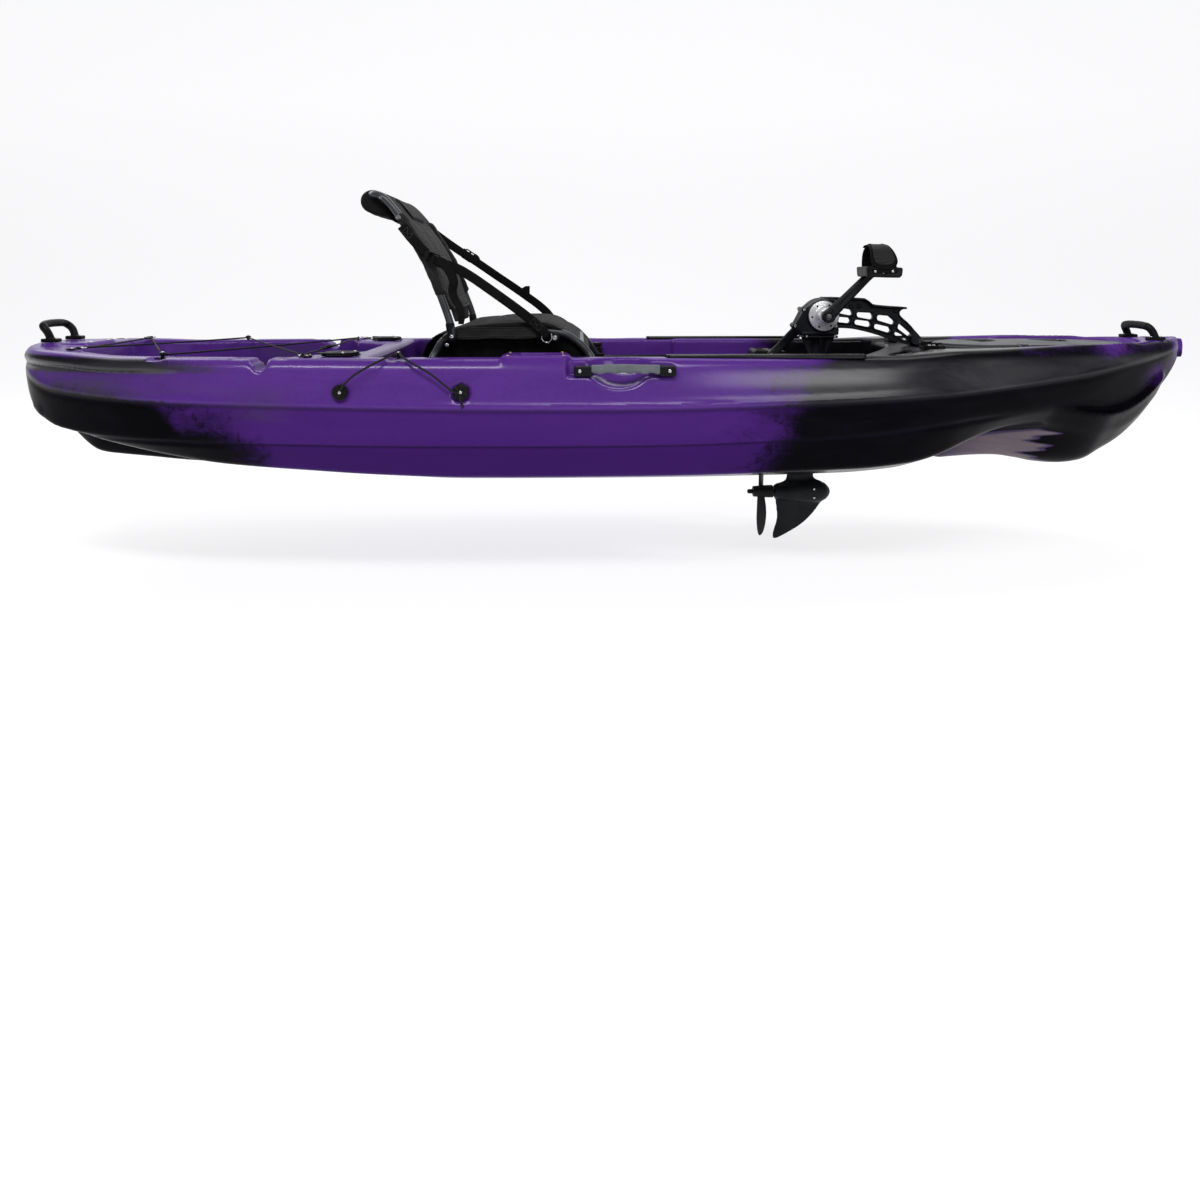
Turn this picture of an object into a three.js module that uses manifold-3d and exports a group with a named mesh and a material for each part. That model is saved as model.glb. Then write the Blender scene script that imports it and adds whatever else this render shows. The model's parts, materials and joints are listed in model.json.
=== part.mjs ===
// Sit-on-top fishing kayak with a framed seat and a pedal drive.
// Millimetres. +X is the bow, +Y is port, +Z is up. The origin is on the flat of the hull bottom at mid-length.
import * as THREE from 'three';
import { mergeVertices } from 'three/addons/utils/BufferGeometryUtils.js';
import Module from 'manifold-3d';

const wasm = await Module();
wasm.setup();

// ---------------------------------------------------------------- driving dimensions
const WALL = 4.5;              // moulded wall of the hull
const GAP = 0.4;              // clearance between pieces that touch
const DECK_Z = 344;           // deck height over the middle of the hull
const FLOOR_Z = 95;           // cockpit floor
const LEDGE_Z = 285;          // ledge that carries the seat
const WELL_Z = 200;           // tank well floor
const PLATEAU_Z = 125;        // raised rim of the drive slot
const CONSOLE_Z = 300;        // console ahead of the drive slot
const PAD_T = 5;              // foam deck pad
const SLOT = { x0: 85, x1: 590, h: 56 };          // drive slot through the hull
const ROD = { x: 838, z: 350.5, r: 6.5, half: 172 };   // rod that the drive hangs on
const CRANK = { x: 560, z: 430, arm: 170, angle: 45, y: 75, pedal: 143 }; // pedal crank axle, inner face of the arms, middle of the pedals
const PROP = { x: 394, z: -62, r: 123 };          // propeller hub
const SEAT = { y: 222, tube: 9.5 };               // seat tubes, half spacing and radius
const BACK = { x: -433, z: 384 };                 // seat back pivot
const HATCH = { x: 1147, rx: 260, ry: 145, z: 340.5 }; // bow hatch lid
const HINGE_Y = -121;         // bow hatch hinge line
const ROUND = { x: -341, r: 118 };                // hatch in the cockpit floor
const ROUND_HINGE_X = -437;

// x, half beam at the widest line
const BEAM = [[-1575, 22], [-1566, 100], [-1534, 167], [-1480, 229], [-1410, 277], [-1321, 316], [-1233, 343], [-1115, 367], [-938, 388], [-748, 398], [-653, 405], [-417, 410], [-181, 408], [-68, 405], [109, 398], [286, 387], [462, 375], [639, 360], [802, 335], [870, 317], [1047, 271], [1224, 220], [1342, 174], [1431, 129], [1507, 80], [1556, 35], [1575, 9]];
// x, height of the keel line
const KEEL = [[-1575, 300], [-1545, 236], [-1475, 147], [-1448, 108], [-1388, 62], [-1331, 53], [-1202, 38], [-941, 20], [-812, 10], [-640, 0], [110, 0], [565, 5], [734, 17], [888, 30], [1042, 41], [1095, 35], [1145, 26], [1210, 22], [1266, 28], [1324, 53], [1378, 84], [1428, 125], [1478, 185], [1532, 248], [1568, 298], [1575, 310]];
// x, height of the deck edge
const GUNWALE = [[-1575, 359], [-1400, 353], [-1230, DECK_Z], [870, DECK_Z], [1180, 353], [1430, 363], [1575, 371]];
// x, height of the upper and lower crease along the side
const UPPER = [[-1575, 338], [-1480, 285], [-1388, 262], [-941, 240], [0, 228], [462, 235], [780, 249], [1130, 279], [1320, 302], [1440, 318], [1575, 345]];
const LOWER = [[-1575, 320], [-1475, 205], [-1388, 165], [-1115, 146], [0, 135], [565, 150], [790, 172], [1000, 192], [1200, 212], [1400, 258], [1575, 330]];

// ---------------------------------------------------------------- helpers
function table(rows, x) {
  if (x <= rows[0][0]) return rows[0][1];
  for (let i = 1; i < rows.length; i++) {
    if (x <= rows[i][0]) {
      const [a, u] = rows[i - 1], [b, v] = rows[i];
      return u + (v - u) * (x - a) / (b - a);
    }
  }
  return rows[rows.length - 1][1];
}

function solid(geometry) {
  const g = geometry.index ? geometry.toNonIndexed() : geometry.clone();
  const bare = new THREE.BufferGeometry().setAttribute('position', g.getAttribute('position'));
  const merged = mergeVertices(bare, 1e-3);
  const src = merged.index.array, keep = [];
  for (let i = 0; i < src.length; i += 3) {
    const a = src[i], b = src[i + 1], c = src[i + 2];
    if (a !== b && b !== c && c !== a) keep.push(a, b, c);
  }
  const build = (tri) => new wasm.Manifold(new wasm.Mesh({
    numProp: 3, vertProperties: new Float32Array(merged.attributes.position.array), triVerts: new Uint32Array(tri),
  }));
  let s = build(keep);
  if (s.volume() < 0) {
    const flip = keep.slice();
    for (let i = 0; i < flip.length; i += 3) [flip[i + 1], flip[i + 2]] = [flip[i + 2], flip[i + 1]];
    s = build(flip);
  }
  return s;
}

const join = (...list) => list.reduce((a, b) => a.add(b));

function box(x0, x1, y0, y1, z0, z1) {
  const g = new THREE.BoxGeometry(x1 - x0, y1 - y0, z1 - z0);
  g.translate((x0 + x1) / 2, (y0 + y1) / 2, (z0 + z1) / 2);
  return solid(g);
}

// upright prism over a plan outline
function prism(pts, z0, z1) {
  const g = new THREE.ExtrudeGeometry(new THREE.Shape(pts.map(([x, y]) => new THREE.Vector2(x, y))), { depth: z1 - z0, bevelEnabled: false, curveSegments: 4 });
  g.translate(0, 0, z0);
  return solid(g);
}

// prism along Y over an outline in X and Z
function sidePrism(pts, y0, y1) {
  const g = new THREE.ExtrudeGeometry(new THREE.Shape(pts.map(([x, z]) => new THREE.Vector2(x, z))), { depth: y1 - y0, bevelEnabled: false });
  g.rotateX(Math.PI / 2);
  g.translate(0, y1, 0);
  return solid(g);
}

function rod(p, q, r, n = 12, r2 = r) {
  const a = new THREE.Vector3(...p), b = new THREE.Vector3(...q), d = b.clone().sub(a);
  const g = new THREE.CylinderGeometry(r2, r, d.length(), n, 1);
  g.applyQuaternion(new THREE.Quaternion().setFromUnitVectors(new THREE.Vector3(0, 1, 0), d.clone().normalize()));
  g.translate((a.x + b.x) / 2, (a.y + b.y) / 2, (a.z + b.z) / 2);
  return solid(g);
}

function ball(x, y, z, rx, ry = rx, rz = rx, n = 12) {
  const g = new THREE.SphereGeometry(1, n, Math.max(6, n / 2));
  g.scale(rx, ry, rz);
  g.translate(x, y, z);
  return solid(g);
}

// tube through points, bends rounded by the curve
function tube(points, r, sides = 8, steps = 24, bend = 0.25) {
  const curve = new THREE.CatmullRomCurve3(points.map((p) => new THREE.Vector3(...p)), false, 'catmullrom', bend);
  const ring = [];
  for (let i = 0; i < sides; i++) ring.push(new THREE.Vector2(r * Math.cos(2 * Math.PI * i / sides), r * Math.sin(2 * Math.PI * i / sides)));
  return solid(new THREE.ExtrudeGeometry(new THREE.Shape(ring), { steps, extrudePath: curve, bevelEnabled: false }));
}

// flat strap of width w along Y and thickness t, following points in X and Z
function strap(line, y0, y1, t) {
  const up = [], down = [];
  line.forEach(([x, z], i) => {
    const a = line[Math.max(0, i - 1)], b = line[Math.min(line.length - 1, i + 1)];
    const dx = b[0] - a[0], dz = b[1] - a[1], l = Math.hypot(dx, dz);
    up.push([x - dz / l * t / 2, z + dx / l * t / 2]);
    down.push([x + dz / l * t / 2, z - dx / l * t / 2]);
  });
  return sidePrism([...up, ...down.reverse()], y0, y1);
}

// closed skin over rings of equal length; the two ends are capped
function loft(rings, flatCaps = null) {
  const n = rings[0].length, pos = [], idx = [];
  rings.forEach((r) => r.forEach((p) => pos.push(...p)));
  for (let k = 0; k < rings.length - 1; k++) {
    for (let i = 0; i < n; i++) {
      const a = k * n + i, b = k * n + (i + 1) % n, c = a + n, d = b + n;
      idx.push(a, b, d, a, d, c);
    }
  }
  const cap = (k, turn) => {
    const tris = flatCaps
      ? THREE.ShapeUtils.triangulateShape(flatCaps.map(([x, y]) => new THREE.Vector2(x, y)), [])
      : Array.from({ length: n - 2 }, (_, i) => [0, i + 1, i + 2]);
    tris.forEach(([a, b, c]) => (turn ? idx.push(k * n + a, k * n + c, k * n + b) : idx.push(k * n + a, k * n + b, k * n + c)));
  };
  cap(0, true);
  cap(rings.length - 1, false);
  const g = new THREE.BufferGeometry();
  g.setAttribute('position', new THREE.Float32BufferAttribute(pos, 3));
  g.setIndex(idx);
  return solid(g);
}

// moves each side of a plan outline out by d
function grow(pts, d) {
  const n = pts.length;
  let area = 0;
  for (let i = 0; i < n; i++) area += pts[i][0] * pts[(i + 1) % n][1] - pts[(i + 1) % n][0] * pts[i][1];
  const s = area > 0 ? 1 : -1;
  return pts.map((p, i) => {
    const a = pts[(i + n - 1) % n], b = pts[(i + 1) % n];
    let ux = p[0] - a[0], uy = p[1] - a[1], vx = b[0] - p[0], vy = b[1] - p[1];
    const lu = Math.hypot(ux, uy), lv = Math.hypot(vx, vy);
    ux /= lu; uy /= lu; vx /= lv; vy /= lv;
    const nx = s * (uy + vy), ny = -s * (ux + vx), l = Math.hypot(nx, ny), c = (nx * s * uy - ny * s * ux) / l;
    const k = d / Math.max(c, 0.5);
    return [p[0] + nx / l * k, p[1] + ny / l * k];
  });
}

const mirror = (half) => [...half, ...half.filter(([, y]) => y > 0.01).reverse().map(([x, y]) => [x, -y])];

// sloping-sided hollow between two outlines
function hollow(top, zt, bottom, zb) {
  if (THREE.ShapeUtils.area(top.map(([x, y]) => new THREE.Vector2(x, y))) < 0) {
    top = top.slice().reverse();
    bottom = bottom.slice().reverse();
  }
  return loft([bottom.map(([x, y]) => [x, y, zb]), top.map(([x, y]) => [x, y, zt])], top);
}

function circle(x, y, rx, ry = rx, n = 20) {
  return Array.from({ length: n }, (_, i) => [x + rx * Math.cos(2 * Math.PI * i / n), y + ry * Math.sin(2 * Math.PI * i / n)]);
}

// ---------------------------------------------------------------- materials and scene
const kayak = new THREE.Group();
const mat = (color, roughness, metalness = 0) => () => new THREE.MeshStandardMaterial({ color, roughness, metalness });
const polyethylene = mat(0x5a2d91, 0.32), foam = mat(0x262524, 0.9), blackPlastic = mat(0x17181a, 0.45), greyPlastic = mat(0x484a4e, 0.5);
const grip = mat(0x5d6366, 0.7), anodised = mat(0x1c1d20, 0.4, 0.6), alloy = mat(0xbfc1c4, 0.35, 0.9), fabric = mat(0x2c2c2b, 0.95), steel = mat(0xb8b8ba, 0.25, 1), shock = mat(0x141416, 0.8);
const nodes = new Map();

function add(name, body, material) {
  const m = body.getMesh(), n = m.numProp, v = new Float32Array(m.numVert * 3);
  for (let i = 0; i < m.numVert; i++) v.set(m.vertProperties.subarray(i * n, i * n + 3), i * 3);
  const g = new THREE.BufferGeometry();
  g.setAttribute('position', new THREE.BufferAttribute(v, 3));
  g.setIndex(new THREE.BufferAttribute(new Uint32Array(m.triVerts), 1));
  g.computeVertexNormals();
  const mesh = new THREE.Mesh(g, material());
  mesh.name = name;
  kayak.add(mesh);
  nodes.set(name, mesh);
  return body;
}

// ---------------------------------------------------------------- hull
const STATIONS = [-1575, -1566, -1540, -1500, -1448, -1388, -1321, -1233, -1115, -941, -640, -417, -68, 110, 286, 462, 639, 802, 920, 1042, 1095, 1145, 1210, 1266, 1324, 1378, 1428, 1478, 1520, 1556, 1575];

function section(x, t) {
  const b = table(BEAM, x) - t, zk = table(KEEL, x) + t, zg = table(GUNWALE, x) - t;
  const zu = Math.min(Math.max(table(UPPER, x), zk + 4), zg - 2);
  const zl = Math.min(Math.max(table(LOWER, x), zk + 3), zu - 1);
  const bow = THREE.MathUtils.smoothstep(x, 620, 1380), stern = THREE.MathUtils.smoothstep(-x, 1200, 1560);
  const flat = THREE.MathUtils.lerp(0.52, 0.10, Math.max(bow, stern * 0.5));
  const chine = THREE.MathUtils.lerp(0.84, 0.52, bow), fall = THREE.MathUtils.lerp(0.30, 0.42, bow);
  const low = THREE.MathUtils.lerp(0.945, 0.80, bow);
  const half = [[flat * b, zk], [chine * b, zk + fall * (zl - zk)], [low * b, zl], [b, zu], [0.975 * b, zg - 0.28 * (zg - zu)], [0.935 * b, zg]];
  return [...half.map(([y, z]) => [x, y, z]), ...half.reverse().map(([y, z]) => [x, -y, z])];
}

const outer = loft(STATIONS.map((x) => section(x, 0)));
const inner = loft([-1555, -1500, -1448, -1388, -1321, -1233, -1115, -941, -640, -417, 110, 462, 802, 1042, 1095, 1210, 1266, 1324, 1378, 1428, 1478, 1520, 1535].map((x) => section(x, WALL)));

const TANK_TOP = mirror([[-1425, 0], [-1425, 150], [-1400, 185], [-1350, 220], [-1292, 247], [-1175, 278], [-1055, 290], [-938, 299], [-815, 300], [-788, 285], [-775, 231], [-675, 147], [-675, 0]].slice(1, -1));
const TANK_LOW = mirror([[-1425, 0], [-1385, 125], [-1362, 155], [-1318, 188], [-1262, 220], [-1165, 252], [-1055, 266], [-938, 275], [-828, 276], [-810, 262], [-797, 215], [-698, 136], [-675, 0]].slice(1, -1));
const LEDGE_TOP = mirror([[-623, 300], [-612, 311], [176, 311], [186, 290], [560, 280], [700, 262], [758, 240], [782, 205], [785, 60]]);
const LEDGE_LOW = mirror([[-620, 295], [-607, 307], [170, 307], [178, 284], [555, 272], [690, 254], [746, 232], [768, 200], [772, 60]]);
const FLOOR_TOP = mirror([[-585, 240], [-560, 262], [0, 264], [150, 264], [550, 252], [672, 236], [742, 208], [756, 168], [758, 60]]);
const FLOOR_LOW = mirror([[-560, 215], [-540, 240], [0, 246], [150, 246], [540, 238], [640, 215], [668, 190], [676, 150], [678, 60]]);

// everything taken out of the deck; t grows each hollow to leave a wall behind it
function hollows(t) {
  const seg = (k) => (t ? 8 : k);
  const up = 60;
  const tank = hollow(grow(TANK_TOP, t + 3), DECK_Z + up, grow(TANK_LOW, t), WELL_Z - t);
  const ledge = hollow(grow(LEDGE_TOP, t + 2), DECK_Z + up, grow(LEDGE_LOW, t), LEDGE_Z - t);
  let floor = hollow(grow(FLOOR_TOP, t), LEDGE_Z + 0.5, grow(FLOOR_LOW, t), FLOOR_Z - t);
  // console and slot rim stand up from the floor
  const plateau = hollow(grow([[58, -86], [612, -86], [612, 86], [58, 86]], -t), PLATEAU_Z - t, grow([[40, -104], [640, -104], [640, 104], [40, 104]], -t), FLOOR_Z - 2 * t - 1);
  const consolePts = [[530 + t, FLOOR_Z - 3 * t], [556 + t, CONSOLE_Z - 14 - t], [572 + t, CONSOLE_Z - t], [650, CONSOLE_Z - t], [760, DECK_Z - 12 - t], [800, DECK_Z + 1 - t], [800, FLOOR_Z - 3 * t]];
  const spine = sidePrism(consolePts, -(72 - t), 72 - t);
  const ridge = box(-585 + t, 58 - t, -(30 - t), 30 - t, FLOOR_Z - 2 * t - 1, FLOOR_Z + 14 - t);
  floor = floor.subtract(plateau).subtract(ridge);
  const block = grow([[-300, 268], [-148, 268], [-136, 280], [-136, 384], [-300, 384]], -t);
  let all = join(tank, ledge, floor).subtract(spine).subtract(prism(block, LEDGE_Z - 60, DECK_Z + 90)).subtract(prism(block.map(([x, y]) => [x, -y]).reverse(), LEDGE_Z - 60, DECK_Z + 90));
  // notches for a paddle or pole across each gunwale
  for (const s of [-1, 1]) {
    const y0 = s > 0 ? 280 : -430, y1 = s > 0 ? 430 : -280;
    all = all.add(box(-895 - t, -846 + t, y0, y1, 312 - t, DECK_Z + up)).add(rod([-870.5, y0, 318], [-870.5, y1, 318], 20 + t, seg(12)));
    // seat of the side handles and the finger scoop behind the grip
    all = all.add(ball(-18, s * 404, 346, 86 + t, 66 + t, 72 + t, t ? 10 : 16));
    all = all.add(box(-144 - t, 110 + t, s > 0 ? 374 - t : -430, s > 0 ? 430 : -374 + t, 303 - t, 372));
    // dishes for the paddle cord fittings
    if (!t) for (const x of [-670, -390]) all = all.add(rod([x, s * 398.5, 270], [x, s * 440, 270], 19, 14));
    // rod holder bores
    all = all.add(rod([-700, s * 268, 138 - t], [-700, s * 268, 380], 26 + t, seg(16)));
  }
  // recess of the cross rod, deeper where the drive arm turns on it
  all = all.add(rod([ROD.x, -36 - t, ROD.z], [ROD.x, 36 + t, ROD.z], 18.5 + t, seg(14)));
  all = all.add(rod([ROD.x, -186 - t, ROD.z], [ROD.x, 186 + t, ROD.z], 9 + t, seg(12)));
  // pockets in the rod-mount pads, the bow hatch seat and its opening
  all = all.add(prism(circle(-229.5, 342, 37 + t, 37 + t, seg(16)), 300 - t, DECK_Z + up));
  all = all.add(prism(grow([[-257, -362], [-200, -362], [-180, -342], [-180, -310], [-200, -290], [-257, -290]], t), 320 - t, DECK_Z + up));
  all = all.add(prism(circle(HATCH.x, 0, 292 + t, 178 + t, t ? 16 : 28), HATCH.z - 0.5 - t, DECK_Z + up));
  // drive slot, propeller pocket under it
  all = all.add(box(SLOT.x0 - t, SLOT.x1 + t, -SLOT.h - t, SLOT.h + t, -40, DECK_Z - 10));
  all = all.add(rod([PROP.x - 62 - t, 0, PROP.z], [PROP.x + 62 + t, 0, PROP.z], 135 + t, t ? 16 : 20));
  // self-draining scuppers
  for (const [x, y] of [[-197, 138], [180, 134], [588, 122], [-947, 168]]) {
    for (const s of [-1, 1]) all = all.add(rod([x, s * y, -60], [x, s * y, x < -900 ? WELL_Z + 5 : FLOOR_Z + 5], 17 + t, seg(12)));
  }
  return all;
}

let hull = outer;
// raised pads that carry the rod mount and the pocket
hull = hull.add(prism([[-300, 268], [-148, 268], [-136, 280], [-136, 384], [-300, 384]], DECK_Z - 30, DECK_Z + 8));
hull = hull.add(prism([[-300, -384], [-136, -384], [-136, -280], [-148, -268], [-300, -268]], DECK_Z - 30, DECK_Z + 8));
// stern pad
hull = hull.add(prism(mirror([[-1556, 78], [-1470, 83], [-1432, 80], [-1420, 60]]), 330, 362));
let cavity = inner.subtract(hollows(WALL));
hull = hull.subtract(hollows(0));
// hatch openings into the hollow hull
const mouth = prism(circle(HATCH.x, 0, 228, 108, 24), 250, 360);
const roundMouth = rod([ROUND.x, 0, 60], [ROUND.x, 0, 130], 98, 20);
cavity = cavity.add(mouth.intersect(outer)).add(roundMouth);
// collar of the round hatch
hull = hull.add(rod([ROUND.x, 0, FLOOR_Z - 3], [ROUND.x, 0, FLOOR_Z + 17], 130, 24));
// seat of the bow handle and the stern handle, and the shallow seat of the stern cover
hull = hull.subtract(box(1448, 1500, -76, -48, 362, 420)).subtract(box(1448, 1500, 48, 76, 362, 420));
hull = hull.subtract(cavity);
hull = hull.subtract(rod([-1229, 0, WELL_Z - 1.5], [-1229, 0, WELL_Z + 20], 82, 24));
const pieces = hull.decompose();
hull = pieces.sort((a, b) => b.volume() - a.volume())[0];
add('hull', hull, polyethylene);

// ---------------------------------------------------------------- foam pads on the floor
const padZ = FLOOR_Z + GAP;
function pad(name, outline, cuts) {
  let p = prism(outline, padZ, padZ + PAD_T);
  cuts.forEach(([x, y, r]) => { p = p.subtract(rod([x, y, padZ - 5], [x, y, padZ + 20], r, 18)); });
  add(name, p, foam);
}
for (const [side, s] of [['port', 1], ['starboard', -1]]) {
  const f = (pts) => pts.map(([x, y]) => [x, s * y]);
  pad('rear_pad_' + side, f([[-511, 42], [20, 42], [26, 52], [26, 216], [16, 226], [-180, 226], [-190, 220], [-478, 218], [-484, 196], [-511, 194]]),
    [[ROUND.x, 0, 137], [-197, s * 138, 54]]);
  pad('front_pad_' + side, f([[100, 128], [106, 122], [470, 124], [540, 134], [604, 160], [604, 214], [598, 222], [106, 226], [100, 220]]),
    [[180, s * 134, 52], [588, s * 122, 52]]);
}

// ---------------------------------------------------------------- carrying handles
function endHandle(name, foot, over) {
  let h = null;
  for (const s of [-1, 1]) {
    const [x, y, z, w] = foot;
    const b = box(x - w / 2, x + w / 2, s > 0 ? y - 12 : -y - 12, s > 0 ? y + 12 : -y + 12, z, z + 12);
    h = h ? h.add(b) : b;
  }
  const [x, y, z] = foot;
  const path = [[x, -y, z + 12], ...over.map(([a, b, c]) => [a, -b, c]), ...over.slice().reverse().map(([a, b, c]) => [a, b, c]), [x, y, z + 12]];
  add(name, h.add(tube(path, 10, 8, 16, 0.5)), blackPlastic);
}
endHandle('bow_handle', [1474, 62, 362.5, 46], [[1476, 60, 388], [1480, 44, 399], [1481, 15, 401]]);
endHandle('stern_handle', [-1528, 58, 362.5, 50], [[-1556, 62, 386], [-1580, 52, 402], [-1590, 20, 404]]);

for (const [side, s] of [['port', 1], ['starboard', -1]]) {
  const y = s * 388;
  const h = join(
    box(-142, -86, y - 13, y + 13, 303.5, 329), box(68, 108, y - 13, y + 13, 303.5, 329),
    tube([[-108, y, 318], [-80, y + s * 6, 321], [-20, y + s * 11, 323], [50, y + s * 6, 321], [84, y, 318]], 11, 10, 12, 0.5));
  add('side_handle_' + side, h, grip);
}

// ---------------------------------------------------------------- gear tracks
function track(name, x0, x1, y, z) {
  const w = 13, body = box(x0, x1, y - w, y + w, z, z + 9).subtract(box(x0 + 8, x1 - 8, y - 4, y + 4, z + 2.5, z + 20)).subtract(box(x0 + 8, x1 - 8, y - 8, y + 8, z + 2.5, z + 6.5));
  add(name, body, anodised);
}
for (const [side, s] of [['port', 1], ['starboard', -1]]) {
  track('gear_track_' + side, 98, 582, s * 331, DECK_Z + GAP);
  track('seat_track_' + side, -133, 164, s * 288, LEDGE_Z + GAP);
}

// ---------------------------------------------------------------- flush rod holders and their caps
for (const [side, s] of [['port', 1], ['starboard', -1]]) {
  const y = s * 268, z = DECK_Z + GAP;
  const plate = (g) => grow([[-746, y - s * 18], [-722, y - s * 42], [-664, y - s * 30], [-654, y - s * 2], [-668, y + s * 36], [-724, y + s * 42], [-746, y + s * 26]], g);
  const tubeBody = prism(plate(0), z, z + 4).add(rod([-700, y, 152], [-700, y, z + 2], 25, 16)).subtract(rod([-700, y, 158], [-700, y, z + 30], 21.5, 16));
  add('rod_holder_' + side, tubeBody, blackPlastic);
  const capBody = prism(plate(-4), z + 4.4, z + 9).add(rod([-700, y, z - 6], [-700, y, z + 6], 19.5, 14));
  add('rod_holder_cap_' + side, capBody, blackPlastic);
}

// ---------------------------------------------------------------- rod-mount plate and its cam lever, port side
const PLATE_Z = DECK_Z + 8 + GAP;
{
  const plate = prism([[-294, 282], [-288, 276], [-171, 276], [-165, 282], [-165, 402], [-171, 408], [-288, 408], [-294, 402]], PLATE_Z, PLATE_Z + 8)
    .add(rod([-229.5, 342, 303], [-229.5, 342, PLATE_Z + 4], 35.5, 18)).subtract(rod([-229.5, 342, 310], [-229.5, 342, 400], 32, 18))
    .add(rod([-229.5, 342, 306], [-229.5, 342, 338], 12, 12));
  add('rod_mount_plate', plate, blackPlastic);
  const lever = rod([-229.5, 342, 338.5], [-229.5, 342, 371], 17, 14)
    .add(prism([[-229, 352], [-160, 349], [-136, 348], [-130, 343], [-136, 338], [-160, 336], [-229, 331]], 362, 368));
  add('mount_cam_lever', lever, blackPlastic);
}

// ---------------------------------------------------------------- stern access cover in the tank well
{
  const z = WELL_Z - 1.5 + GAP;
  let c = rod([-1229, 0, z], [-1229, 0, z + 9], 79, 24);
  for (const s of [-1, 1]) c = c.add(rod([-1190, s * 62, z + 9], [-1140, s * 62, z + 9], 7, 10));
  add('stern_cover', c, blackPlastic);
}

// ---------------------------------------------------------------- tie-downs and the tank well bungee
const TIES = [['rear_port', -1392, 206, 1, 45], ['rear_starboard', -1382, -196, -1, 45], ['front_port', -788, 316, 1, -45], ['front_starboard', -780, -308, -1, -45]];
const ringAt = {};
for (const [name, x, y, s, turn] of TIES) {
  const z = table(GUNWALE, x - 40) + 3.6;
  // a screwed tab and a D ring lying on the deck towards the well
  const dir = new THREE.Vector2(turn > 0 ? 0.62 : -0.55, -s * 0.78).normalize();
  const px = x - dir.x * 14, py = y - dir.y * 14, nx = -dir.y, ny = dir.x;
  const tab = prism([[px - dir.x * 14 + nx * 10, py - dir.y * 14 + ny * 10], [px - dir.x * 14 - nx * 10, py - dir.y * 14 - ny * 10], [px + dir.x * 16 - nx * 10, py + dir.y * 16 - ny * 10], [px + dir.x * 16 + nx * 10, py + dir.y * 16 + ny * 10]], z - 3, z + 2);
  const arc = [];
  for (let i = 0; i <= 8; i++) {
    const a = Math.PI * (i / 8 - 0.5);
    arc.push([x + dir.x * (2 + 15 * Math.cos(a)) + nx * 13 * Math.sin(a), y + dir.y * (2 + 15 * Math.cos(a)) + ny * 13 * Math.sin(a), z]);
  }
  add('tie_down_' + name, tab.add(tube([[px + nx * 8, py + ny * 8, z], ...arc.reverse(), [px - nx * 8, py - ny * 8, z]], 2, 6, 14, 0.4)), steel);
  ringAt[name] = [x + dir.x * 24, y + dir.y * 24, z + 0.6];
}
{
  const A = ringAt.rear_port, B = ringAt.rear_starboard, C = ringAt.front_port, D = ringAt.front_starboard;
  const L1 = [-1137, 304, 350], L2 = [-1123, -304, 350];
  const seg = (p, q) => rod(p, q, 2.5, 6);
  let b = join(seg(A, B), seg(A, L2), seg(B, L1), seg(L1, D), seg(L2, C), seg(C, D));
  for (const [x, y, z] of [A, B, C, D]) b = b.add(ball(x, y, z, 3.2, 3.2, 3.2, 6));
  // saddles that hold the cord at the gunwales, and the pair of hooks that close the loop
  for (const [x, y, z] of [L1, L2]) b = b.add(rod([x, y, DECK_Z + GAP], [x, y, z + 5], 9, 10));
  b = b.add(rod([(C[0] + D[0]) / 2, -98, C[2]], [(C[0] + D[0]) / 2, -10, C[2]], 7, 8));
  add('tank_well_bungee', b, shock);
}

// ---------------------------------------------------------------- paddle keepers on both sides
for (const [side, s] of [['port', 1], ['starboard', -1]]) {
  const y = (v) => s * v;
  let k = join(rod([-670, y(399), 270], [-670, y(411), 270], 13, 10), rod([-390, y(399), 270], [-390, y(414), 270], 13.5, 8));
  k = k.add(tube([[-670, y(414), 270], [-640, y(413.5), 272], [-612, y(412.5), 300], [-594, y(404), 336], [-572, y(374), 351], [-547, y(343), 350.5], [-520, y(368), 352], [-496, y(404), 340], [-470, y(414), 308], [-420, y(415.5), 262], [-390, y(417), 268]], 2.5, 6, 26, 0.5));
  k = k.add(rod([-547, y(340), DECK_Z + GAP], [-547, y(340), 355], 7, 10)).add(rod([-670, y(405), 270], [-670, y(415), 270], 5, 8)).add(rod([-390, y(405), 270], [-390, y(418), 270], 5, 8));
  add('paddle_keeper_' + side, k, shock);
}

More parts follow.
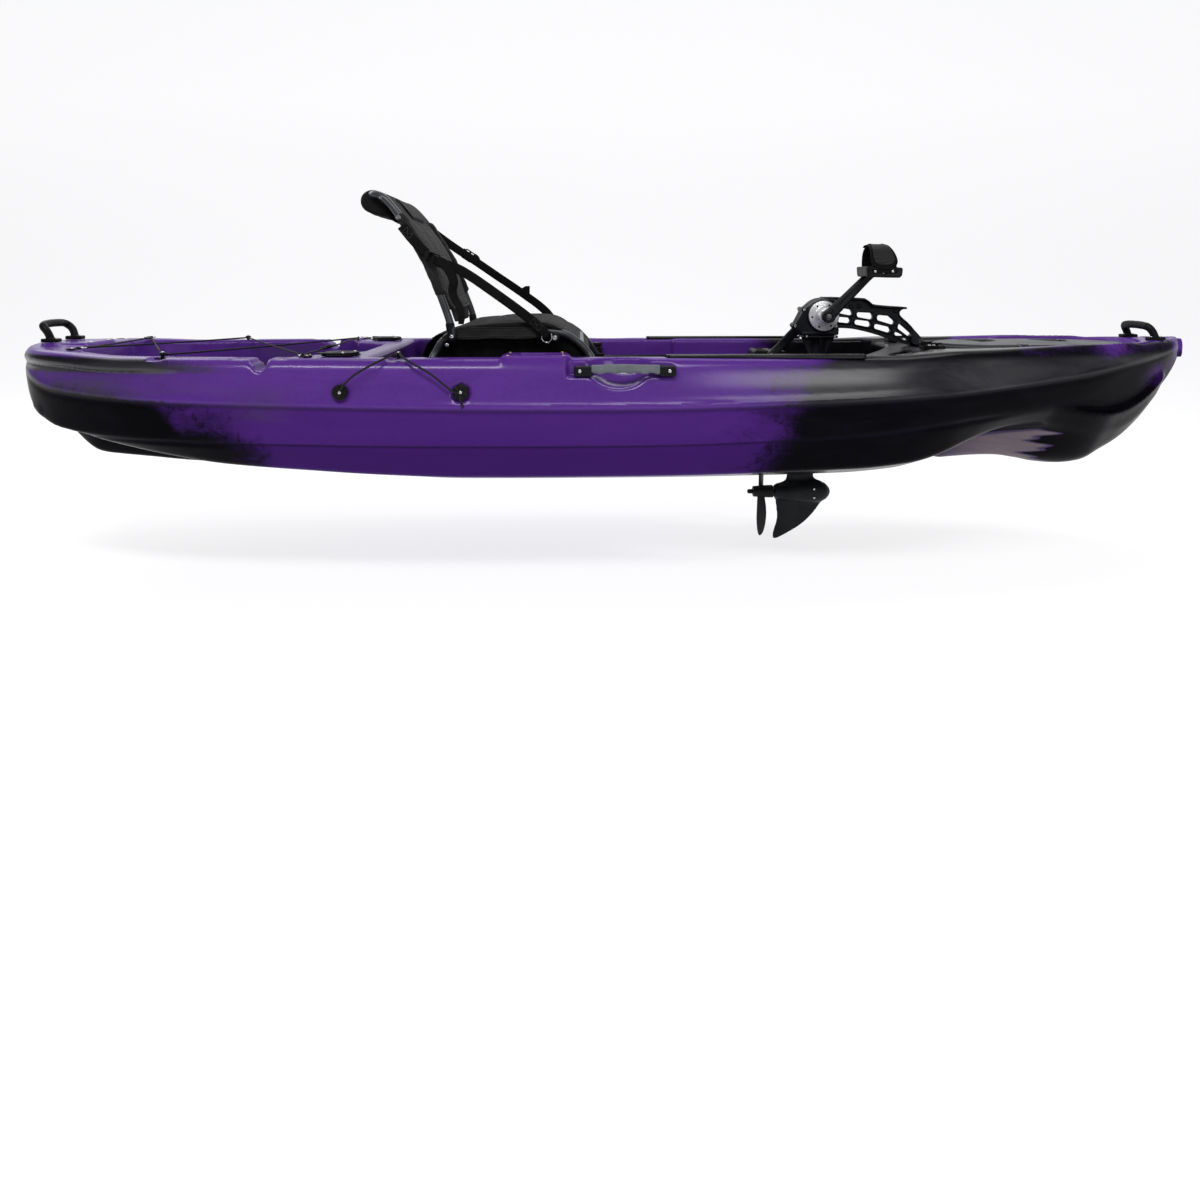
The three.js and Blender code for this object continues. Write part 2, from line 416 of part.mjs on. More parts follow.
// ---------------------------------------------------------------- bow hatch
{
  const z = HATCH.z;
  const lip = 12.5;
  // gasketed rim that is screwed to the hull, with two hinge lugs
  let rim = prism(circle(HATCH.x, 0, 270, 155, 32), z, z + lip - 4).subtract(prism(circle(HATCH.x, 0, 238, 118, 32), z - 5, z + 40));
  rim = rim.subtract(prism(circle(HATCH.x, 0, 264, 149, 32), z + 3, z + 40));
  rim = rim.add(box(HATCH.x - 110, HATCH.x + 110, -142, HINGE_Y - 8, z + 2, z + 8).intersect(prism(circle(HATCH.x, 0, 266, 151, 32), z, z + 40)));
  for (const x of [1080, 1217]) {
    rim = rim.add(box(x - 17, x - 10, HINGE_Y - 12, HINGE_Y + 3, z + 3, z + 15)).add(box(x + 10, x + 17, HINGE_Y - 12, HINGE_Y + 3, z + 3, z + 15));
    rim = rim.add(rod([x - 15, HINGE_Y, z + 11], [x + 15, HINGE_Y, z + 11], 2.5, 10));
  }
  add('bow_hatch_rim', rim, greyPlastic);
  // lid, straight along the hinge, with two fan-shaped latch pockets and a finger notch
  let lid = prism(circle(HATCH.x, 0, HATCH.rx, HATCH.ry, 36), z + 3.4, z + 15);
  lid = lid.subtract(box(900, 1400, -200, HINGE_Y + 6, z - 10, z + 40));
  lid = lid.subtract(prism(circle(HATCH.x, 184, 92, 52, 20), z + 6, z + 40));
  for (const [px, d] of [[1003, 1], [1289, -1]]) {
    const fan = [[px - d * 14, 76], [px - d * 14, 104], [px + d * 2, 114], [px + d * 78, 122], [px + d * 88, 96], [px + d * 84, 60], [px + d * 62, 24], [px + d * 26, -2], [px + d * 14, 10], [px + d * 8, 46]];
    lid = lid.subtract(prism(fan, z + 7, z + 40));
    lid = lid.add(rod([px, 88, z + 5], [px, 88, z + 13.6], 4, 10));
  }
  for (const x of [1080, 1217]) {
    lid = lid.add(box(x - 9, x + 9, HINGE_Y - 5, HINGE_Y + 22, z + 7, z + 17).subtract(box(x - 12, x + 12, HINGE_Y - 8, HINGE_Y - 3.5, z - 5, z + 25)).subtract(box(x - 12, x + 12, HINGE_Y - 3.5, HINGE_Y + 3.5, z, z + 14.5)));
  }
  add('bow_hatch_lid', lid, greyPlastic);
  for (const [name, px, d] of [['aft', 1003, 1], ['fore', 1289, -1]]) {
    const lever = rod([px, 88, z + 7.4], [px, 88, z + 14.6], 10, 14).add(prism([[px, 98], [px + d * 40, 106], [px + d * 72, 117], [px + d * 76, 108], [px + d * 44, 94], [px + d * 6, 80]], z + 7.4, z + 13.4)).subtract(rod([px, 88, z], [px, 88, z + 13.9], 4.5, 12));
    add('bow_latch_' + name, lever, greyPlastic);
  }
}

// ---------------------------------------------------------------- round hatch in the cockpit floor
{
  const z = FLOOR_Z + 17 + GAP;
  let ring = rod([ROUND.x, 0, z], [ROUND.x, 0, z + 4], 128, 28).subtract(rod([ROUND.x, 0, z - 5], [ROUND.x, 0, z + 10], 96, 24));
  for (const y of [-44, 44]) ring = ring.add(box(ROUND_HINGE_X - 5, ROUND_HINGE_X + 5, y - 20, y - 13, z + 2, z + 12)).add(box(ROUND_HINGE_X - 5, ROUND_HINGE_X + 5, y + 13, y + 20, z + 2, z + 12)).add(rod([ROUND_HINGE_X, y - 18, z + 8], [ROUND_HINGE_X, y + 18, z + 8], 2.5, 10));
  add('floor_hatch_rim', ring, greyPlastic);
  let lid = rod([ROUND.x, 0, z + 4.4], [ROUND.x, 0, z + 13], ROUND.r, 32);
  lid = lid.subtract(box(-480, ROUND_HINGE_X + 7, -120, 120, z - 5, z + 40));
  lid = lid.subtract(rod([-252, 0, z + 8], [-252, 0, z + 40], 36, 18));
  for (const y of [-44, 44]) lid = lid.add(box(ROUND_HINGE_X - 3, ROUND_HINGE_X + 26, y - 11, y + 11, z + 7, z + 14).subtract(box(ROUND_HINGE_X - 8, ROUND_HINGE_X + 3.5, y - 14, y + 14, z, z + 11.5)));
  lid = lid.add(rod([-268, 0, z + 6], [-268, 0, z + 10.4], 3.5, 10));
  add('floor_hatch_lid', lid, greyPlastic);
  const knob = rod([-268, 0, z + 8.4], [-268, 0, z + 14], 9, 12).add(prism([[-272, -4], [-262, -4], [-266, -28], [-274, -28]], z + 8.4, z + 12.4)).subtract(rod([-268, 0, z], [-268, 0, z + 10.8], 4, 12));
  add('floor_hatch_latch', knob, greyPlastic);
}

// ---------------------------------------------------------------- sliding T latches
function slideLatch(name, x, y, z, h) {
  const base = prism([[x - 14, y - 26], [x + 14, y - 26], [x + 14, y + 26], [x - 14, y + 26]], z, z + h)
    .add(box(x - 11, x + 11, y - 10, y - 6.4, z + h, z + h + 10)).add(box(x - 11, x + 11, y + 6.4, y + 10, z + h, z + h + 10)).add(box(x - 11, x + 11, y - 10, y + 10, z + h + 6.5, z + h + 10));
  add(name + '_base', base, blackPlastic);
  add(name + '_tongue', box(x - 20, x + 38, y - 6, y + 6, z + h + 0.4, z + h + 6).add(box(x - 20, x - 15, y - 10, y + 10, z + h + 0.4, z + h + 8)), blackPlastic);
}
slideLatch('rod_latch_port', 808, 139, DECK_Z + GAP, 13);
slideLatch('rod_latch_starboard', 808, -139, DECK_Z + GAP, 13);
slideLatch('console_latch', 622, 0, CONSOLE_Z + GAP, 4);

// ---------------------------------------------------------------- pedal drive
{
  // cross rod, arm with cut-outs and mounting plate
  const rodBody = rod([ROD.x, -ROD.half, ROD.z], [ROD.x, ROD.half, ROD.z], ROD.r, 14);
  let web = sidePrism([[846, 346], [850, 356], [842, 366], [822, 396], [800, 412], [786, 424], [784, 436], [800, 446], [720, 452], [690, 464], [640, 466], [600, 470], [576, 466], [576, 398], [620, 394], [680, 392], [750, 380], [800, 362], [828, 346]], -7, 7);
  const slots = [[[628, 424], [668, 422], [672, 436], [630, 438]], [[680, 420], [722, 414], [728, 428], [684, 434]], [[734, 410], [776, 400], [776, 416], [742, 424]], [[626, 404], [666, 402], [668, 414], [628, 416]], [[678, 400], [718, 396], [722, 408], [680, 412]], [[732, 392], [766, 382], [774, 392], [736, 402]], [[782, 374], [800, 364], [810, 366], [786, 388]], [[790, 396], [818, 370], [826, 374], [800, 402]]];
  for (const s of slots) web = web.subtract(sidePrism(s, -20, 20));
  const lip = sidePrism([[800, 446], [800, 442], [720, 447], [690, 459], [600, 465], [600, 470], [640, 471], [690, 465], [720, 452]], -22, 22);
  const foot = sidePrism([[828, 345.6], [852, 345.6], [852, 356], [828, 360]], -30, 30);
  add('drive_arm', join(rodBody, web, lip, foot), blackPlastic);

  // gear case on top: a shell split from the leg, holding the crank axle
  let head = sidePrism([[506, 418], [520, 392], [520, 376], [571, 376], [571, 484], [548, 484], [522, 468], [510, 446]], -34, 34);
  head = head.add(sidePrism([[570, 376], [606, 376], [608, 392], [600, 397.4], [571.4, 397.4], [570, 397.4]], -34, 34));
  head = head.add(box(570, 606, -34, -7.6, 376, 474)).add(box(570, 606, 7.6, 34, 376, 474));
  head = head.add(rod([CRANK.x, -41, CRANK.z], [CRANK.x, 41, CRANK.z], 42, 24));
  // bore of the axle and the gear room
  head = head.subtract(rod([CRANK.x, -60, CRANK.z], [CRANK.x, 60, CRANK.z], 11, 16)).subtract(rod([CRANK.x, -26, CRANK.z], [CRANK.x, 26, CRANK.z], 33, 20));
  head = head.subtract(box(529, 578, -18, 18, 370, 402));
  const arm2 = join(rodBody, web, lip, foot);
  head = head.subtract(box(571, 620, -7.5, 7.5, 360, 480)).subtract(arm2);
  head = head.decompose().sort((a, b) => b.volume() - a.volume())[0];
  add('gear_case', head, blackPlastic);

  // leg with the lower gear housing and the fin, hollow for the drive shaft
  const leg = loft([[375, 556.6, 21, 17], [300, 551, 20, 16], [60, 519, 20, 12], [0, 509, 22, 11], [-40, 504, 26, 12], [-62, 503, 26, 12]].map(([z, x, rx, ry]) => circle(x, 0, rx, ry, 14).map(([a, b]) => [a, b, z])));
  const flange = box(516, 606, -30, 30, 369, 375.6);
  const wings = sidePrism([[518, 370], [604, 370], [580, 316], [536, 316]], -5, 5);
  const caseProfile = [[0, 429], [13, 430], [17, 440], [20, 470], [20, 520], [16, 556], [8, 580], [0, 588]];
  const pod = solid(new THREE.LatheGeometry(caseProfile.map(([r, x]) => new THREE.Vector2(r, x)), 16).rotateZ(-Math.PI / 2).translate(0, 0, PROP.z));
  const fin = sidePrism([[572, -66], [562, -92], [540, -124], [505, -158], [463, -180], [440, -194], [426, -196], [428, -178], [436, -150], [438, -112], [432, -70]], -4, 4);
  let lower = join(leg, flange, wings, pod, fin);
  // vertical shaft bore and the room of the bevel gears
  const axis = (z) => 509 + (z - 0) * (556 - 509) / 370;
  lower = lower.subtract(rod([axis(-70), 0, -70], [axis(385), 0, 385], 8, 12)).subtract(rod([428, 0, PROP.z], [524, 0, PROP.z], 8.5, 12));
  lower = lower.subtract(rod([480, 0, PROP.z], [524, 0, PROP.z], 14, 14));
  add('drive_leg', lower, blackPlastic);

  // running gear
  const shaftTop = [axis(392), 0, 392], shaftLow = [axis(-45), 0, -45];
  let shaft = rod(shaftLow, shaftTop, 6, 12).add(rod([axis(394), 0, 394], [axis(400), 0, 400], 14, 16, 11)).add(rod([axis(390), 0, 390], [axis(395), 0, 395], 14, 16));
  shaft = shaft.add(rod([axis(-45), 0, -45], [axis(-41), 0, -41], 7.2, 12));
  add('drive_shaft', shaft, steel);
  const gear = rod([CRANK.x, 14, CRANK.z], [CRANK.x, 22, CRANK.z], 27, 24);
  const axle = rod([CRANK.x, -CRANK.y - 8, CRANK.z], [CRANK.x, CRANK.y + 8, CRANK.z], 9, 14).add(gear);
  add('crank_axle', axle, steel);
  const a = CRANK.angle * Math.PI / 180;
  for (const [side, s, d] of [['starboard', -1, 1], ['port', 1, -1]]) {
    const ex = CRANK.x + d * CRANK.arm * Math.cos(a), ez = CRANK.z + d * CRANK.arm * Math.sin(a);
    const y0 = s > 0 ? CRANK.y : -CRANK.y - 20, y1 = s > 0 ? CRANK.y + 20 : -CRANK.y, ux = Math.cos(a) * d, uz = Math.sin(a) * d;
    let arm = rod([CRANK.x, y0, CRANK.z], [CRANK.x, y1, CRANK.z], 17, 16).add(rod([ex, y0, ez], [ex, y1, ez], 12, 14));
    arm = arm.add(sidePrism([[CRANK.x - uz * 15, CRANK.z + ux * 15], [CRANK.x + uz * 15, CRANK.z - ux * 15], [ex + uz * 10, ez - ux * 10], [ex - uz * 10, ez + ux * 10]], y0 + 4, y1 - 3));
    arm = arm.subtract(rod([CRANK.x, -CRANK.y - 8.5, CRANK.z], [CRANK.x, CRANK.y + 8.5, CRANK.z], 9.5, 14));
    // pedal spindle
    arm = arm.add(rod([ex, s * (CRANK.y + 16), ez], [ex, s * (CRANK.pedal + 36), ez], 5, 10));
    add('crank_arm_' + side, arm, blackPlastic);
    // pedal with its foot strap
    const w0 = s > 0 ? CRANK.pedal - 46 : -CRANK.pedal - 46, w1 = w0 + 92;
    const f = s > 0 ? -1 : 1; // the far pedal hangs with its strap below
    let pedal = sidePrism([[-42, -12], [36, -15], [42, -8], [44, 12], [-44, 15]].map(([u, w]) => [ex + f * u, ez + f * w]), w0, w1);
    pedal = pedal.subtract(rod([ex, s * 60, ez], [ex, s * (CRANK.pedal + 40), ez], 5.5, 10));
    const arc = [];
    for (let i = 0; i <= 10; i++) {
      const u = Math.PI * i / 10, yy = s * CRANK.pedal - s * 44 * Math.cos(u);
      arc.push([yy, 8 + 57 * Math.sin(u) ** 0.6]);
    }
    const ringIn = arc.map(([yy, h]) => [s * CRANK.pedal + (yy - s * CRANK.pedal) * 0.94, Math.max(6, h - 4)]);
    const outline = [...arc, ...ringIn.reverse()].map(([yy, h]) => [yy, ez + f * h]);
    const bandG = new THREE.ExtrudeGeometry(new THREE.Shape(outline.map(([p, q]) => new THREE.Vector2(p, q))), { depth: 56, bevelEnabled: false });
    bandG.applyMatrix4(new THREE.Matrix4().set(0, 0, 1, f > 0 ? ex - 36 : ex - 20, 1, 0, 0, 0, 0, 1, 0, 0, 0, 0, 0, 1));
    pedal = pedal.add(solid(bandG).subtract(rod([ex, s * 60, ez], [ex, s * (CRANK.pedal + 40), ez], 5.5, 10)));
    add('pedal_' + side, pedal, blackPlastic);
  }
  // propeller on its shaft
  let prop = rod([PROP.x - 24, 0, PROP.z], [PROP.x + 33, 0, PROP.z], 17, 16, 14).add(rod([PROP.x, 0, PROP.z], [500, 0, PROP.z], 5, 10)).add(rod([492, 0, PROP.z], [500, 0, PROP.z], 12, 16));
  prop = prop.add(rod([PROP.x - 38, 0, PROP.z], [PROP.x - 23, 0, PROP.z], 6, 10, 14));
  for (const s of [-1, 1]) {
    const rings = [[8, 26, 6, 38], [30, 34, 5, 32], [60, 44, 4, 26], [92, 40, 3, 22], [114, 26, 2.5, 20], [PROP.r, 8, 2, 18]].map(([r, chord, th, pitch]) => {
      const p = pitch * Math.PI / 180 * 1, cx = Math.sin(p), cy = Math.cos(p) * s;
      return [[-0.5, 0], [-0.2, 0.5], [0.3, 0.45], [0.5, 0], [0.3, -0.45], [-0.2, -0.5]].map(([u, v]) => [PROP.x + u * chord * cx + v * th * cy * s, (u * chord * cy - v * th * cx * s), PROP.z + s * r]);
    });
    prop = prop.add(loft(rings));
  }
  add('propeller', prop, blackPlastic);
}

// ---------------------------------------------------------------- framed seat
{
  const y = SEAT.y, r = SEAT.tube;
  // base frame: two side hoops, two cross tubes, four feet on the ledge
  let frame = null;
  for (const s of [-1, 1]) {
    const hoop = tube([[-505, s * (y + 30), LEDGE_Z + 14], [-496, s * (y + 22), 306], [-478, s * y, 346], [-452, s * y, 372], [-410, s * y, 379], [-150, s * y, 379], [-118, s * y, 370], [-92, s * y, 346], [-70, s * (y + 22), 312], [-60, s * (y + 30), LEDGE_Z + 14]], r, 8, 26, 0.5);
    frame = frame ? frame.add(hoop) : hoop;
    frame = frame.add(box(-532, -480, s > 0 ? y + 20 : -(y + 82), s > 0 ? y + 82 : -(y + 20), LEDGE_Z + GAP, LEDGE_Z + 10));
    // foot of the front clamp, over the track
    frame = frame.add(box(-82, -38, s > 0 ? y + 20 : -(y + 84), s > 0 ? y + 84 : -(y + 20), LEDGE_Z + 10, LEDGE_Z + 18));
    frame = frame.add(box(-77, -43, s * 288 - 13, s * 288 + 13, LEDGE_Z + 17, 320)).subtract(rod([-60, s * 288, LEDGE_Z + 18], [-60, s * 288, 340], 6.6, 10));
    frame = frame.add(rod([BACK.x, s * (y - 8), BACK.z + 4], [BACK.x, s * (y + 28), BACK.z + 4], 4.5, 10));
    frame = frame.add(box(BACK.x - 10, BACK.x + 10, s > 0 ? y - 8 : -(y + 8), s > 0 ? y + 8 : -(y - 8), BACK.z - 8, BACK.z + 8));
  }
  frame = frame.add(rod([-470, -y, 355], [-470, y, 355], 8, 10)).add(rod([-110, -y, 366], [-110, y, 366], 8, 10));
  add('seat_frame', frame, anodised);
  // seat pan: fabric slung between the side tubes
  let pan = sidePrism([[-422, 368], [-400, 364], [-150, 366], [-128, 380], [-128, 392], [-150, 404], [-290, 402], [-400, 394], [-422, 390]], -(y - 12), y - 12);
  add('seat_pan', pan.subtract(frame), fabric);
  // front clamps on the tracks
  for (const [side, s] of [['port', 1], ['starboard', -1]]) {
    const cy = s * 288, knob = join(
      rod([-60, cy, LEDGE_Z + 18.6], [-60, cy, 323], 6, 10), rod([-60, cy, 321], [-60, cy, 334], 17, 10));
    add('clamp_knob_' + side, knob, blackPlastic);
  }
  // back frame: bent tube, wrapped cross bar on top
  const side = (s) => [[BACK.x + 3, s * (y + 21), BACK.z + 4], [-440, s * (y + 21), 430], [-458, s * (y + 18), 480], [-478, s * (y + 12), 530], [-503, s * (y + 6), 585], [-540, s * y, 645], [-575, s * (y - 8), 700], [-615, s * (y - 24), 742], [-650, s * (y - 60), 752]];
  let back = tube([...side(-1), [-662, 0, 752], ...side(1).reverse()], r, 8, 40, 0.5);
  for (const s of [-1, 1]) {
    back = back.add(rod([BACK.x, s * (y + 12), BACK.z + 4], [BACK.x, s * (y + 27), BACK.z + 4], 12, 12)).subtract(rod([BACK.x, s * (y - 20), BACK.z + 4], [BACK.x, s * (y + 40), BACK.z + 4], 5.2, 12));
  }
  back = back.add(tube([[-656, -150, 750], [-662, 0, 752], [-656, 150, 750]], 15, 8, 6, 0.5));
  add('seat_back_frame', back, anodised);
  const cloth = sidePrism([[-452, 440], [-462, 468], [-480, 514], [-505, 572], [-545, 638], [-582, 692], [-606, 716], [-600, 724], [-570, 702], [-528, 640], [-488, 572], [-462, 512], [-446, 466], [-438, 440]], -(y - 26), y - 26);
  add('seat_back_fabric', cloth, fabric);
  // tension straps from the back frame to the front of the base frame
  for (const [name, s] of [['port', 1], ['starboard', -1]]) {
    const y0 = s > 0 ? y + 16 : -(y + 42), y1 = s > 0 ? y + 42 : -(y + 16);
    add('seat_strap_' + name, strap([[-548, 655], [-500, 612], [-455, 570], [-400, 545], [-345, 508], [-290, 472], [-240, 438], [-195, 410], [-165, 392]], y0, y1, 3), fabric);
  }
}

export default kayak;
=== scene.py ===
# Sit-on-top fishing kayak with a framed seat and a pedal drive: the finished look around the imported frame.
# Metres. +X is the bow, +Y is port, +Z is up.
import json
import math
import random

import bmesh
import bpy
import numpy as np
from mathutils import Matrix, Vector


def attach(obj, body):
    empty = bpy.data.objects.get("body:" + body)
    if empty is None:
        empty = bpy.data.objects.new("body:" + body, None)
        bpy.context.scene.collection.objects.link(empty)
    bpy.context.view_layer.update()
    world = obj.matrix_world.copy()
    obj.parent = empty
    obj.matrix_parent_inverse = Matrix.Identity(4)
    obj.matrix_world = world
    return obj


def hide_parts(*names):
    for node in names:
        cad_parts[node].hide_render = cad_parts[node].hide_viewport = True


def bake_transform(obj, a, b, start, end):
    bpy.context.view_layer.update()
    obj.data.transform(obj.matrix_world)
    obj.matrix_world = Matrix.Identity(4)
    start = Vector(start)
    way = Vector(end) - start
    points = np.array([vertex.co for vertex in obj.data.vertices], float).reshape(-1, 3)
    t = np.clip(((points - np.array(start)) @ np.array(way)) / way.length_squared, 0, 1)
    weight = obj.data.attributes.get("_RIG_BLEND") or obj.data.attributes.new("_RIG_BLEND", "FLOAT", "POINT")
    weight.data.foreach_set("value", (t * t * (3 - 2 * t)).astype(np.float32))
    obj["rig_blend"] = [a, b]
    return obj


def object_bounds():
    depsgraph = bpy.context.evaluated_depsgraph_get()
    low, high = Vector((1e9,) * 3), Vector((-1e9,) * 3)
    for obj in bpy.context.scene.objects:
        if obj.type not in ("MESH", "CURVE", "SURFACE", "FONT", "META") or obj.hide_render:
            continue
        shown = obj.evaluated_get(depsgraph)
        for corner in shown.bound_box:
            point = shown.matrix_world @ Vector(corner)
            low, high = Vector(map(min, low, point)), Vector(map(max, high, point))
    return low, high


random.seed(7)
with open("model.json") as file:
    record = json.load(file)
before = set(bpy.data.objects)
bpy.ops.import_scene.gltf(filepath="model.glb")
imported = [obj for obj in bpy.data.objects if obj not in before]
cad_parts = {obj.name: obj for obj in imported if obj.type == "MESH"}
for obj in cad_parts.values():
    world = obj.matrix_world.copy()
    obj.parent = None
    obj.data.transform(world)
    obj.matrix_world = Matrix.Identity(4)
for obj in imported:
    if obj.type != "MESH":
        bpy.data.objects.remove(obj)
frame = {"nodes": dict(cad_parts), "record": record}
CAD_BOX = [list(map(float, v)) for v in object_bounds()]
NODES = frame["nodes"]
scene = bpy.context.scene
COLL = scene.collection

# ---------------------------------------------------------------- camera, light, floor
cam_data = bpy.data.cameras.new("camera")
cam_data.sensor_width = 36.0
cam_data.lens = 27.17
cam_data.shift_y = -0.2706
cam_data.clip_end = 60
cam = bpy.data.objects.new("camera", cam_data)
COLL.objects.link(cam)
cam.location = (-0.116, -2.522, 0.542)
cam.rotation_euler = (math.radians(90), 0, math.radians(-1.36))
scene.camera = cam

scene.view_settings.view_transform = "Standard"
scene.view_settings.look = "None"

world = bpy.data.worlds.new("studio")
world.use_nodes = True
bg = world.node_tree.nodes["Background"]
bg.inputs["Color"].default_value = (0.95, 0.97, 1.0, 1)
bg.inputs["Strength"].default_value = 0.20
scene.world = world


def area(name, loc, target, size, size_y, power, color=(1, 1, 1)):
    d = bpy.data.lights.new(name, "AREA")
    d.shape = "RECTANGLE"
    d.size, d.size_y, d.energy, d.color = size, size_y, power, color
    o = bpy.data.objects.new(name, d)
    COLL.objects.link(o)
    o.location = loc
    o.rotation_euler = (Vector(target) - Vector(loc)).to_track_quat("-Z", "Y").to_euler()
    return o


area("key", (-0.7, -2.4, 3.3), (0.1, 0, 0.3), 3.6, 0.6, 92)
area("top", (0.5, 1.4, 3.2), (0, 0, 0.3), 4.4, 0.9, 50)
area("front", (1.9, -3.6, 1.5), (0.2, 0, 0.25), 1.4, 1.0, 24)
area("rear", (-3.0, 2.2, 2.2), (-0.3, 0, 0.3), 1.6, 1.6, 22)

GROUND_Z = CAD_BOX[0][2] - 0.001


# ---------------------------------------------------------------- mesh helpers
def new_object(name, mesh):
    o = bpy.data.objects.new(name, mesh)
    COLL.objects.link(o)
    return o


def mesh_from(name, verts, faces, smooth=True, uv=None):
    m = bpy.data.meshes.new(name)
    verts = np.asarray(verts, np.float32)
    if isinstance(faces, np.ndarray):
        n, k = faces.shape
        m.vertices.add(len(verts))
        m.vertices.foreach_set("co", verts.ravel())
        m.loops.add(n * k)
        m.loops.foreach_set("vertex_index", faces.astype(np.int32).ravel())
        m.polygons.add(n)
        m.polygons.foreach_set("loop_start", np.arange(0, n * k, k, dtype=np.int32))
        m.update(calc_edges=True)
    else:
        m.from_pydata([tuple(map(float, v)) for v in verts], [], faces)
    m.validate(verbose=False)
    m.polygons.foreach_set("use_smooth", np.full(len(m.polygons), bool(smooth)))
    if uv is not None:
        layer = m.uv_layers.new(name="UVMap")
        idx = np.empty(len(m.loops), np.int32)
        m.loops.foreach_get("vertex_index", idx)
        layer.data.foreach_set("uv", np.asarray(uv, np.float32)[idx].ravel())
    m.update()
    return m


def apply_modifiers(o):
    dg = bpy.context.evaluated_depsgraph_get()
    dg.update()
    me = bpy.data.meshes.new_from_object(o.evaluated_get(dg))
    old = o.data
    o.modifiers.clear()
    o.data = me
    if old.users == 0:
        bpy.data.meshes.remove(old)
    return o


def bevelled(o, width, segments=2, angle=32):
    b = o.modifiers.new("bevel", "BEVEL")
    b.width = width
    b.segments = segments
    b.limit_method = "ANGLE"
    b.angle_limit = math.radians(angle)
    b.harden_normals = True
    return apply_modifiers(o)


def shade(o, angle=35):
    """Smooth shading that keeps edges sharper than angle, as real normals in the mesh."""
    me = o.data
    me.polygons.foreach_set("use_smooth", np.full(len(me.polygons), True))
    bm = bmesh.new()
    bm.from_mesh(me)
    lim = math.radians(angle)
    for e in bm.edges:
        if len(e.link_faces) == 2:
            e.smooth = e.calc_face_angle(0) < lim
    bm.to_mesh(me)
    bm.free()
    return o


def catmull(points, n=8, closed=False):
    p = np.asarray(points, float)
    if closed:
        p = np.vstack([p[-1], p, p[0], p[1]])
    else:
        p = np.vstack([2 * p[0] - p[1], p, 2 * p[-1] - p[-2]])
    out = []
    for i in range(1, len(p) - 2):
        a, b, c, d = p[i - 1], p[i], p[i + 1], p[i + 2]
        for t in np.arange(n) / n:
            out.append(0.5 * ((2 * b) + (c - a) * t + (2 * a - 5 * b + 4 * c - d) * t * t + (3 * b - a - 3 * c + d) * t ** 3))
    if not closed:
        out.append(p[-2])
    return np.array(out)


def resample(path, step):
    p = np.asarray(path, float)
    s = np.concatenate([[0], np.cumsum(np.linalg.norm(np.diff(p, axis=0), axis=1))])
    n = max(2, int(round(s[-1] / step)) + 1)
    t = np.linspace(0, s[-1], n)
    return np.stack([np.interp(t, s, p[:, k]) for k in range(3)], 1)


def frames(path, up=None, closed=False):
    """Tangent, side and up vectors along a path, carried along without twist."""
    p = np.asarray(path, float)
    if closed:
        t = np.roll(p, -1, 0) - np.roll(p, 1, 0)
    else:
        t = np.gradient(p, axis=0)
    t /= np.maximum(np.linalg.norm(t, axis=1), 1e-12)[:, None]
    side, ups = [], []
    prev = None
    for i in range(len(p)):
        if up is not None:
            u = np.asarray(up[i] if np.ndim(up) == 2 else up, float)
        elif prev is None:
            u = np.array([0, 0, 1.0]) if abs(t[i][2]) < 0.9 else np.array([1.0, 0, 0])
        else:
            u = prev
        s = np.cross(t[i], u)
        s /= max(np.linalg.norm(s), 1e-12)
        u = np.cross(s, t[i])
        side.append(s)
        ups.append(u)
        prev = u
    return t, np.array(side), np.array(ups)


def sweep(name, path, section, up=None, closed=False, scale=None, caps=True, smooth=True):
    """A closed section (side, up) swept along a path. UVs are in metres: u along the path, v round the section."""
    p = np.asarray(path, float)
    sec = np.asarray(section, float)
    t, s, u = frames(p, up, closed)
    n, k = len(p), len(sec)
    sc = np.ones((n, 2)) if scale is None else np.asarray(scale, float).reshape(n, -1) * np.ones((n, 2))
    v = p[:, None, :] + s[:, None, :] * (sec[None, :, 0, None] * sc[:, None, 0, None]) + u[:, None, :] * (sec[None, :, 1, None] * sc[:, None, 1, None])
    length = np.concatenate([[0], np.cumsum(np.linalg.norm(np.diff(p, axis=0), axis=1))])
    ring = np.concatenate([[0], np.cumsum(np.linalg.norm(np.diff(np.vstack([sec, sec[:1]]), axis=0), axis=1))])[:k]
    uv = np.stack([np.repeat(length, k), np.tile(ring, n)], 1)
    faces = []
    last = n if closed else n - 1
    for i in range(last):
        j = (i + 1) % n
        for q in range(k):
            r = (q + 1) % k
            faces.append((i * k + q, i * k + r, j * k + r, j * k + q))
    verts = v.reshape(-1, 3)
    if caps and not closed:
        faces.append(tuple(range(k))[::-1])
        faces.append(tuple((n - 1) * k + q for q in range(k)))
    m = mesh_from(name, verts, faces, smooth, uv)
    o = new_object(name, m)
    return outward(o)


def outward(o):
    bm = bmesh.new()
    bm.from_mesh(o.data)
    bmesh.ops.recalc_face_normals(bm, faces=bm.faces)
    bm.to_mesh(o.data)
    bm.free()
    return o


def ring_section(r, k=14, ry=None):
    ry = r if ry is None else ry
    a = np.arange(k) * 2 * math.pi / k
    return np.stack([r * np.cos(a), ry * np.sin(a)], 1)


def tube(name, points, r, k=14, n=8, step=None, smooth_path=True, caps=True, closed=False):
    path = catmull(points, n, closed) if smooth_path else np.asarray(points, float)
    if step:
        path = resample(path, step)
    o = sweep(name, path, ring_section(r, k), caps=caps, closed=closed)
    return o


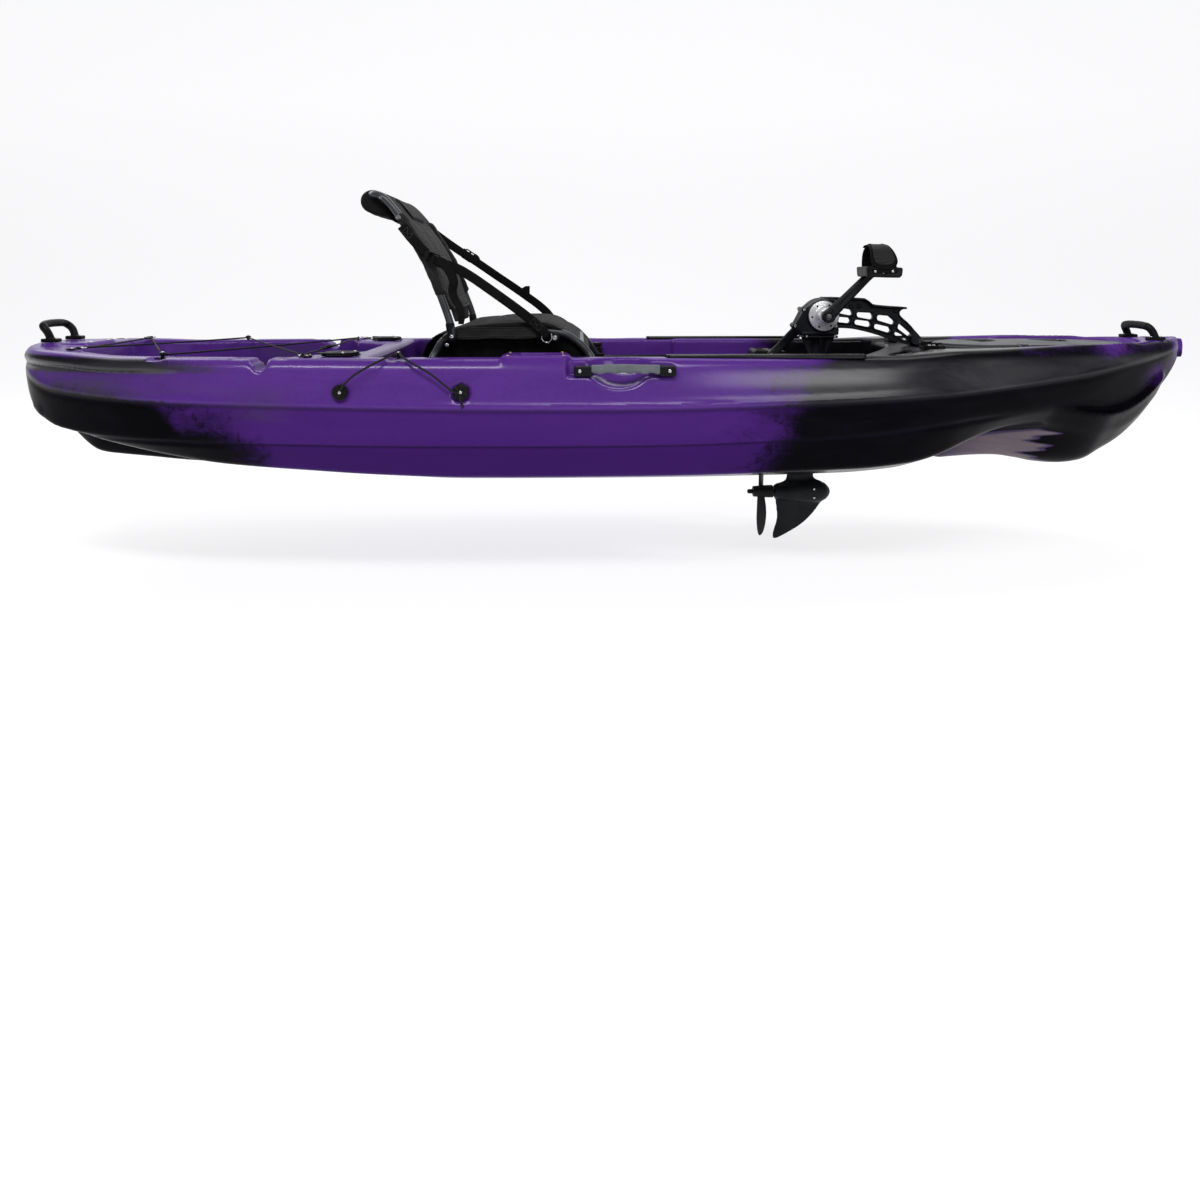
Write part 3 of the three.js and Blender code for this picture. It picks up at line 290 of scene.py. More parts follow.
def strap_section(w, t, k=3):
    """Flat webbing section w wide with round edges."""
    h, r = w / 2, t / 2
    pts = []
    for i in range(k + 1):
        a = -math.pi / 2 + math.pi * i / k
        pts.append((h - r + r * math.cos(a), r * math.sin(a)))
    for i in range(k + 1):
        a = math.pi / 2 + math.pi * i / k
        pts.append((-h + r + r * math.cos(a), r * math.sin(a)))
    return pts


def round_outline(pts, r, n=5):
    """Rounds the corners of a plan outline with arcs of about radius r. r may be a list, one for each corner."""
    pts = [np.array(p[:2], float) for p in pts]
    m = len(pts)
    rs = r if isinstance(r, (list, tuple)) else [r] * m
    out = []
    for i in range(m):
        a, b, c = pts[i - 1], pts[i], pts[(i + 1) % m]
        u, v = a - b, c - b
        lu, lv = np.linalg.norm(u), np.linalg.norm(v)
        u, v = u / lu, v / lv
        ang = math.acos(max(-1, min(1, float(u @ v))))
        if ang > math.radians(176) or rs[i] <= 0:
            out.append(b)
            continue
        d = min(rs[i] / math.tan(ang / 2), lu * 0.48, lv * 0.48)
        rr = d * math.tan(ang / 2)
        mid = (u + v) / np.linalg.norm(u + v)
        ctr = b + mid * (rr / math.sin(ang / 2))
        p0, p1 = b + u * d - ctr, b + v * d - ctr
        a0, a1 = math.atan2(p0[1], p0[0]), math.atan2(p1[1], p1[0])
        da = (a1 - a0 + math.pi) % (2 * math.pi) - math.pi
        for k in range(n + 1):
            t = a0 + da * k / n
            out.append(ctr + rr * np.array([math.cos(t), math.sin(t)]))
    return [tuple(p) for p in out]


def plate(name, outline, z0, z1, bevel=0.0, segments=3, holes=(), axis="Z"):
    """A flat plate over an outline, with holes, its edges rounded. axis Y: outline is in X and Z, z0..z1 along Y."""
    def tri(loops):
        from mathutils.geometry import tessellate_polygon
        flat = [Vector((p[0], p[1], 0)) for lp in loops for p in lp]
        return flat, tessellate_polygon([[Vector((p[0], p[1], 0)) for p in lp] for lp in loops])

    loops = [list(outline)] + [list(h) for h in holes]
    flat, tris = tri(loops)
    n = len(flat)
    verts = [(v.x, v.y, z0) for v in flat] + [(v.x, v.y, z1) for v in flat]
    faces = [tuple(reversed(t)) for t in tris] + [tuple(i + n for i in t) for t in tris]
    at = 0
    for lp in loops:
        k = len(lp)
        for i in range(k):
            a, b = at + i, at + (i + 1) % k
            faces.append((a, b, b + n, a + n))
        at += k
    if axis == "Y":
        verts = [(x, z, y) for x, y, z in verts]
    elif axis == "X":
        verts = [(z, x, y) for x, y, z in verts]
    m = mesh_from(name, verts, faces, False)
    o = new_object(name, m)
    bm = bmesh.new()
    bm.from_mesh(m)
    bmesh.ops.remove_doubles(bm, verts=bm.verts, dist=1e-6)
    bmesh.ops.recalc_face_normals(bm, faces=bm.faces)
    bmesh.ops.dissolve_limit(bm, angle_limit=math.radians(0.5), verts=bm.verts, edges=bm.edges)
    bm.to_mesh(m)
    bm.free()
    if bevel:
        bevelled(o, bevel, segments, 40)
    return shade(o, 40)


def circle(cx, cy, r, n=48, ry=None):
    ry = r if ry is None else ry
    return [(cx + r * math.cos(2 * math.pi * i / n), cy + ry * math.sin(2 * math.pi * i / n)) for i in range(n)]


def lathe(name, profile, n=48, origin=(0, 0, 0), axis=(0, 0, 1)):
    """Turned piece: profile rows are (radius, along the axis)."""
    q = Vector((0, 0, 1)).rotation_difference(Vector(axis)).to_matrix()
    prof = [tuple(map(float, p)) for p in profile]
    verts, faces, uv = [], [], []
    k = len(prof)
    for i in range(n):
        a = 2 * math.pi * i / n
        for j, (r, z) in enumerate(prof):
            v = q @ Vector((r * math.cos(a), r * math.sin(a), z)) + Vector(origin)
            verts.append(tuple(v))
            uv.append((r * a, z))
    for i in range(n):
        j = (i + 1) % n
        for q2 in range(k - 1):
            faces.append((i * k + q2, j * k + q2, j * k + q2 + 1, i * k + q2 + 1))
    m = mesh_from(name, verts, faces, True, uv)
    o = new_object(name, m)
    bm = bmesh.new()
    bm.from_mesh(m)
    bmesh.ops.remove_doubles(bm, verts=bm.verts, dist=1e-6)
    bmesh.ops.dissolve_degenerate(bm, dist=1e-7, edges=bm.edges)
    holes = [e for e in bm.edges if len(e.link_faces) == 1]
    if holes:
        bmesh.ops.holes_fill(bm, edges=holes, sides=0)
    bmesh.ops.recalc_face_normals(bm, faces=bm.faces)
    bm.to_mesh(m)
    bm.free()
    return shade(o, 38)


def joined(name, objs):
    """One mesh object from several, keeping their materials."""
    bpy.context.view_layer.update()
    base = bmesh.new()
    mats = []
    uvl = None
    for o in objs:
        me = o.data.copy()
        me.transform(o.matrix_world)
        index = []
        for s in (o.data.materials or [None]):
            if s not in mats:
                mats.append(s)
            index.append(mats.index(s))
        for p in me.polygons:
            p.material_index = index[min(p.material_index, len(index) - 1)] if index else 0
        base.from_mesh(me)
        bpy.data.meshes.remove(me)
    m = bpy.data.meshes.new(name)
    base.to_mesh(m)
    base.free()
    for s in mats:
        m.materials.append(s)
    for o in objs:
        d = o.data
        bpy.data.objects.remove(o)
        if d.users == 0:
            bpy.data.meshes.remove(d)
    return new_object(name, m)


def place(o, loc=(0, 0, 0), rot=None):
    mt = Matrix.Translation(Vector(loc))
    if rot is not None:
        mt = mt @ rot.to_4x4()
    o.data.transform(mt)
    return o


# ---------------------------------------------------------------- shapes as distance fields, in millimetres
def smin(a, b, k):
    h = np.maximum(k - np.abs(a - b), 0) / k
    return np.minimum(a, b) - h * h * (k * 0.25)


def smax(a, b, k):
    return -smin(-a, -b, k)


def sstep(x, a, b):
    t = np.clip((x - a) / (b - a), 0, 1)
    return t * t * (3 - 2 * t)


def pchip(rows, x):
    """Smooth curve through table rows that never overshoots them."""
    xs, ys = np.array([r[0] for r in rows], float), np.array([r[1] for r in rows], float)
    h = np.diff(xs)
    d = np.diff(ys) / h
    m = np.zeros(len(xs))
    for i in range(1, len(xs) - 1):
        if d[i - 1] * d[i] > 0:
            w1, w2 = 2 * h[i] + h[i - 1], h[i] + 2 * h[i - 1]
            m[i] = (w1 + w2) / (w1 / d[i - 1] + w2 / d[i])
    m[0], m[-1] = d[0], d[-1]
    x = np.clip(np.asarray(x, float), xs[0], xs[-1])
    i = np.clip(np.searchsorted(xs, x) - 1, 0, len(h) - 1)
    t = (x - xs[i]) / h[i]
    return ((2 * t ** 3 - 3 * t ** 2 + 1) * ys[i] + (t ** 3 - 2 * t ** 2 + t) * h[i] * m[i] + (-2 * t ** 3 + 3 * t ** 2) * ys[i + 1] + (t ** 3 - t ** 2) * h[i] * m[i + 1])


def poly2(px, py, pts):
    """Signed distance to a closed outline, below 0 inside."""
    pts = np.asarray(pts, float)
    px, py = np.broadcast_arrays(np.asarray(px, np.float32), np.asarray(py, np.float32))
    best = np.full(px.shape, 1e12, np.float32)
    inside = np.zeros(px.shape, bool)
    n = len(pts)
    for i in range(n):
        ax, ay = pts[i]
        bx, by = pts[(i + 1) % n]
        ex, ey = bx - ax, by - ay
        wx, wy = px - ax, py - ay
        t = np.clip((wx * ex + wy * ey) / (ex * ex + ey * ey + 1e-12), 0, 1)
        dx, dy = wx - ex * t, wy - ey * t
        best = np.minimum(best, dx * dx + dy * dy)
        if ay != by:
            c = ((ay > py) != (by > py)) & (px < (bx - ax) * (py - ay) / (by - ay) + ax)
            inside ^= c
    d = np.sqrt(best)
    return np.where(inside, -d, d).astype(np.float32)


def chaikin(pts, n=2, cut=0.25):
    p = np.asarray(pts, float)
    for _ in range(n):
        q = np.roll(p, -1, 0)
        p = np.stack([p * (1 - cut) + q * cut, p * cut + q * (1 - cut)], 1).reshape(-1, 2)
    return p


def sd_box(X, Y, Z, c, h, r=0.0):
    qx, qy, qz = np.abs(X - c[0]) - (h[0] - r), np.abs(Y - c[1]) - (h[1] - r), np.abs(Z - c[2]) - (h[2] - r)
    out = np.sqrt(np.maximum(qx, 0) ** 2 + np.maximum(qy, 0) ** 2 + np.maximum(qz, 0) ** 2)
    return out + np.minimum(np.maximum(qx, np.maximum(qy, qz)), 0) - r


def sd_seg(X, Y, Z, a, b, r, r2=None):
    """Rod with ball ends, its radius going from r to r2."""
    a, b = np.asarray(a, float), np.asarray(b, float)
    d = b - a
    t = np.clip(((X - a[0]) * d[0] + (Y - a[1]) * d[1] + (Z - a[2]) * d[2]) / (d @ d), 0, 1)
    dist = np.sqrt((X - a[0] - d[0] * t) ** 2 + (Y - a[1] - d[1] * t) ** 2 + (Z - a[2] - d[2] * t) ** 2)
    return dist - (r if r2 is None else r + (r2 - r) * t)


def sd_rod(X, Y, Z, a, b, r, e=0.0):
    """Rod with flat ends; e rounds the rims."""
    a, b = np.asarray(a, float), np.asarray(b, float)
    d = b - a
    L = float(np.linalg.norm(d))
    d /= L
    t = (X - a[0]) * d[0] + (Y - a[1]) * d[1] + (Z - a[2]) * d[2]
    rad = np.sqrt(np.maximum((X - a[0]) ** 2 + (Y - a[1]) ** 2 + (Z - a[2]) ** 2 - t * t, 0)) - (r - e)
    end = np.abs(t - L / 2) - (L / 2 - e)
    return np.minimum(np.maximum(rad, end), 0) + np.sqrt(np.maximum(rad, 0) ** 2 + np.maximum(end, 0) ** 2) - e


def extrude(d2, t, half, r=0.0):
    """A 2D distance made into a slab |t| < half with rounded edges."""
    a, b = d2 + r, np.abs(t) - (half - r)
    return np.minimum(np.maximum(a, b), 0) + np.sqrt(np.maximum(a, 0) ** 2 + np.maximum(b, 0) ** 2) - r


def nets(f, lo, step, project=2, relax=1):
    """Closed quad mesh of the zero level of f sampled on a grid."""
    s = f < 0
    c = s.astype(np.uint8)
    cnt = c[:-1, :-1, :-1] + c[1:, :-1, :-1] + c[:-1, 1:, :-1] + c[:-1, :-1, 1:] + c[1:, 1:, :-1] + c[1:, :-1, 1:] + c[:-1, 1:, 1:] + c[1:, 1:, 1:]
    active = (cnt > 0) & (cnt < 8)
    i, j, k = np.nonzero(active)
    idx = np.full(active.shape, -1, np.int32)
    idx[i, j, k] = np.arange(len(i), dtype=np.int32)
    pos = np.zeros((len(i), 3))
    w = np.zeros(len(i))
    corners = [(a, b, d) for a in (0, 1) for b in (0, 1) for d in (0, 1)]
    for p in corners:
        for ax in range(3):
            if p[ax]:
                continue
            q = list(p)
            q[ax] = 1
            fa, fb = f[i + p[0], j + p[1], k + p[2]], f[i + q[0], j + q[1], k + q[2]]
            m = (fa < 0) != (fb < 0)
            t = np.where(m, fa / np.where(m, fa - fb, 1), 0)
            e = np.tile(np.array(p, float), (len(i), 1))
            e[:, ax] = t
            pos[m] += e[m]
            w[m] += 1
    pos = pos / w[:, None] + np.stack([i, j, k], 1)
    quads = []
    for ax in range(3):
        sl0, sl1 = [slice(None)] * 3, [slice(None)] * 3
        sl0[ax], sl1[ax] = slice(None, -1), slice(1, None)
        a0, a1 = s[tuple(sl0)], s[tuple(sl1)]
        cross = a0 != a1
        u, v = (ax + 1) % 3, (ax + 2) % 3
        edge = [slice(None)] * 3
        edge[u] = slice(1, -1)
        edge[v] = slice(1, -1)
        g = np.nonzero(cross[tuple(edge)])
        g = [x.copy() for x in g]
        g[u] += 1
        g[v] += 1
        cells = []
        for du, dv in ((1, 1), (0, 1), (0, 0), (1, 0)):
            h = [x.copy() for x in g]
            h[u] -= du
            h[v] -= dv
            cells.append(idx[h[0], h[1], h[2]])
        quad = np.stack(cells, 1)
        flip = ~a0[g[0], g[1], g[2]]
        quad[flip] = quad[flip][:, ::-1]
        quads.append(quad)
    quads = np.vstack(quads)

    def sample(p):
        b = np.clip(np.floor(p).astype(int), 0, np.array(f.shape) - 2)
        t = p - b
        out = 0
        for a in (0, 1):
            for bb in (0, 1):
                for d in (0, 1):
                    wt = (t[:, 0] if a else 1 - t[:, 0]) * (t[:, 1] if bb else 1 - t[:, 1]) * (t[:, 2] if d else 1 - t[:, 2])
                    out = out + wt * f[b[:, 0] + a, b[:, 1] + bb, b[:, 2] + d]
        return out

    for _ in range(relax):
        acc, num = np.zeros_like(pos), np.zeros(len(pos))
        for a, b in ((0, 1), (1, 2), (2, 3), (3, 0)):
            for x in range(3):
                acc[:, x] += np.bincount(quads[:, a], pos[quads[:, b], x], len(pos)) + np.bincount(quads[:, b], pos[quads[:, a], x], len(pos))
            num += np.bincount(quads[:, a], minlength=len(pos)) + np.bincount(quads[:, b], minlength=len(pos))
        pos = pos * 0.35 + acc / np.maximum(num, 1)[:, None] * 0.65
        for _ in range(project):
            val = sample(pos)
            e = 0.35
            g = np.stack([(sample(pos + d) - sample(pos - d)) / (2 * e) for d in (np.array([e, 0, 0]), np.array([0, e, 0]), np.array([0, 0, e]))], 1)
            n2 = np.maximum((g * g).sum(1), 1e-6)
            move = np.clip(val / n2, -1e3, 1e3)[:, None] * g
            ln = np.maximum(np.linalg.norm(move, axis=1), 1e-9)
            pos = pos - move * np.minimum(1, 0.5 / ln)[:, None]
    return np.asarray(lo, float) + pos * step, quads


def field_mesh(name, fn, lo, hi, step, relax=1, project=2):
    """Mesh object of a distance field given in millimetres."""
    lo, hi = np.asarray(lo, float), np.asarray(hi, float)
    ax = [np.arange(lo[d], hi[d] + step, step).astype(np.float32) for d in range(3)]
    X, Y, Z = ax[0][:, None, None], ax[1][None, :, None], ax[2][None, None, :]
    f = np.asarray(fn(X, Y, Z), np.float32)
    f = np.broadcast_to(f, (len(ax[0]), len(ax[1]), len(ax[2]))).copy()
    for d in range(3):
        sl = [slice(None)] * 3
        for e in (0, -1):
            sl[d] = e
            f[tuple(sl)] = np.maximum(f[tuple(sl)], step * 0.4)
            sl[d] = slice(None)
    v, q = nets(f, lo, step, project, relax)
    return new_object(name, mesh_from(name, v * 0.001, q.astype(np.int32), True))


# ---------------------------------------------------------------- materials
class Mat:
    """A node material under one principled shader."""

    def __init__(self, name, color=(0.5, 0.5, 0.5), rough=0.5, metal=0.0, spec=None, coat=0.0, coat_rough=None, sheen=0.0, sheen_rough=None):
        self.m = bpy.data.materials.new(name)
        self.m.use_nodes = True
        self.nt = self.m.node_tree
        self.b = self.nt.nodes["Principled BSDF"]
        self.b.inputs["Base Color"].default_value = (*color, 1)
        self.b.inputs["Roughness"].default_value = rough
        self.b.inputs["Metallic"].default_value = metal
        if spec is not None:
            self.b.inputs["Specular IOR Level"].default_value = spec
        if coat:
            self.b.inputs["Coat Weight"].default_value = coat
        if coat_rough is not None:
            self.b.inputs["Coat Roughness"].default_value = coat_rough
        if sheen:
            self.b.inputs["Sheen Weight"].default_value = sheen
        if sheen_rough is not None:
            self.b.inputs["Sheen Roughness"].default_value = sheen_rough
        self._obj = None

    def n(self, kind, **props):
        node = self.nt.nodes.new("ShaderNode" + kind)
        ins = props.pop("ins", {})
        for k, v in props.items():
            setattr(node, k, v)
        for k, v in ins.items():
            self.put(node.inputs[k], v)
        return node

    def put(self, socket, v):
        if isinstance(v, bpy.types.NodeSocket):
            self.nt.links.new(v, socket)
        elif isinstance(v, (tuple, list)) and len(v) == 3 and socket.type == "RGBA":
            socket.default_value = (*v, 1)
        else:
            socket.default_value = v

    @property
    def obj(self):
        if self._obj is None:
            self._obj = self.n("TexCoord").outputs["Object"]
        return self._obj

    def uv(self):
        return self.n("UVMap").outputs["UV"]

    def scaled(self, vec, s):
        return self.n("Mapping", ins={"Vector": vec, "Scale": s if isinstance(s, (tuple, list)) else (s, s, s)}).outputs[0]

    def noise(self, scale, detail=3, rough=0.55, vec=None, dist=0.0):
        return self.n("TexNoise", ins={"Vector": vec or self.obj, "Scale": scale, "Detail": detail, "Roughness": rough, "Distortion": dist}).outputs["Fac"]

    def voronoi(self, scale, vec=None, feature="F1", out="Distance"):
        return self.n("TexVoronoi", feature=feature, ins={"Vector": vec or self.obj, "Scale": scale}).outputs[out]

    def math(self, op, a, b=0.0, c=None, clamp=False):
        node = self.n("Math", operation=op, use_clamp=clamp)
        self.put(node.inputs[0], a)
        self.put(node.inputs[1], b)
        if c is not None:
            self.put(node.inputs[2], c)
        return node.outputs[0]

    def map(self, v, a, b, c=0.0, d=1.0, smooth=False):
        node = self.n("MapRange", clamp=True, interpolation_type="SMOOTHSTEP" if smooth else "LINEAR", ins={"Value": v, "From Min": a, "From Max": b, "To Min": c, "To Max": d})
        return node.outputs[0]

    def mix(self, f, a, b):
        node = self.n("Mix", data_type="RGBA")
        self.put(node.inputs[0], f)
        self.put(node.inputs[6], a)
        self.put(node.inputs[7], b)
        return node.outputs[2]

    def attr(self, name):
        return self.n("Attribute", attribute_name=name).outputs["Fac"]

    def xyz(self, vec=None):
        node = self.n("SeparateXYZ", ins={0: vec or self.obj})
        return node.outputs[0], node.outputs[1], node.outputs[2]

    def bump(self, height, strength=0.3, dist=0.001, normal=None):
        node = self.n("Bump", ins={"Height": height, "Strength": strength, "Distance": dist})
        if normal is not None:
            self.put(node.inputs["Normal"], normal)
        return node.outputs[0]

    def color(self, v):
        self.put(self.b.inputs["Base Color"], v)

    def rough(self, v):
        self.put(self.b.inputs["Roughness"], v)

    def normal(self, v):
        self.put(self.b.inputs["Normal"], v)


def paint(o, mat):
    m = mat.m if isinstance(mat, Mat) else mat
    o.data.materials.clear()
    o.data.materials.append(m)
    return o


# marbled hull: violet base, violet-grey haze and black pigment worked in the moulding, with painted shade low on the
# side, a painted sheen over the upper crease, painted shadow lines in the creases and a painted reflection low on the
# bow
hull_mat = Mat("hull_polyethylene", rough=0.27, spec=0.02, coat_rough=0.2)
def _():
    M = hull_mat
    big = M.noise(2.3, 4, 0.6, dist=0.5)
    mid = M.noise(9.0, 5, 0.62, M.scaled(M.obj, (0.55, 1.2, 1.6)), dist=1.1)
    fine = M.noise(75.0, 6, 0.75)
    grit = M.noise(340.0, 4, 0.8)
    streak = M.noise(5.0, 5, 0.65, M.scaled(M.obj, (0.5, 2.0, 3.2)), dist=0.6)
    dark, haze_and_reflection, outside, band = M.attr("dark"), M.attr("haze_and_reflection"), M.attr("outside"), M.attr("band")
    d = M.math("ADD", dark, M.math("MULTIPLY", M.math("SUBTRACT", mid, 0.5), 0.55))
    d = M.math("ADD", d, M.math("MULTIPLY", M.math("SUBTRACT", streak, 0.5), 0.45))
    d = M.math("ADD", d, M.math("MULTIPLY", M.math("SUBTRACT", big, 0.5), 0.30))
    d = M.math("ADD", d, M.math("MULTIPLY", M.math("SUBTRACT", fine, 0.5), 0.34))
    d = M.math("ADD", d, M.math("MULTIPLY", M.math("SUBTRACT", grit, 0.5), 0.26))
    # small flecks where the two pigments meet
    fleck = M.map(M.noise(26.0, 8, 0.78, dist=0.9), 0.53, 0.60)
    edge = M.math("MULTIPLY", M.map(d, 0.20, 0.5), M.map(d, 0.90, 0.6))
    d2 = M.math("ADD", d, M.math("MULTIPLY", M.math("MULTIPLY", fleck, edge), 0.18))
    dk = M.map(d2, 0.24, 0.88, smooth=True)
    h = M.math("ADD", haze_and_reflection, M.math("MULTIPLY", M.math("SUBTRACT", streak, 0.5), 0.8))
    h = M.math("ADD", h, M.math("MULTIPLY", M.math("SUBTRACT", grit, 0.5), 0.22))
    hz = M.map(h, 0.30, 0.82, smooth=True)
    violet = M.mix(M.map(streak, 0.3, 0.72), (0.072, 0.019, 0.196), (0.100, 0.028, 0.248))
    violet = M.mix(M.map(fine, 0.35, 0.75, 0.0, 0.25), violet, (0.125, 0.045, 0.29))
    # painted shade on the side, as if lit from above: below the upper crease the violet is darkened and the bilge under
    # the lower crease darker still, while the band over the upper crease keeps the lighter violet
    over = M.map(band, 0.98, 1.04)
    under = M.map(band, 0.02, -0.06)
    shade_mid = M.math("MULTIPLY", outside, M.math("SUBTRACT", 1.0, over))
    violet = M.mix(M.math("MULTIPLY", shade_mid, 0.62), violet, (0.046, 0.010, 0.128))
    violet = M.mix(M.math("MULTIPLY", M.math("MULTIPLY", outside, under), 0.60), violet, (0.030, 0.007, 0.088))
    greyed = M.mix(M.map(mid, 0.3, 0.7), (0.044, 0.034, 0.068), (0.068, 0.047, 0.110))
    c = M.mix(hz, violet, greyed)
    # painted reflection: where the haze value passes 1.1, pushed there by the painted reflection low on the bow, the
    # colour turns a pale pinkish grey
    c = M.mix(M.map(h, 1.1, 1.8), c, (0.165, 0.134, 0.150))
    black = M.mix(M.map(mid, 0.35, 0.75, 0.0, 0.55), (0.0014, 0.0013, 0.0022), (0.0058, 0.0048, 0.0090))
    deck = M.attr("deckgrey")
    black = M.mix(deck, black, (0.040, 0.037, 0.042))
    # painted sheen: over the upper crease the black is lightened to a streaked grey, where the rolled band would catch
    # the light
    painted_sheen_band = M.math("MULTIPLY", M.math("MULTIPLY", outside, over), 0.85)
    black = M.mix(painted_sheen_band, black, M.mix(M.map(streak, 0.35, 0.7), (0.015, 0.014, 0.019), (0.056, 0.056, 0.061)))
    c = M.mix(dk, c, black)
    # painted shadow: a thin dark line in the lower crease and under the upper one
    line = M.math("MULTIPLY", M.map(band, -0.055, -0.005), M.map(band, 0.055, 0.005))
    line = M.math("MULTIPLY", line, M.map(M.xyz()[0], 0.80, 1.0, 1.0, 0.0))
    line2 = M.math("MULTIPLY", M.map(band, 0.86, 0.93), M.map(band, 1.0, 0.96))
    mark = M.math("MULTIPLY", outside, M.math("MAXIMUM", M.math("MULTIPLY", line, 0.62), M.math("MULTIPLY", line2, 0.40)))
    c = M.mix(mark, c, (0.006, 0.0045, 0.012))
    M.color(c)
    well = M.attr("well")
    # the moulding shines on its rolled upper planes, the shaded underside stays flat
    shine = M.math("MULTIPLY", outside, M.map(band, 0.90, 1.25, 0.0, 0.75))
    shine = M.math("ADD", shine, M.math("MULTIPLY", M.math("SUBTRACT", 1.0, outside), M.map(well, 0, 1, 0.20, 0.05)), clamp=True)
    M.put(M.b.inputs["Coat Weight"], shine)
    r = M.math("ADD", M.map(well, 0, 1, 0.235, 0.47), M.math("MULTIPLY", M.math("SUBTRACT", M.noise(14, 5, 0.65), 0.5), 0.12))
    scratch = M.map(M.noise(70, 4, 0.7, M.scaled(M.obj, (0.10, 1, 1)), dist=0.3), 0.60, 0.74)
    r = M.math("ADD", r, M.math("MULTIPLY", scratch, 0.05), clamp=True)
    M.rough(r)
    peel = M.math("ADD", M.noise(150, 2, 0.5), M.math("MULTIPLY", M.noise(900, 2, 0.5), M.map(well, 0, 1, 0.15, 0.8)))
    wave = M.bump(M.noise(11, 2, 0.5), 0.35, 0.0035)
    M.normal(M.bump(peel, 0.16, 0.0008, wave))
_()

foam_mat = Mat("deck_foam_sheet", rough=0.88, spec=0.12)
def _():
    M = foam_mat
    cells = M.voronoi(1500)
    fine = M.noise(420, 4, 0.6)
    blot = M.noise(7, 4, 0.6)
    M.color(M.mix(M.map(blot, 0.35, 0.7), (0.0165, 0.0155, 0.0150), (0.0235, 0.0225, 0.0215)))
    M.rough(M.map(M.noise(30, 4, 0.6), 0.3, 0.7, 0.80, 0.95))
    M.normal(M.bump(M.math("ADD", cells, fine), 0.35, 0.0006))
_()

black_mat = Mat("moulded_nylon", rough=0.42, spec=0.10)
def _():
    M = black_mat
    grain = M.noise(850, 3, 0.55)
    smear = M.noise(24, 4, 0.6)
    M.color(M.mix(M.map(smear, 0.35, 0.7), (0.0048, 0.0050, 0.0056), (0.0100, 0.0104, 0.0112)))
    M.rough(M.map(M.noise(45, 4, 0.6), 0.3, 0.7, 0.34, 0.50))
    M.normal(M.bump(grain, 0.22, 0.0004))
_()

pebble_mat = Mat("pebbled_plate", rough=0.5, spec=0.10)
def _():
    M = pebble_mat
    cells = M.voronoi(620, feature="SMOOTH_F1")
    M.color(M.mix(M.map(M.noise(20, 4, 0.6), 0.35, 0.7), (0.0055, 0.0055, 0.0062), (0.0115, 0.0115, 0.0130)))
    M.rough(M.map(M.noise(60, 3, 0.6), 0.3, 0.7, 0.42, 0.58))
    M.normal(M.bump(cells, 0.6, 0.0009))
_()

cap_mat = Mat("cap_rubber", rough=0.5, spec=0.10)
def _():
    M = cap_mat
    M.color(M.mix(M.map(M.noise(30, 4, 0.6), 0.35, 0.7), (0.014, 0.0145, 0.0155), (0.026, 0.027, 0.029)))
    M.rough(M.map(M.noise(40, 4, 0.6), 0.3, 0.7, 0.42, 0.62))
    M.normal(M.bump(M.noise(700, 3, 0.6), 0.25, 0.0004))
_()

grip_mat = Mat("grip_rubber", rough=0.62, spec=0.35)
def _():
    M = grip_mat
    M.color(M.mix(M.map(M.noise(26, 4, 0.6), 0.35, 0.7), (0.098, 0.112, 0.122), (0.135, 0.150, 0.160)))
    M.rough(M.map(M.noise(60, 4, 0.6), 0.3, 0.7, 0.55, 0.72))
    M.normal(M.bump(M.noise(900, 3, 0.6), 0.25, 0.0004))
_()

hatch_mat = Mat("hatch_moulding", rough=0.5, spec=0.3)
def _():
    M = hatch_mat
    grain = M.math("ADD", M.noise(620, 3, 0.6), M.math("MULTIPLY", M.voronoi(900, feature="SMOOTH_F1"), 0.6))
    broad = M.noise(4.5, 4, 0.6)
    M.color(M.mix(M.map(broad, 0.3, 0.75), (0.050, 0.053, 0.059), (0.070, 0.074, 0.081)))
    M.rough(M.map(M.noise(12, 5, 0.65), 0.3, 0.72, 0.42, 0.56))
    M.normal(M.bump(grain, 0.28, 0.0005))
_()

track_mat = Mat("anodised_track", rough=0.38, metal=0.75)
def _():
    M = track_mat
    brush = M.noise(60, 4, 0.6, M.scaled(M.obj, (0.4, 26, 26)))
    M.color(M.mix(M.map(brush, 0.35, 0.7), (0.018, 0.0185, 0.020), (0.032, 0.033, 0.035)))
    M.rough(M.map(brush, 0.3, 0.7, 0.30, 0.46))
    M.normal(M.bump(brush, 0.12, 0.0003))
_()

casting_mat = Mat("powder_coat", rough=0.4, metal=0.0, spec=0.13)
def _():
    M = casting_mat
    peel = M.math("ADD", M.noise(420, 3, 0.55), M.math("MULTIPLY", M.noise(120, 2, 0.5), 0.6))
    M.color(M.mix(M.map(M.noise(18, 4, 0.6), 0.35, 0.7), (0.0050, 0.0056, 0.0072), (0.0110, 0.0122, 0.0146)))
    M.rough(M.map(M.noise(30, 5, 0.65), 0.3, 0.7, 0.32, 0.48))
    M.normal(M.bump(peel, 0.20, 0.0005))
_()

steel_mat = Mat("stainless_steel", color=(0.55, 0.55, 0.56), rough=0.24, metal=1.0)
def _():
    M = steel_mat
    v = M.noise(160, 4, 0.6)
    M.color(M.mix(M.map(v, 0.3, 0.7), (0.46, 0.46, 0.47), (0.62, 0.62, 0.63)))
    M.rough(M.map(M.noise(90, 4, 0.6), 0.3, 0.7, 0.17, 0.34))
    M.normal(M.bump(v, 0.08, 0.0003))
_()

dark_bolt_mat = Mat("blackened_bolt", color=(0.10, 0.10, 0.105), rough=0.3, metal=0.9)
def _():
    M = dark_bolt_mat
    M.color(M.mix(M.map(M.noise(200, 3, 0.6), 0.3, 0.7), (0.07, 0.07, 0.075), (0.15, 0.15, 0.155)))
    M.rough(M.map(M.noise(90, 3, 0.6), 0.3, 0.7, 0.24, 0.40))
_()

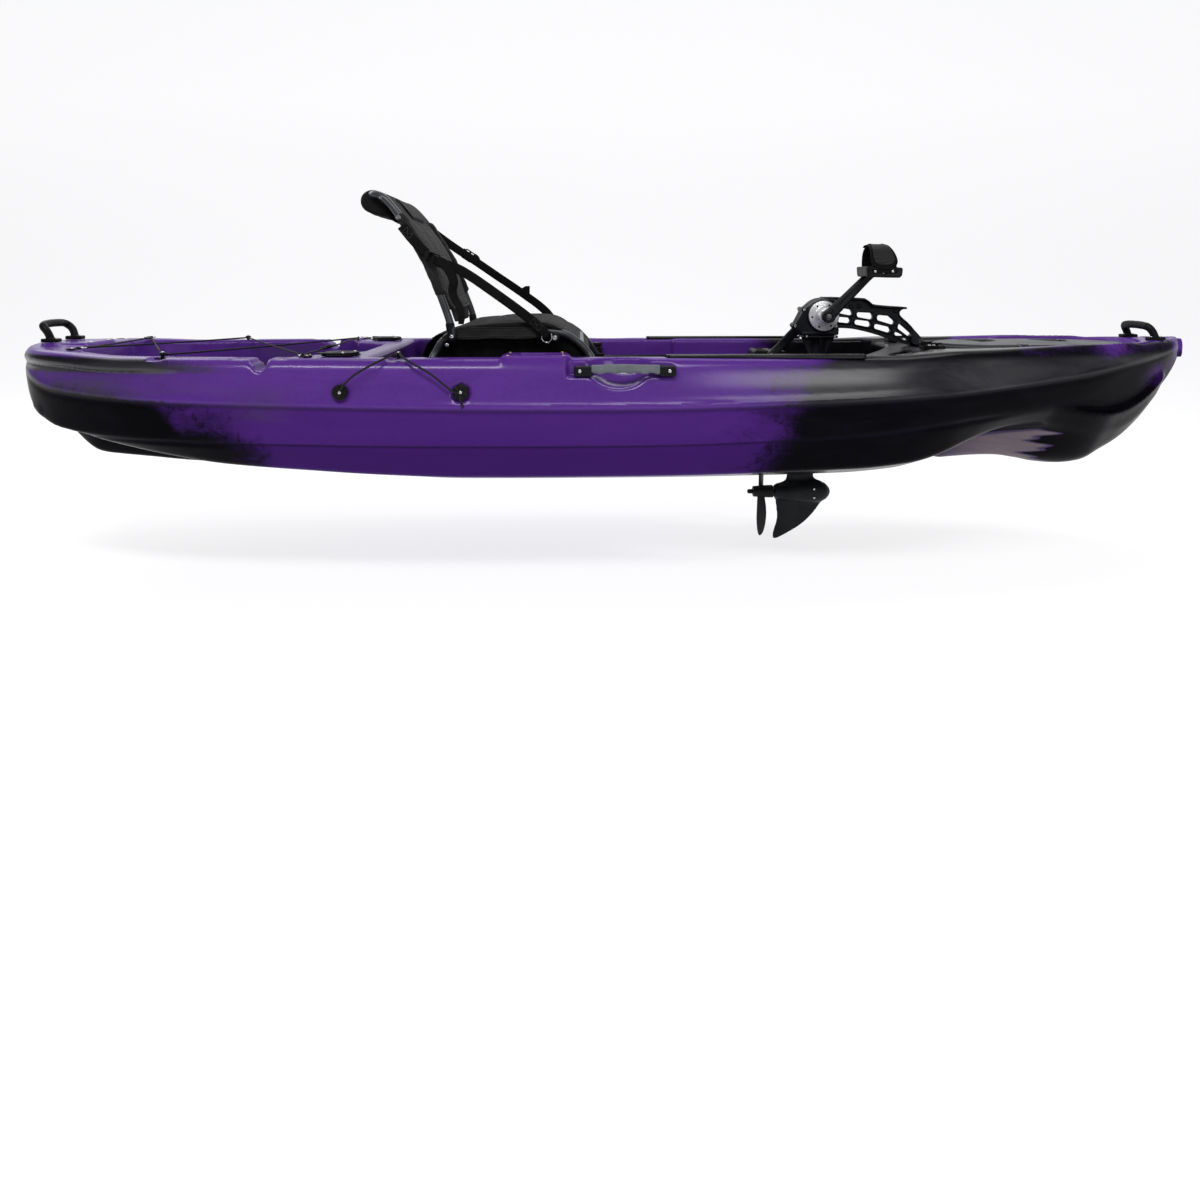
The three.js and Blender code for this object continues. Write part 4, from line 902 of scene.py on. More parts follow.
disc_mat = Mat("turned_aluminium", color=(0.6, 0.6, 0.61), rough=0.33, metal=0.45)
def _():
    M = disc_mat
    x, y, z = M.xyz()
    dx, dz = M.math("SUBTRACT", x, 0.560), M.math("SUBTRACT", z, 0.430)
    rad = M.math("SQRT", M.math("ADD", M.math("MULTIPLY", dx, dx), M.math("MULTIPLY", dz, dz)))
    ringw = M.math("SINE", M.math("MULTIPLY", rad, 9000.0))
    v = M.noise(80, 4, 0.6)
    M.color(M.mix(M.map(v, 0.3, 0.7), (0.66, 0.665, 0.675), (0.80, 0.805, 0.81)))
    M.rough(M.map(v, 0.3, 0.7, 0.28, 0.42))
    M.normal(M.bump(ringw, 0.10, 0.0002))
_()

brass_mat = Mat("brass_insert", color=(0.55, 0.36, 0.13), rough=0.3, metal=1.0)
def _():
    M = brass_mat
    v = M.noise(300, 3, 0.6)
    M.color(M.mix(M.map(v, 0.3, 0.7), (0.48, 0.30, 0.10), (0.66, 0.46, 0.18)))
    M.rough(M.map(v, 0.3, 0.7, 0.22, 0.4))
_()

cord_mat = Mat("braided_cord", rough=0.72, spec=0.15, sheen=0.05, sheen_rough=0.5)
def _():
    M = cord_mat
    uv = M.uv()
    u, v, _z = M.xyz(uv)
    a = M.math("SINE", M.math("ADD", M.math("MULTIPLY", u, 2600.0), M.math("MULTIPLY", v, 3600.0)))
    b = M.math("SINE", M.math("SUBTRACT", M.math("MULTIPLY", u, 2600.0), M.math("MULTIPLY", v, 3600.0)))
    w = M.math("MAXIMUM", a, b)
    M.color(M.mix(M.map(w, -0.4, 1.0), (0.0055, 0.0055, 0.006), (0.017, 0.017, 0.0185)))
    M.normal(M.bump(w, 0.5, 0.0005))
_()

web_mat = Mat("webbing_weave", rough=0.7, spec=0.08)
def _():
    M = web_mat
    uv = M.uv()
    u, v, _z = M.xyz(uv)
    rib = M.math("SINE", M.math("MULTIPLY", v, 2.0 * math.pi / 0.0021))
    chev = M.math("SINE", M.math("ADD", M.math("MULTIPLY", u, 2.0 * math.pi / 0.0024), M.math("MULTIPLY", M.math("SINE", M.math("MULTIPLY", v, 2.0 * math.pi / 0.0084)), 2.2)))
    w = M.math("ADD", M.math("MULTIPLY", rib, 0.6), chev)
    M.color(M.mix(M.map(w, -1.4, 1.6), (0.0018, 0.0018, 0.0020), (0.0085, 0.0085, 0.0090)))
    M.rough(M.map(w, -1.4, 1.6, 0.78, 0.56))
    M.normal(M.bump(w, 0.55, 0.0006))
_()


def woven(name, lo, hi, pitch, rough=(0.72, 0.9), strength=0.5, sheen=0.08):
    """Plain weave that runs with the object's own axes: warp along Y and weft along the slope."""
    M = Mat(name, rough=0.85, spec=0.07, sheen=sheen, sheen_rough=0.5)
    x, y, z = M.xyz()
    s = M.math("ADD", M.math("MULTIPLY", x, 0.72), M.math("MULTIPLY", z, 0.69))
    k = 2 * math.pi / pitch
    a, b = M.math("SINE", M.math("MULTIPLY", y, k)), M.math("SINE", M.math("MULTIPLY", s, k))
    chk = M.math("MULTIPLY", M.math("SINE", M.math("MULTIPLY", y, k / 2)), M.math("SINE", M.math("MULTIPLY", s, k / 2)))
    w = M.math("ADD", M.math("MULTIPLY", M.math("ADD", a, b), 0.5), M.math("MULTIPLY", chk, 0.9))
    blot = M.noise(9, 5, 0.62)
    c = M.mix(M.map(w, -1.2, 1.5), lo, hi)
    c = M.mix(M.map(blot, 0.35, 0.75, 0.0, 0.4), c, tuple(v * 1.55 for v in hi))
    M.color(c)
    M.rough(M.map(w, -1.2, 1.5, rough[1], rough[0]))
    soft = M.bump(M.noise(34, 4, 0.6), 0.35, 0.0022)
    M.normal(M.bump(w, strength, 0.0007, soft))
    return M


fabric_mat = woven("sling_fabric", (0.0040, 0.0040, 0.0039), (0.0120, 0.0120, 0.0116), 0.0030)
mesh_mat = woven("spacer_mesh", (0.006, 0.006, 0.006), (0.021, 0.021, 0.0215), 0.0046, strength=0.9)
skirt_mat = woven("skirt_net", (0.0018, 0.0018, 0.0020), (0.0048, 0.0048, 0.0052), 0.0036, strength=0.6, sheen=0.02)
skirt_edge_mat = woven("hem_cloth", (0.0100, 0.0100, 0.0102), (0.0215, 0.0215, 0.0215), 0.0030)
roll_mat = woven("roll_cloth", (0.0030, 0.0030, 0.0032), (0.0088, 0.0088, 0.0092), 0.0030, strength=0.5, sheen=0.04)
binding_mat = Mat("binding_tape", rough=0.6, spec=0.18, sheen=0.03)
def _():
    M = binding_mat
    w = M.math("SINE", M.math("MULTIPLY", M.xyz()[1], 2 * math.pi / 0.0016))
    M.color(M.mix(M.map(w, -1, 1), (0.0075, 0.0075, 0.0078), (0.018, 0.018, 0.019)))
    M.normal(M.bump(w, 0.3, 0.0004))
_()
thread_mat = Mat("stitch_thread", color=(0.055, 0.055, 0.056), rough=0.6)
def _():
    M = thread_mat
    M.color(M.mix(M.map(M.noise(900, 2, 0.5), 0.3, 0.7), (0.035, 0.035, 0.036), (0.075, 0.075, 0.076)))
_()

seat_tube_mat = Mat("seat_tube_coat", rough=0.34, metal=0.55, spec=0.4)
def _():
    M = seat_tube_mat
    M.color(M.mix(M.map(M.noise(20, 4, 0.6), 0.35, 0.7), (0.040, 0.042, 0.046), (0.062, 0.065, 0.070)))
    M.rough(M.map(M.noise(36, 5, 0.65), 0.3, 0.7, 0.28, 0.44))
    M.normal(M.bump(M.noise(500, 3, 0.6), 0.14, 0.0004))
_()

line_mat = Mat("clear_line", color=(0.42, 0.40, 0.38), rough=0.35, spec=0.5)
def _():
    M = line_mat
    M.color(M.mix(M.map(M.noise(60, 3, 0.5), 0.3, 0.7), (0.34, 0.32, 0.31), (0.50, 0.48, 0.46)))
_()

stage_mat = Mat("studio_paper", color=(0.34, 0.34, 0.343), rough=0.95, spec=0.0)
stage_mat.b.inputs["Emission Color"].default_value = (0.97, 0.97, 0.98, 1)
def _():
    M = stage_mat
    y = M.xyz()[1]
    M.put(M.b.inputs["Emission Strength"], M.map(y, -2.6, -1.85, 0.68, 0.80, smooth=True))
    M.color(M.mix(M.map(y, -2.6, -1.85, smooth=True), (0.30, 0.30, 0.302), (0.34, 0.34, 0.343)))
_()


# ---------------------------------------------------------------- hull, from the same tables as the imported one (millimetres)
DECK_Z, LEDGE_Z, FLOOR_Z, WELL_Z = 344.0, 285.0, 95.0, 200.0
BEAM = [[-1575, 22], [-1566, 100], [-1534, 167], [-1480, 229], [-1410, 277], [-1321, 316], [-1233, 343], [-1115, 367], [-938, 388], [-748, 398], [-653, 405], [-417, 410], [-181, 408], [-68, 405], [109, 398], [286, 387], [462, 375], [639, 360], [802, 335], [870, 317], [1047, 271], [1224, 220], [1342, 174], [1431, 129], [1507, 80], [1556, 35], [1575, 9]]
KEEL = [[-1575, 300], [-1545, 236], [-1475, 147], [-1448, 108], [-1388, 62], [-1331, 53], [-1202, 38], [-941, 20], [-812, 10], [-640, 0], [110, 0], [565, 5], [734, 17], [888, 30], [1042, 41], [1095, 35], [1145, 26], [1210, 22], [1266, 28], [1324, 53], [1378, 84], [1428, 125], [1478, 185], [1532, 248], [1568, 298], [1575, 310]]
GUNWALE = [[-1575, 359], [-1400, 353], [-1230, 344], [870, 344], [1180, 353], [1430, 363], [1575, 371]]
UPPER = [[-1575, 338], [-1480, 285], [-1388, 262], [-941, 240], [0, 228], [462, 235], [780, 249], [1130, 279], [1320, 302], [1440, 318], [1575, 345]]
LOWER = [[-1575, 320], [-1475, 205], [-1388, 165], [-1115, 146], [0, 135], [565, 150], [790, 172], [1000, 192], [1200, 212], [1400, 258], [1575, 330]]


def both(half):
    return list(half) + [(x, -y) for x, y in reversed(half) if y > 0.01]


TANK_TOP = both([[-1425, 150], [-1400, 185], [-1350, 220], [-1292, 247], [-1175, 278], [-1055, 290], [-938, 299], [-815, 300], [-788, 285], [-775, 231], [-675, 147]])
TANK_LOW = both([[-1385, 125], [-1362, 155], [-1318, 188], [-1262, 220], [-1165, 252], [-1055, 266], [-938, 275], [-828, 276], [-810, 262], [-797, 215], [-698, 136]])
LEDGE_TOP = both([[-623, 300], [-612, 311], [176, 311], [186, 290], [560, 280], [700, 262], [758, 240], [782, 205], [785, 60]])
LEDGE_LOW = both([[-620, 295], [-607, 307], [170, 307], [178, 284], [555, 272], [690, 254], [746, 232], [768, 200], [772, 60]])
FLOOR_TOP = both([[-585, 240], [-560, 262], [0, 264], [150, 264], [550, 252], [672, 236], [742, 208], [756, 168], [758, 60]])
FLOOR_LOW = both([[-560, 215], [-540, 240], [0, 246], [150, 246], [540, 238], [640, 215], [668, 190], [676, 150], [678, 60]])


def hull_field(X, Y, Z):
    x = X[:, 0, 0].astype(float)
    A = np.abs(Y)
    YS = Y[0, :, 0]
    col = lambda v: np.asarray(v, np.float32)[:, None, None]
    b, zk, zg = pchip(BEAM, x), pchip(KEEL, x), pchip(GUNWALE, x)
    zu, zl = pchip(UPPER, x), pchip(LOWER, x)
    zu = np.minimum(np.maximum(zu, zk + 4), zg - 2)
    zl = np.minimum(np.maximum(zl, zk + 3), zu - 1)
    bow, stern = sstep(x, 620, 1380), sstep(-x, 1200, 1560)
    # the forefoot bulges below a main body whose chine rises towards the stem
    lift = sstep(x, 700, 1010) * (1 - sstep(x, 1150, 1400))
    zmain = zk + (zl - zk) * 0.50 * lift
    # the stern body rides above a narrow skeg
    zbody = pchip([[-1575, 300], [-1545, 236], [-1488, 188], [-1440, 170], [-1300, 132], [-1200, 104], [-1100, 78], [-986, 52], [-880, 38], [-772, 27], [-650, 16], [-540, 8], [-400, 1], [-200, 0], [1575, 0]], x)
    zmain = np.minimum(np.maximum(zmain, zbody * (x < -200)), zl - 1)
    flat = 0.26 + (0.14 - 0.26) * np.maximum(bow, stern * 0.5)
    chine = 0.84 + (0.62 - 0.84) * bow
    fall = 0.42 - 0.04 * bow
    low = 0.945 + (0.86 - 0.945) * bow
    pts = [(flat * 0, zmain), (flat * b, zmain), (chine * b, zmain + fall * (zl - zmain)), (low * b, zl), (b, zu), (0.975 * b, zg - 0.28 * (zg - zu)), (0.935 * b, zg)]
    d = None
    ks = [10, 26, 9, 8, 7, 16]
    small = np.clip(b / 120, 0.1, 1)
    for i in range(6):
        dy, dz = pts[i + 1][0] - pts[i][0], pts[i + 1][1] - pts[i][1]
        L = np.maximum(np.hypot(dy, dz), 1e-6)
        e = (A - col(pts[i][0])) * col(dz / L) - (Z - col(pts[i][1])) * col(dy / L)
        d = e if d is None else smax(d, e, col(np.maximum(ks[i] * small, 0.6)))
    # keel bulge of the bow
    kb = sstep(x, 760, 900) * (1 - sstep(x, 1470, 1530))
    wk = 26 + 34 * sstep(x, 900, 1180) * (1 - sstep(x, 1240, 1440))
    slope = 0.62 + 0.25 * sstep(x, 900, 1150)
    bulge = smax((A - col(wk)) - (Z - col(zk)) * col(slope), col(zk) - Z, 34)
    bulge = smax(bulge, Z - col(zmain + 0.5 * (zl - zmain) + 30), 10) + col(60 * (1 - kb))
    d = smin(d, bulge, 30)
    # skeg of the stern
    zk2 = pchip(KEEL, np.clip(x + 28 * sstep(-x, 1250, 1400), -1575, 1575))
    skeg = smax((A - 24) - (Z - col(zk2)) * 0.62, col(zk2) - Z, 14)
    skeg = smax(skeg, Z - col(zmain + 36), 10) + col(60 * (1 - sstep(-x, 520, 760)))
    d = smin(d, skeg, 24)
    # deck: crowned side decks with a wide rolled edge
    yn = A / col(np.maximum(b, 1))
    crown = 9.0 * sstep(x, 640, 860) * (1 - sstep(x, 1300, 1460))
    stern_roll = 5.0 * sstep(-x, 900, 1300)
    inner_y = np.interp(x, [640, 760, 1100, 1300], [190, 186, 178, 120])
    side = sstep(A, col(inner_y), col(inner_y + 26)) * (1 - sstep(yn, 0.86, 0.97))
    top = col(zg) + side * col(crown) - 0.0 * A
    top = top - col(stern_roll) * sstep(yn, 0.88, 1.0)
    top = top + 3.6 * np.exp(-((A - 371) / 12.0) ** 2) * col(sstep(x, 40, 75) * (1 - sstep(x, 545, 585)))
    d = smax(d, Z - top, 26)
    d = smax(d, -(X + 1575), 10)
    # groove under the rolled rim at the stern, and the crisp steps along the side
    rim = sstep(-x, 980, 1180)
    d = d + col(rim) * 10.0 * np.exp(-((Z - col(zg - 38)) / 8.0) ** 2) * (A > 30)
    d = d - col(rim) * 3.5 * np.exp(-((Z - col(zg - 18)) / 11.0) ** 2) * (A > 30)
    mid_part = 1 - sstep(x, 1180, 1330)
    lip = mid_part * (3.4 + 3.4 * sstep(x, -560, -380) * (1 - sstep(x, 120, 330)))
    d = d - col(lip) * np.exp(-((Z - col(zu + 5)) / 10.0) ** 2) * (A > col(0.8 * b))
    d = d + col(mid_part) * 2.6 * np.exp(-((Z - col(zu - 10)) / 6.0) ** 2) * (A > col(0.8 * b))
    d = d + col((1 - sstep(x, 860, 1020)) * sstep(x, -1500, -1380)) * 4.2 * np.exp(-((Z - col(zl)) / 5.5) ** 2) * (A > col(0.7 * b))
    # shallow reflecting hollow low on the bow, above the forefoot
    hollow_q = ((X - 1010) / 190) ** 2 + ((Z - 118) / 44) ** 2
    d = d + 9.0 * np.exp(-hollow_q) * (A > 40)
    # raised pads
    blk = round_outline([(-300, 268), (-148, 268), (-136, 280), (-136, 384), (-300, 384)], 9)
    x2, y2 = X[:, :, 0], Y[:, :, 0]
    a2 = np.abs(y2)
    pad2 = poly2(x2, a2, blk)[:, :, None]
    pad = smax(pad2, np.abs(Z - 330) - 22, 5)
    sp = round_outline(both([(-1556, 78), (-1470, 83), (-1432, 80), (-1420, 60)]), 12)
    sp2 = poly2(x2, y2, sp)[:, :, None]
    spad = smax(sp2, np.abs(Z - 346) - 16, 5)

    # ---- hollows
    def hollow(top_o, zt, low_o, zb, k_floor, rt, rl=None):
        dt = poly2(x2, y2, round_outline(top_o, rt))[:, :, None]
        dl = poly2(x2, y2, round_outline(low_o, rl or rt))[:, :, None]
        t = np.clip((Z - zb) / (zt - zb), -0.2, 1.4)
        return smax(dl + (dt - dl) * t, zb - Z, k_floor)

    tank = hollow(TANK_TOP, 404, TANK_LOW, WELL_Z, 34, 30, 26)
    # low step across the well floor, and the flanges round its scuppers
    ledge = hollow(LEDGE_TOP, 404, LEDGE_LOW, LEDGE_Z, 9, [16] * 30, [14] * 30)
    floor_t = poly2(x2, y2, round_outline(FLOOR_TOP, 34))[:, :, None]
    floor_l = poly2(x2, y2, round_outline(FLOOR_LOW, 40))[:, :, None]
    t = np.clip((Z - FLOOR_Z) / (LEDGE_Z - FLOOR_Z), -0.2, 1.3)
    terr = (np.abs(((Z - 118) / 46.0) % 1.0 - 0.5) * 2 - 0.5) * 9.0 * sstep(X, 520, 640) * sstep(Z, 112, 128) * (1 - sstep(Z, 250, 268))
    fl = smax(floor_l + (floor_t - floor_l) * t + terr, FLOOR_Z - Z, 26)
    fl = smax(fl, Z - (LEDGE_Z + 14), 2)
    # slot rim and the console that climbs to the foredeck
    plat_lo = round_outline([(40, -104), (640, -104), (640, 104), (40, 104)], 26)
    plat_hi = round_outline([(58, -86), (612, -86), (612, 86), (58, 86)], 16)
    tp = np.clip((Z - FLOOR_Z) / 30.0, 0, 1.2)
    plat = smax(poly2(x2, y2, plat_lo)[:, :, None] * (1 - tp) + poly2(x2, y2, plat_hi)[:, :, None] * tp, Z - 125, 7)
    xs_c = x
    top_c = np.interp(xs_c, [500, 530, 556, 572, 650, 760, 800, 830], [20, 95, 286, 300, 300, 332, 346, 346])
    half_top = np.interp(xs_c, [530, 570, 640, 700, 740, 775, 800], [72, 66, 50, 52, 62, 90, 150])
    half_low = np.interp(xs_c, [530, 600, 640, 700, 740, 775, 800], [80, 78, 76, 80, 96, 130, 190])
    tc = np.clip((Z - FLOOR_Z) / 205.0, 0, 1.3)
    cons = smax(A - (col(half_low) + col(half_top - half_low) * tc), Z - col(top_c), 12)
    cons = smax(cons, 528 - X + (Z - 95) * 0.14, 12)
    bar = smax(sd_box(X, Y, Z, (-330, 0, 98), (290, 30, 11), 5), -(X + 0) * 0 - 1e3, 1)
    bar2 = sd_seg(X, Y, Z, (-640, 0, LEDGE_Z - 6), (-545, 0, LEDGE_Z - 6), 22)
    bar2 = smin(bar2, sd_seg(X, Y, Z, (-545, 0, LEDGE_Z - 6), (-536, 0, 110), 22), 12)
    fl = smax(fl, -plat, 9)
    fl = smax(fl, -bar, 6)
    block_cut = smax(pad2, np.abs(Z - 300) - 60, 2)
    hole = smin(smin(tank, ledge, 4), fl, 8)
    hole = smax(hole, -bar2, 8)
    hole = smax(hole, -cons, 14)
    hole = smax(hole, -block_cut, 6)
    d = smin(d, pad, 7)
    d = smin(d, spad, 8)
    edge_k = 15.0
    d = smax(d, -hole, edge_k)

    def cut(s, k):
        nonlocal d
        d = smax(d, -s, k)

    # notches for a paddle or pole, with flats on both sides
    for s in (1, -1):
        ch = smax(sd_seg(X, Y, Z, (-868, s * 286, 329), (-868, s * 460, 329), 13.5), -1e3, 1)
        ch = smin(ch, sd_box(X, Y, Z, (-874, s * 370, 356), (18, 86, 24), 6), 8)
        cut(ch, 9)
        for x0, x1 in ((-944, -900), (-841, -812)):
            cut(sd_box(X, Y, Z, ((x0 + x1) / 2, s * 343, 366), ((x1 - x0) / 2, 33, 25), 3), 3)
        # lacing pockets, deck cord scoops
        cut(sd_box(X, Y, Z, (-1130, s * 316, 352), (17, 17, 16), 4), 3)
        scoop = smin(sd_seg(X, Y, Z, (-549, s * 344, 352), (-549, s * 352, 352), 27), sd_seg(X, Y, Z, (-549, s * 352, 352), (-549, s * 450, 344), 20, 46), 8)
        cut(smax(scoop, -(Z - 338) * 1.0, 4), 6)
        # side handle seat, finger scoop
        q = np.sqrt(((X + 18) / 86) ** 2 + ((Y - s * 404) / 66) ** 2 + ((Z - 346) / 72) ** 2)
        cut((q - 1) * 60, 7)
        cut(sd_box(X, Y, Z, (-17, s * 412, 338), (127, 38, 35), 7), 5)
        for bx in (-670, -390):
            cut(sd_rod(X, Y, Z, (bx, s * 398.5, 270), (bx, s * 450, 270), 22, 4), 7)
        cut(sd_rod(X, Y, Z, (-700, s * 268, 138), (-700, s * 268, 400), 26, 2), 3)
        # flat seats under the rod holders
        rh = round_outline([(-700 + dx, s * 268 + s * dy) for dx, dy in ((-50, -20), (-24, -46), (39, -33), (50, -2), (35, 40), (-25, 46), (-50, 29))], 9)
        rh2 = poly2(x2, y2, rh)[:, :, None]
        cut(smax(rh2, 343.4 - Z, 2), 3)
        # flats under the latches on the foredeck, between raised edges
        lp = round_outline([(778, s * 104), (818, s * 104), (818, s * 192), (778, s * 192)], 9)
        cut(smax(poly2(x2, y2, lp)[:, :, None], 341.5 - Z, 2), 3)
        cut(sd_rod(X, Y, Z, (842, s * 96, 352), (842, s * 184, 352), 15, 4), 4)
        # sump round each floor scupper
        for sx, sy in ((-197, 138), (180, 134), (588, 122)):
            cut(sd_rod(X, Y, Z, (sx, s * sy, -60), (sx, s * sy, 100), 17, 1), 4)
            ringr = np.sqrt((X - sx) ** 2 + (Y - s * sy) ** 2)
            near = sstep(Z, 84, 92) * (1 - sstep(Z, 106, 112))
            d = d - near * 4.4 * (sstep(ringr, 24, 27) - sstep(ringr, 44, 49))
            d = d + near * 2.4 * np.exp(-((ringr - 33) / 2.6) ** 2)
        cut(sd_rod(X, Y, Z, (-947, s * 168, -60), (-947, s * 168, 205), 17, 1), 5)
        ringr = np.sqrt((X + 947) ** 2 + (Y - s * 168) ** 2)
        near = sstep(Z, 188, 196) * (1 - sstep(Z, 212, 220))
        d = d - near * 3.2 * (sstep(ringr, 22, 26) - sstep(ringr, 34, 38))
    # beds of the gear tracks
    for s in (1, -1):
        cut(sd_box(X, Y, Z, (340, s * 331, 350), (244, 14.6, 10.0), 1.5), 2)
    # step across the well floor
    near = sstep(Z, 186, 196) * (1 - sstep(Z, 212, 222))
    d = d - near * 2.6 * sstep(-X, 1090, 1098) * (1 - sstep(A, 236, 250))
    cut(sd_rod(X, Y, Z, (-1229, 0, 198.5), (-1229, 0, 240), 82, 1), 2)
    # cross rod groove and the room of the arm that turns on it
    cut(sd_rod(X, Y, Z, (838, -36, 350.5), (838, 36, 350.5), 18.5, 2), 4)
    cut(sd_rod(X, Y, Z, (838, -186, 350.5), (838, 186, 350.5), 9, 1), 4)
    cut(sd_rod(X, Y, Z, (-229.5, 342, 300), (-229.5, 342, 420), 37, 2), 3)
    dp = round_outline([(-257, -362), (-200, -362), (-180, -342), (-180, -310), (-200, -290), (-257, -290)], 10)
    cut(smax(poly2(x2, y2, dp)[:, :, None], 320 - Z, 12), 5)
    # bow hatch seat: a sloping outer band, a fold, and the flat that carries the rim
    def oval(rx, ry):
        q = np.sqrt(((X - 1147) / rx) ** 2 + (Y / ry) ** 2)
        g = np.sqrt(((X - 1147) / rx ** 2) ** 2 + (Y / ry ** 2) ** 2) + 1e-9
        return q * (q - 1) / g
    o1 = oval(292.0, 178.0)
    cut(smax(o1 + (352 - Z) * 0.9, 343.5 - Z, 3), 5)
    cut(smax(oval(274.0, 159.0), 339.8 - Z, 2), 2)
    cut(smax(oval(228.0, 108.0), 250 - Z, 4), 4)
    # stores under the bow hatch and the round hatch
    inner = None
    for i in range(6):
        dy, dz = pts[i + 1][0] - pts[i][0], pts[i + 1][1] - pts[i][1]
        L = np.maximum(np.hypot(dy, dz), 1e-6)
        e = (A - col(pts[i][0])) * col(dz / L) - (Z - col(pts[i][1])) * col(dy / L)
        inner = e if inner is None else np.maximum(inner, e)
    store = smax(smax(inner + 30, Z - 326, 14), np.abs(X - 1120) - 225, 30)
    store = smax(store, A - 150, 20)
    store = smax(store, 96 - Z + 0 * X, 12)
    cut(store, 6)
    cut(sd_rod(X, Y, Z, (-341, 0, 58), (-341, 0, 140), 98, 2), 3)
    cut(sd_rod(X, Y, Z, (-341, 0, 10), (-341, 0, 84), 150, 12), 4)
    col_r = sd_rod(X, Y, Z, (-341, 0, 88), (-341, 0, 112), 130, 3)
    d = smin(d, smax(col_r, 97 - np.sqrt((X + 341) ** 2 + Y ** 2), 2), 5)
    # drive slot and the pocket over the propeller
    cut(sd_box(X, Y, Z, (337.5, 0, 140), (252.5, 56, 200), 10), 6)
    cut(sd_rod(X, Y, Z, (332, 0, -62), (456, 0, -62), 135, 4), 8)
    # dished seats of the bow handle and the hollow ahead of it
    for s in (1, -1):
        cut(sd_box(X, Y, Z, (1474, s * 62, 380), (27, 15, 18), 4), 3)
        cut(sd_box(X, Y, Z, (-1528, s * 58, 380), (26, 15, 18), 4), 2)
    qd = np.sqrt(((X - 1512) / 44) ** 2 + (Y / 44) ** 2 + ((Z - 376) / 17) ** 2)
    cut((qd - 1) * 15, 4)
    # oval plug seat
    qd = np.sqrt(((X + 1470) / 15) ** 2 + ((Y - 188) / 20) ** 2) - 1
    cut(smax(qd * 16, 349 - Z, 2), 2)
    return d


def spread(v, pts):
    """Sum of soft blobs: rows are centre, radii and strength."""
    out = np.zeros(len(v))
    for cx, cy, cz, rx, ry, rz, w in pts:
        q = ((v[:, 0] - cx) / rx) ** 2 + ((np.abs(v[:, 1]) if cy >= 0 and ry < 900 and cy != 0.5 else v[:, 1]) - cy) ** 2 / ry ** 2 + ((v[:, 2] - cz) / rz) ** 2
        out += w * np.exp(-q)
    return out


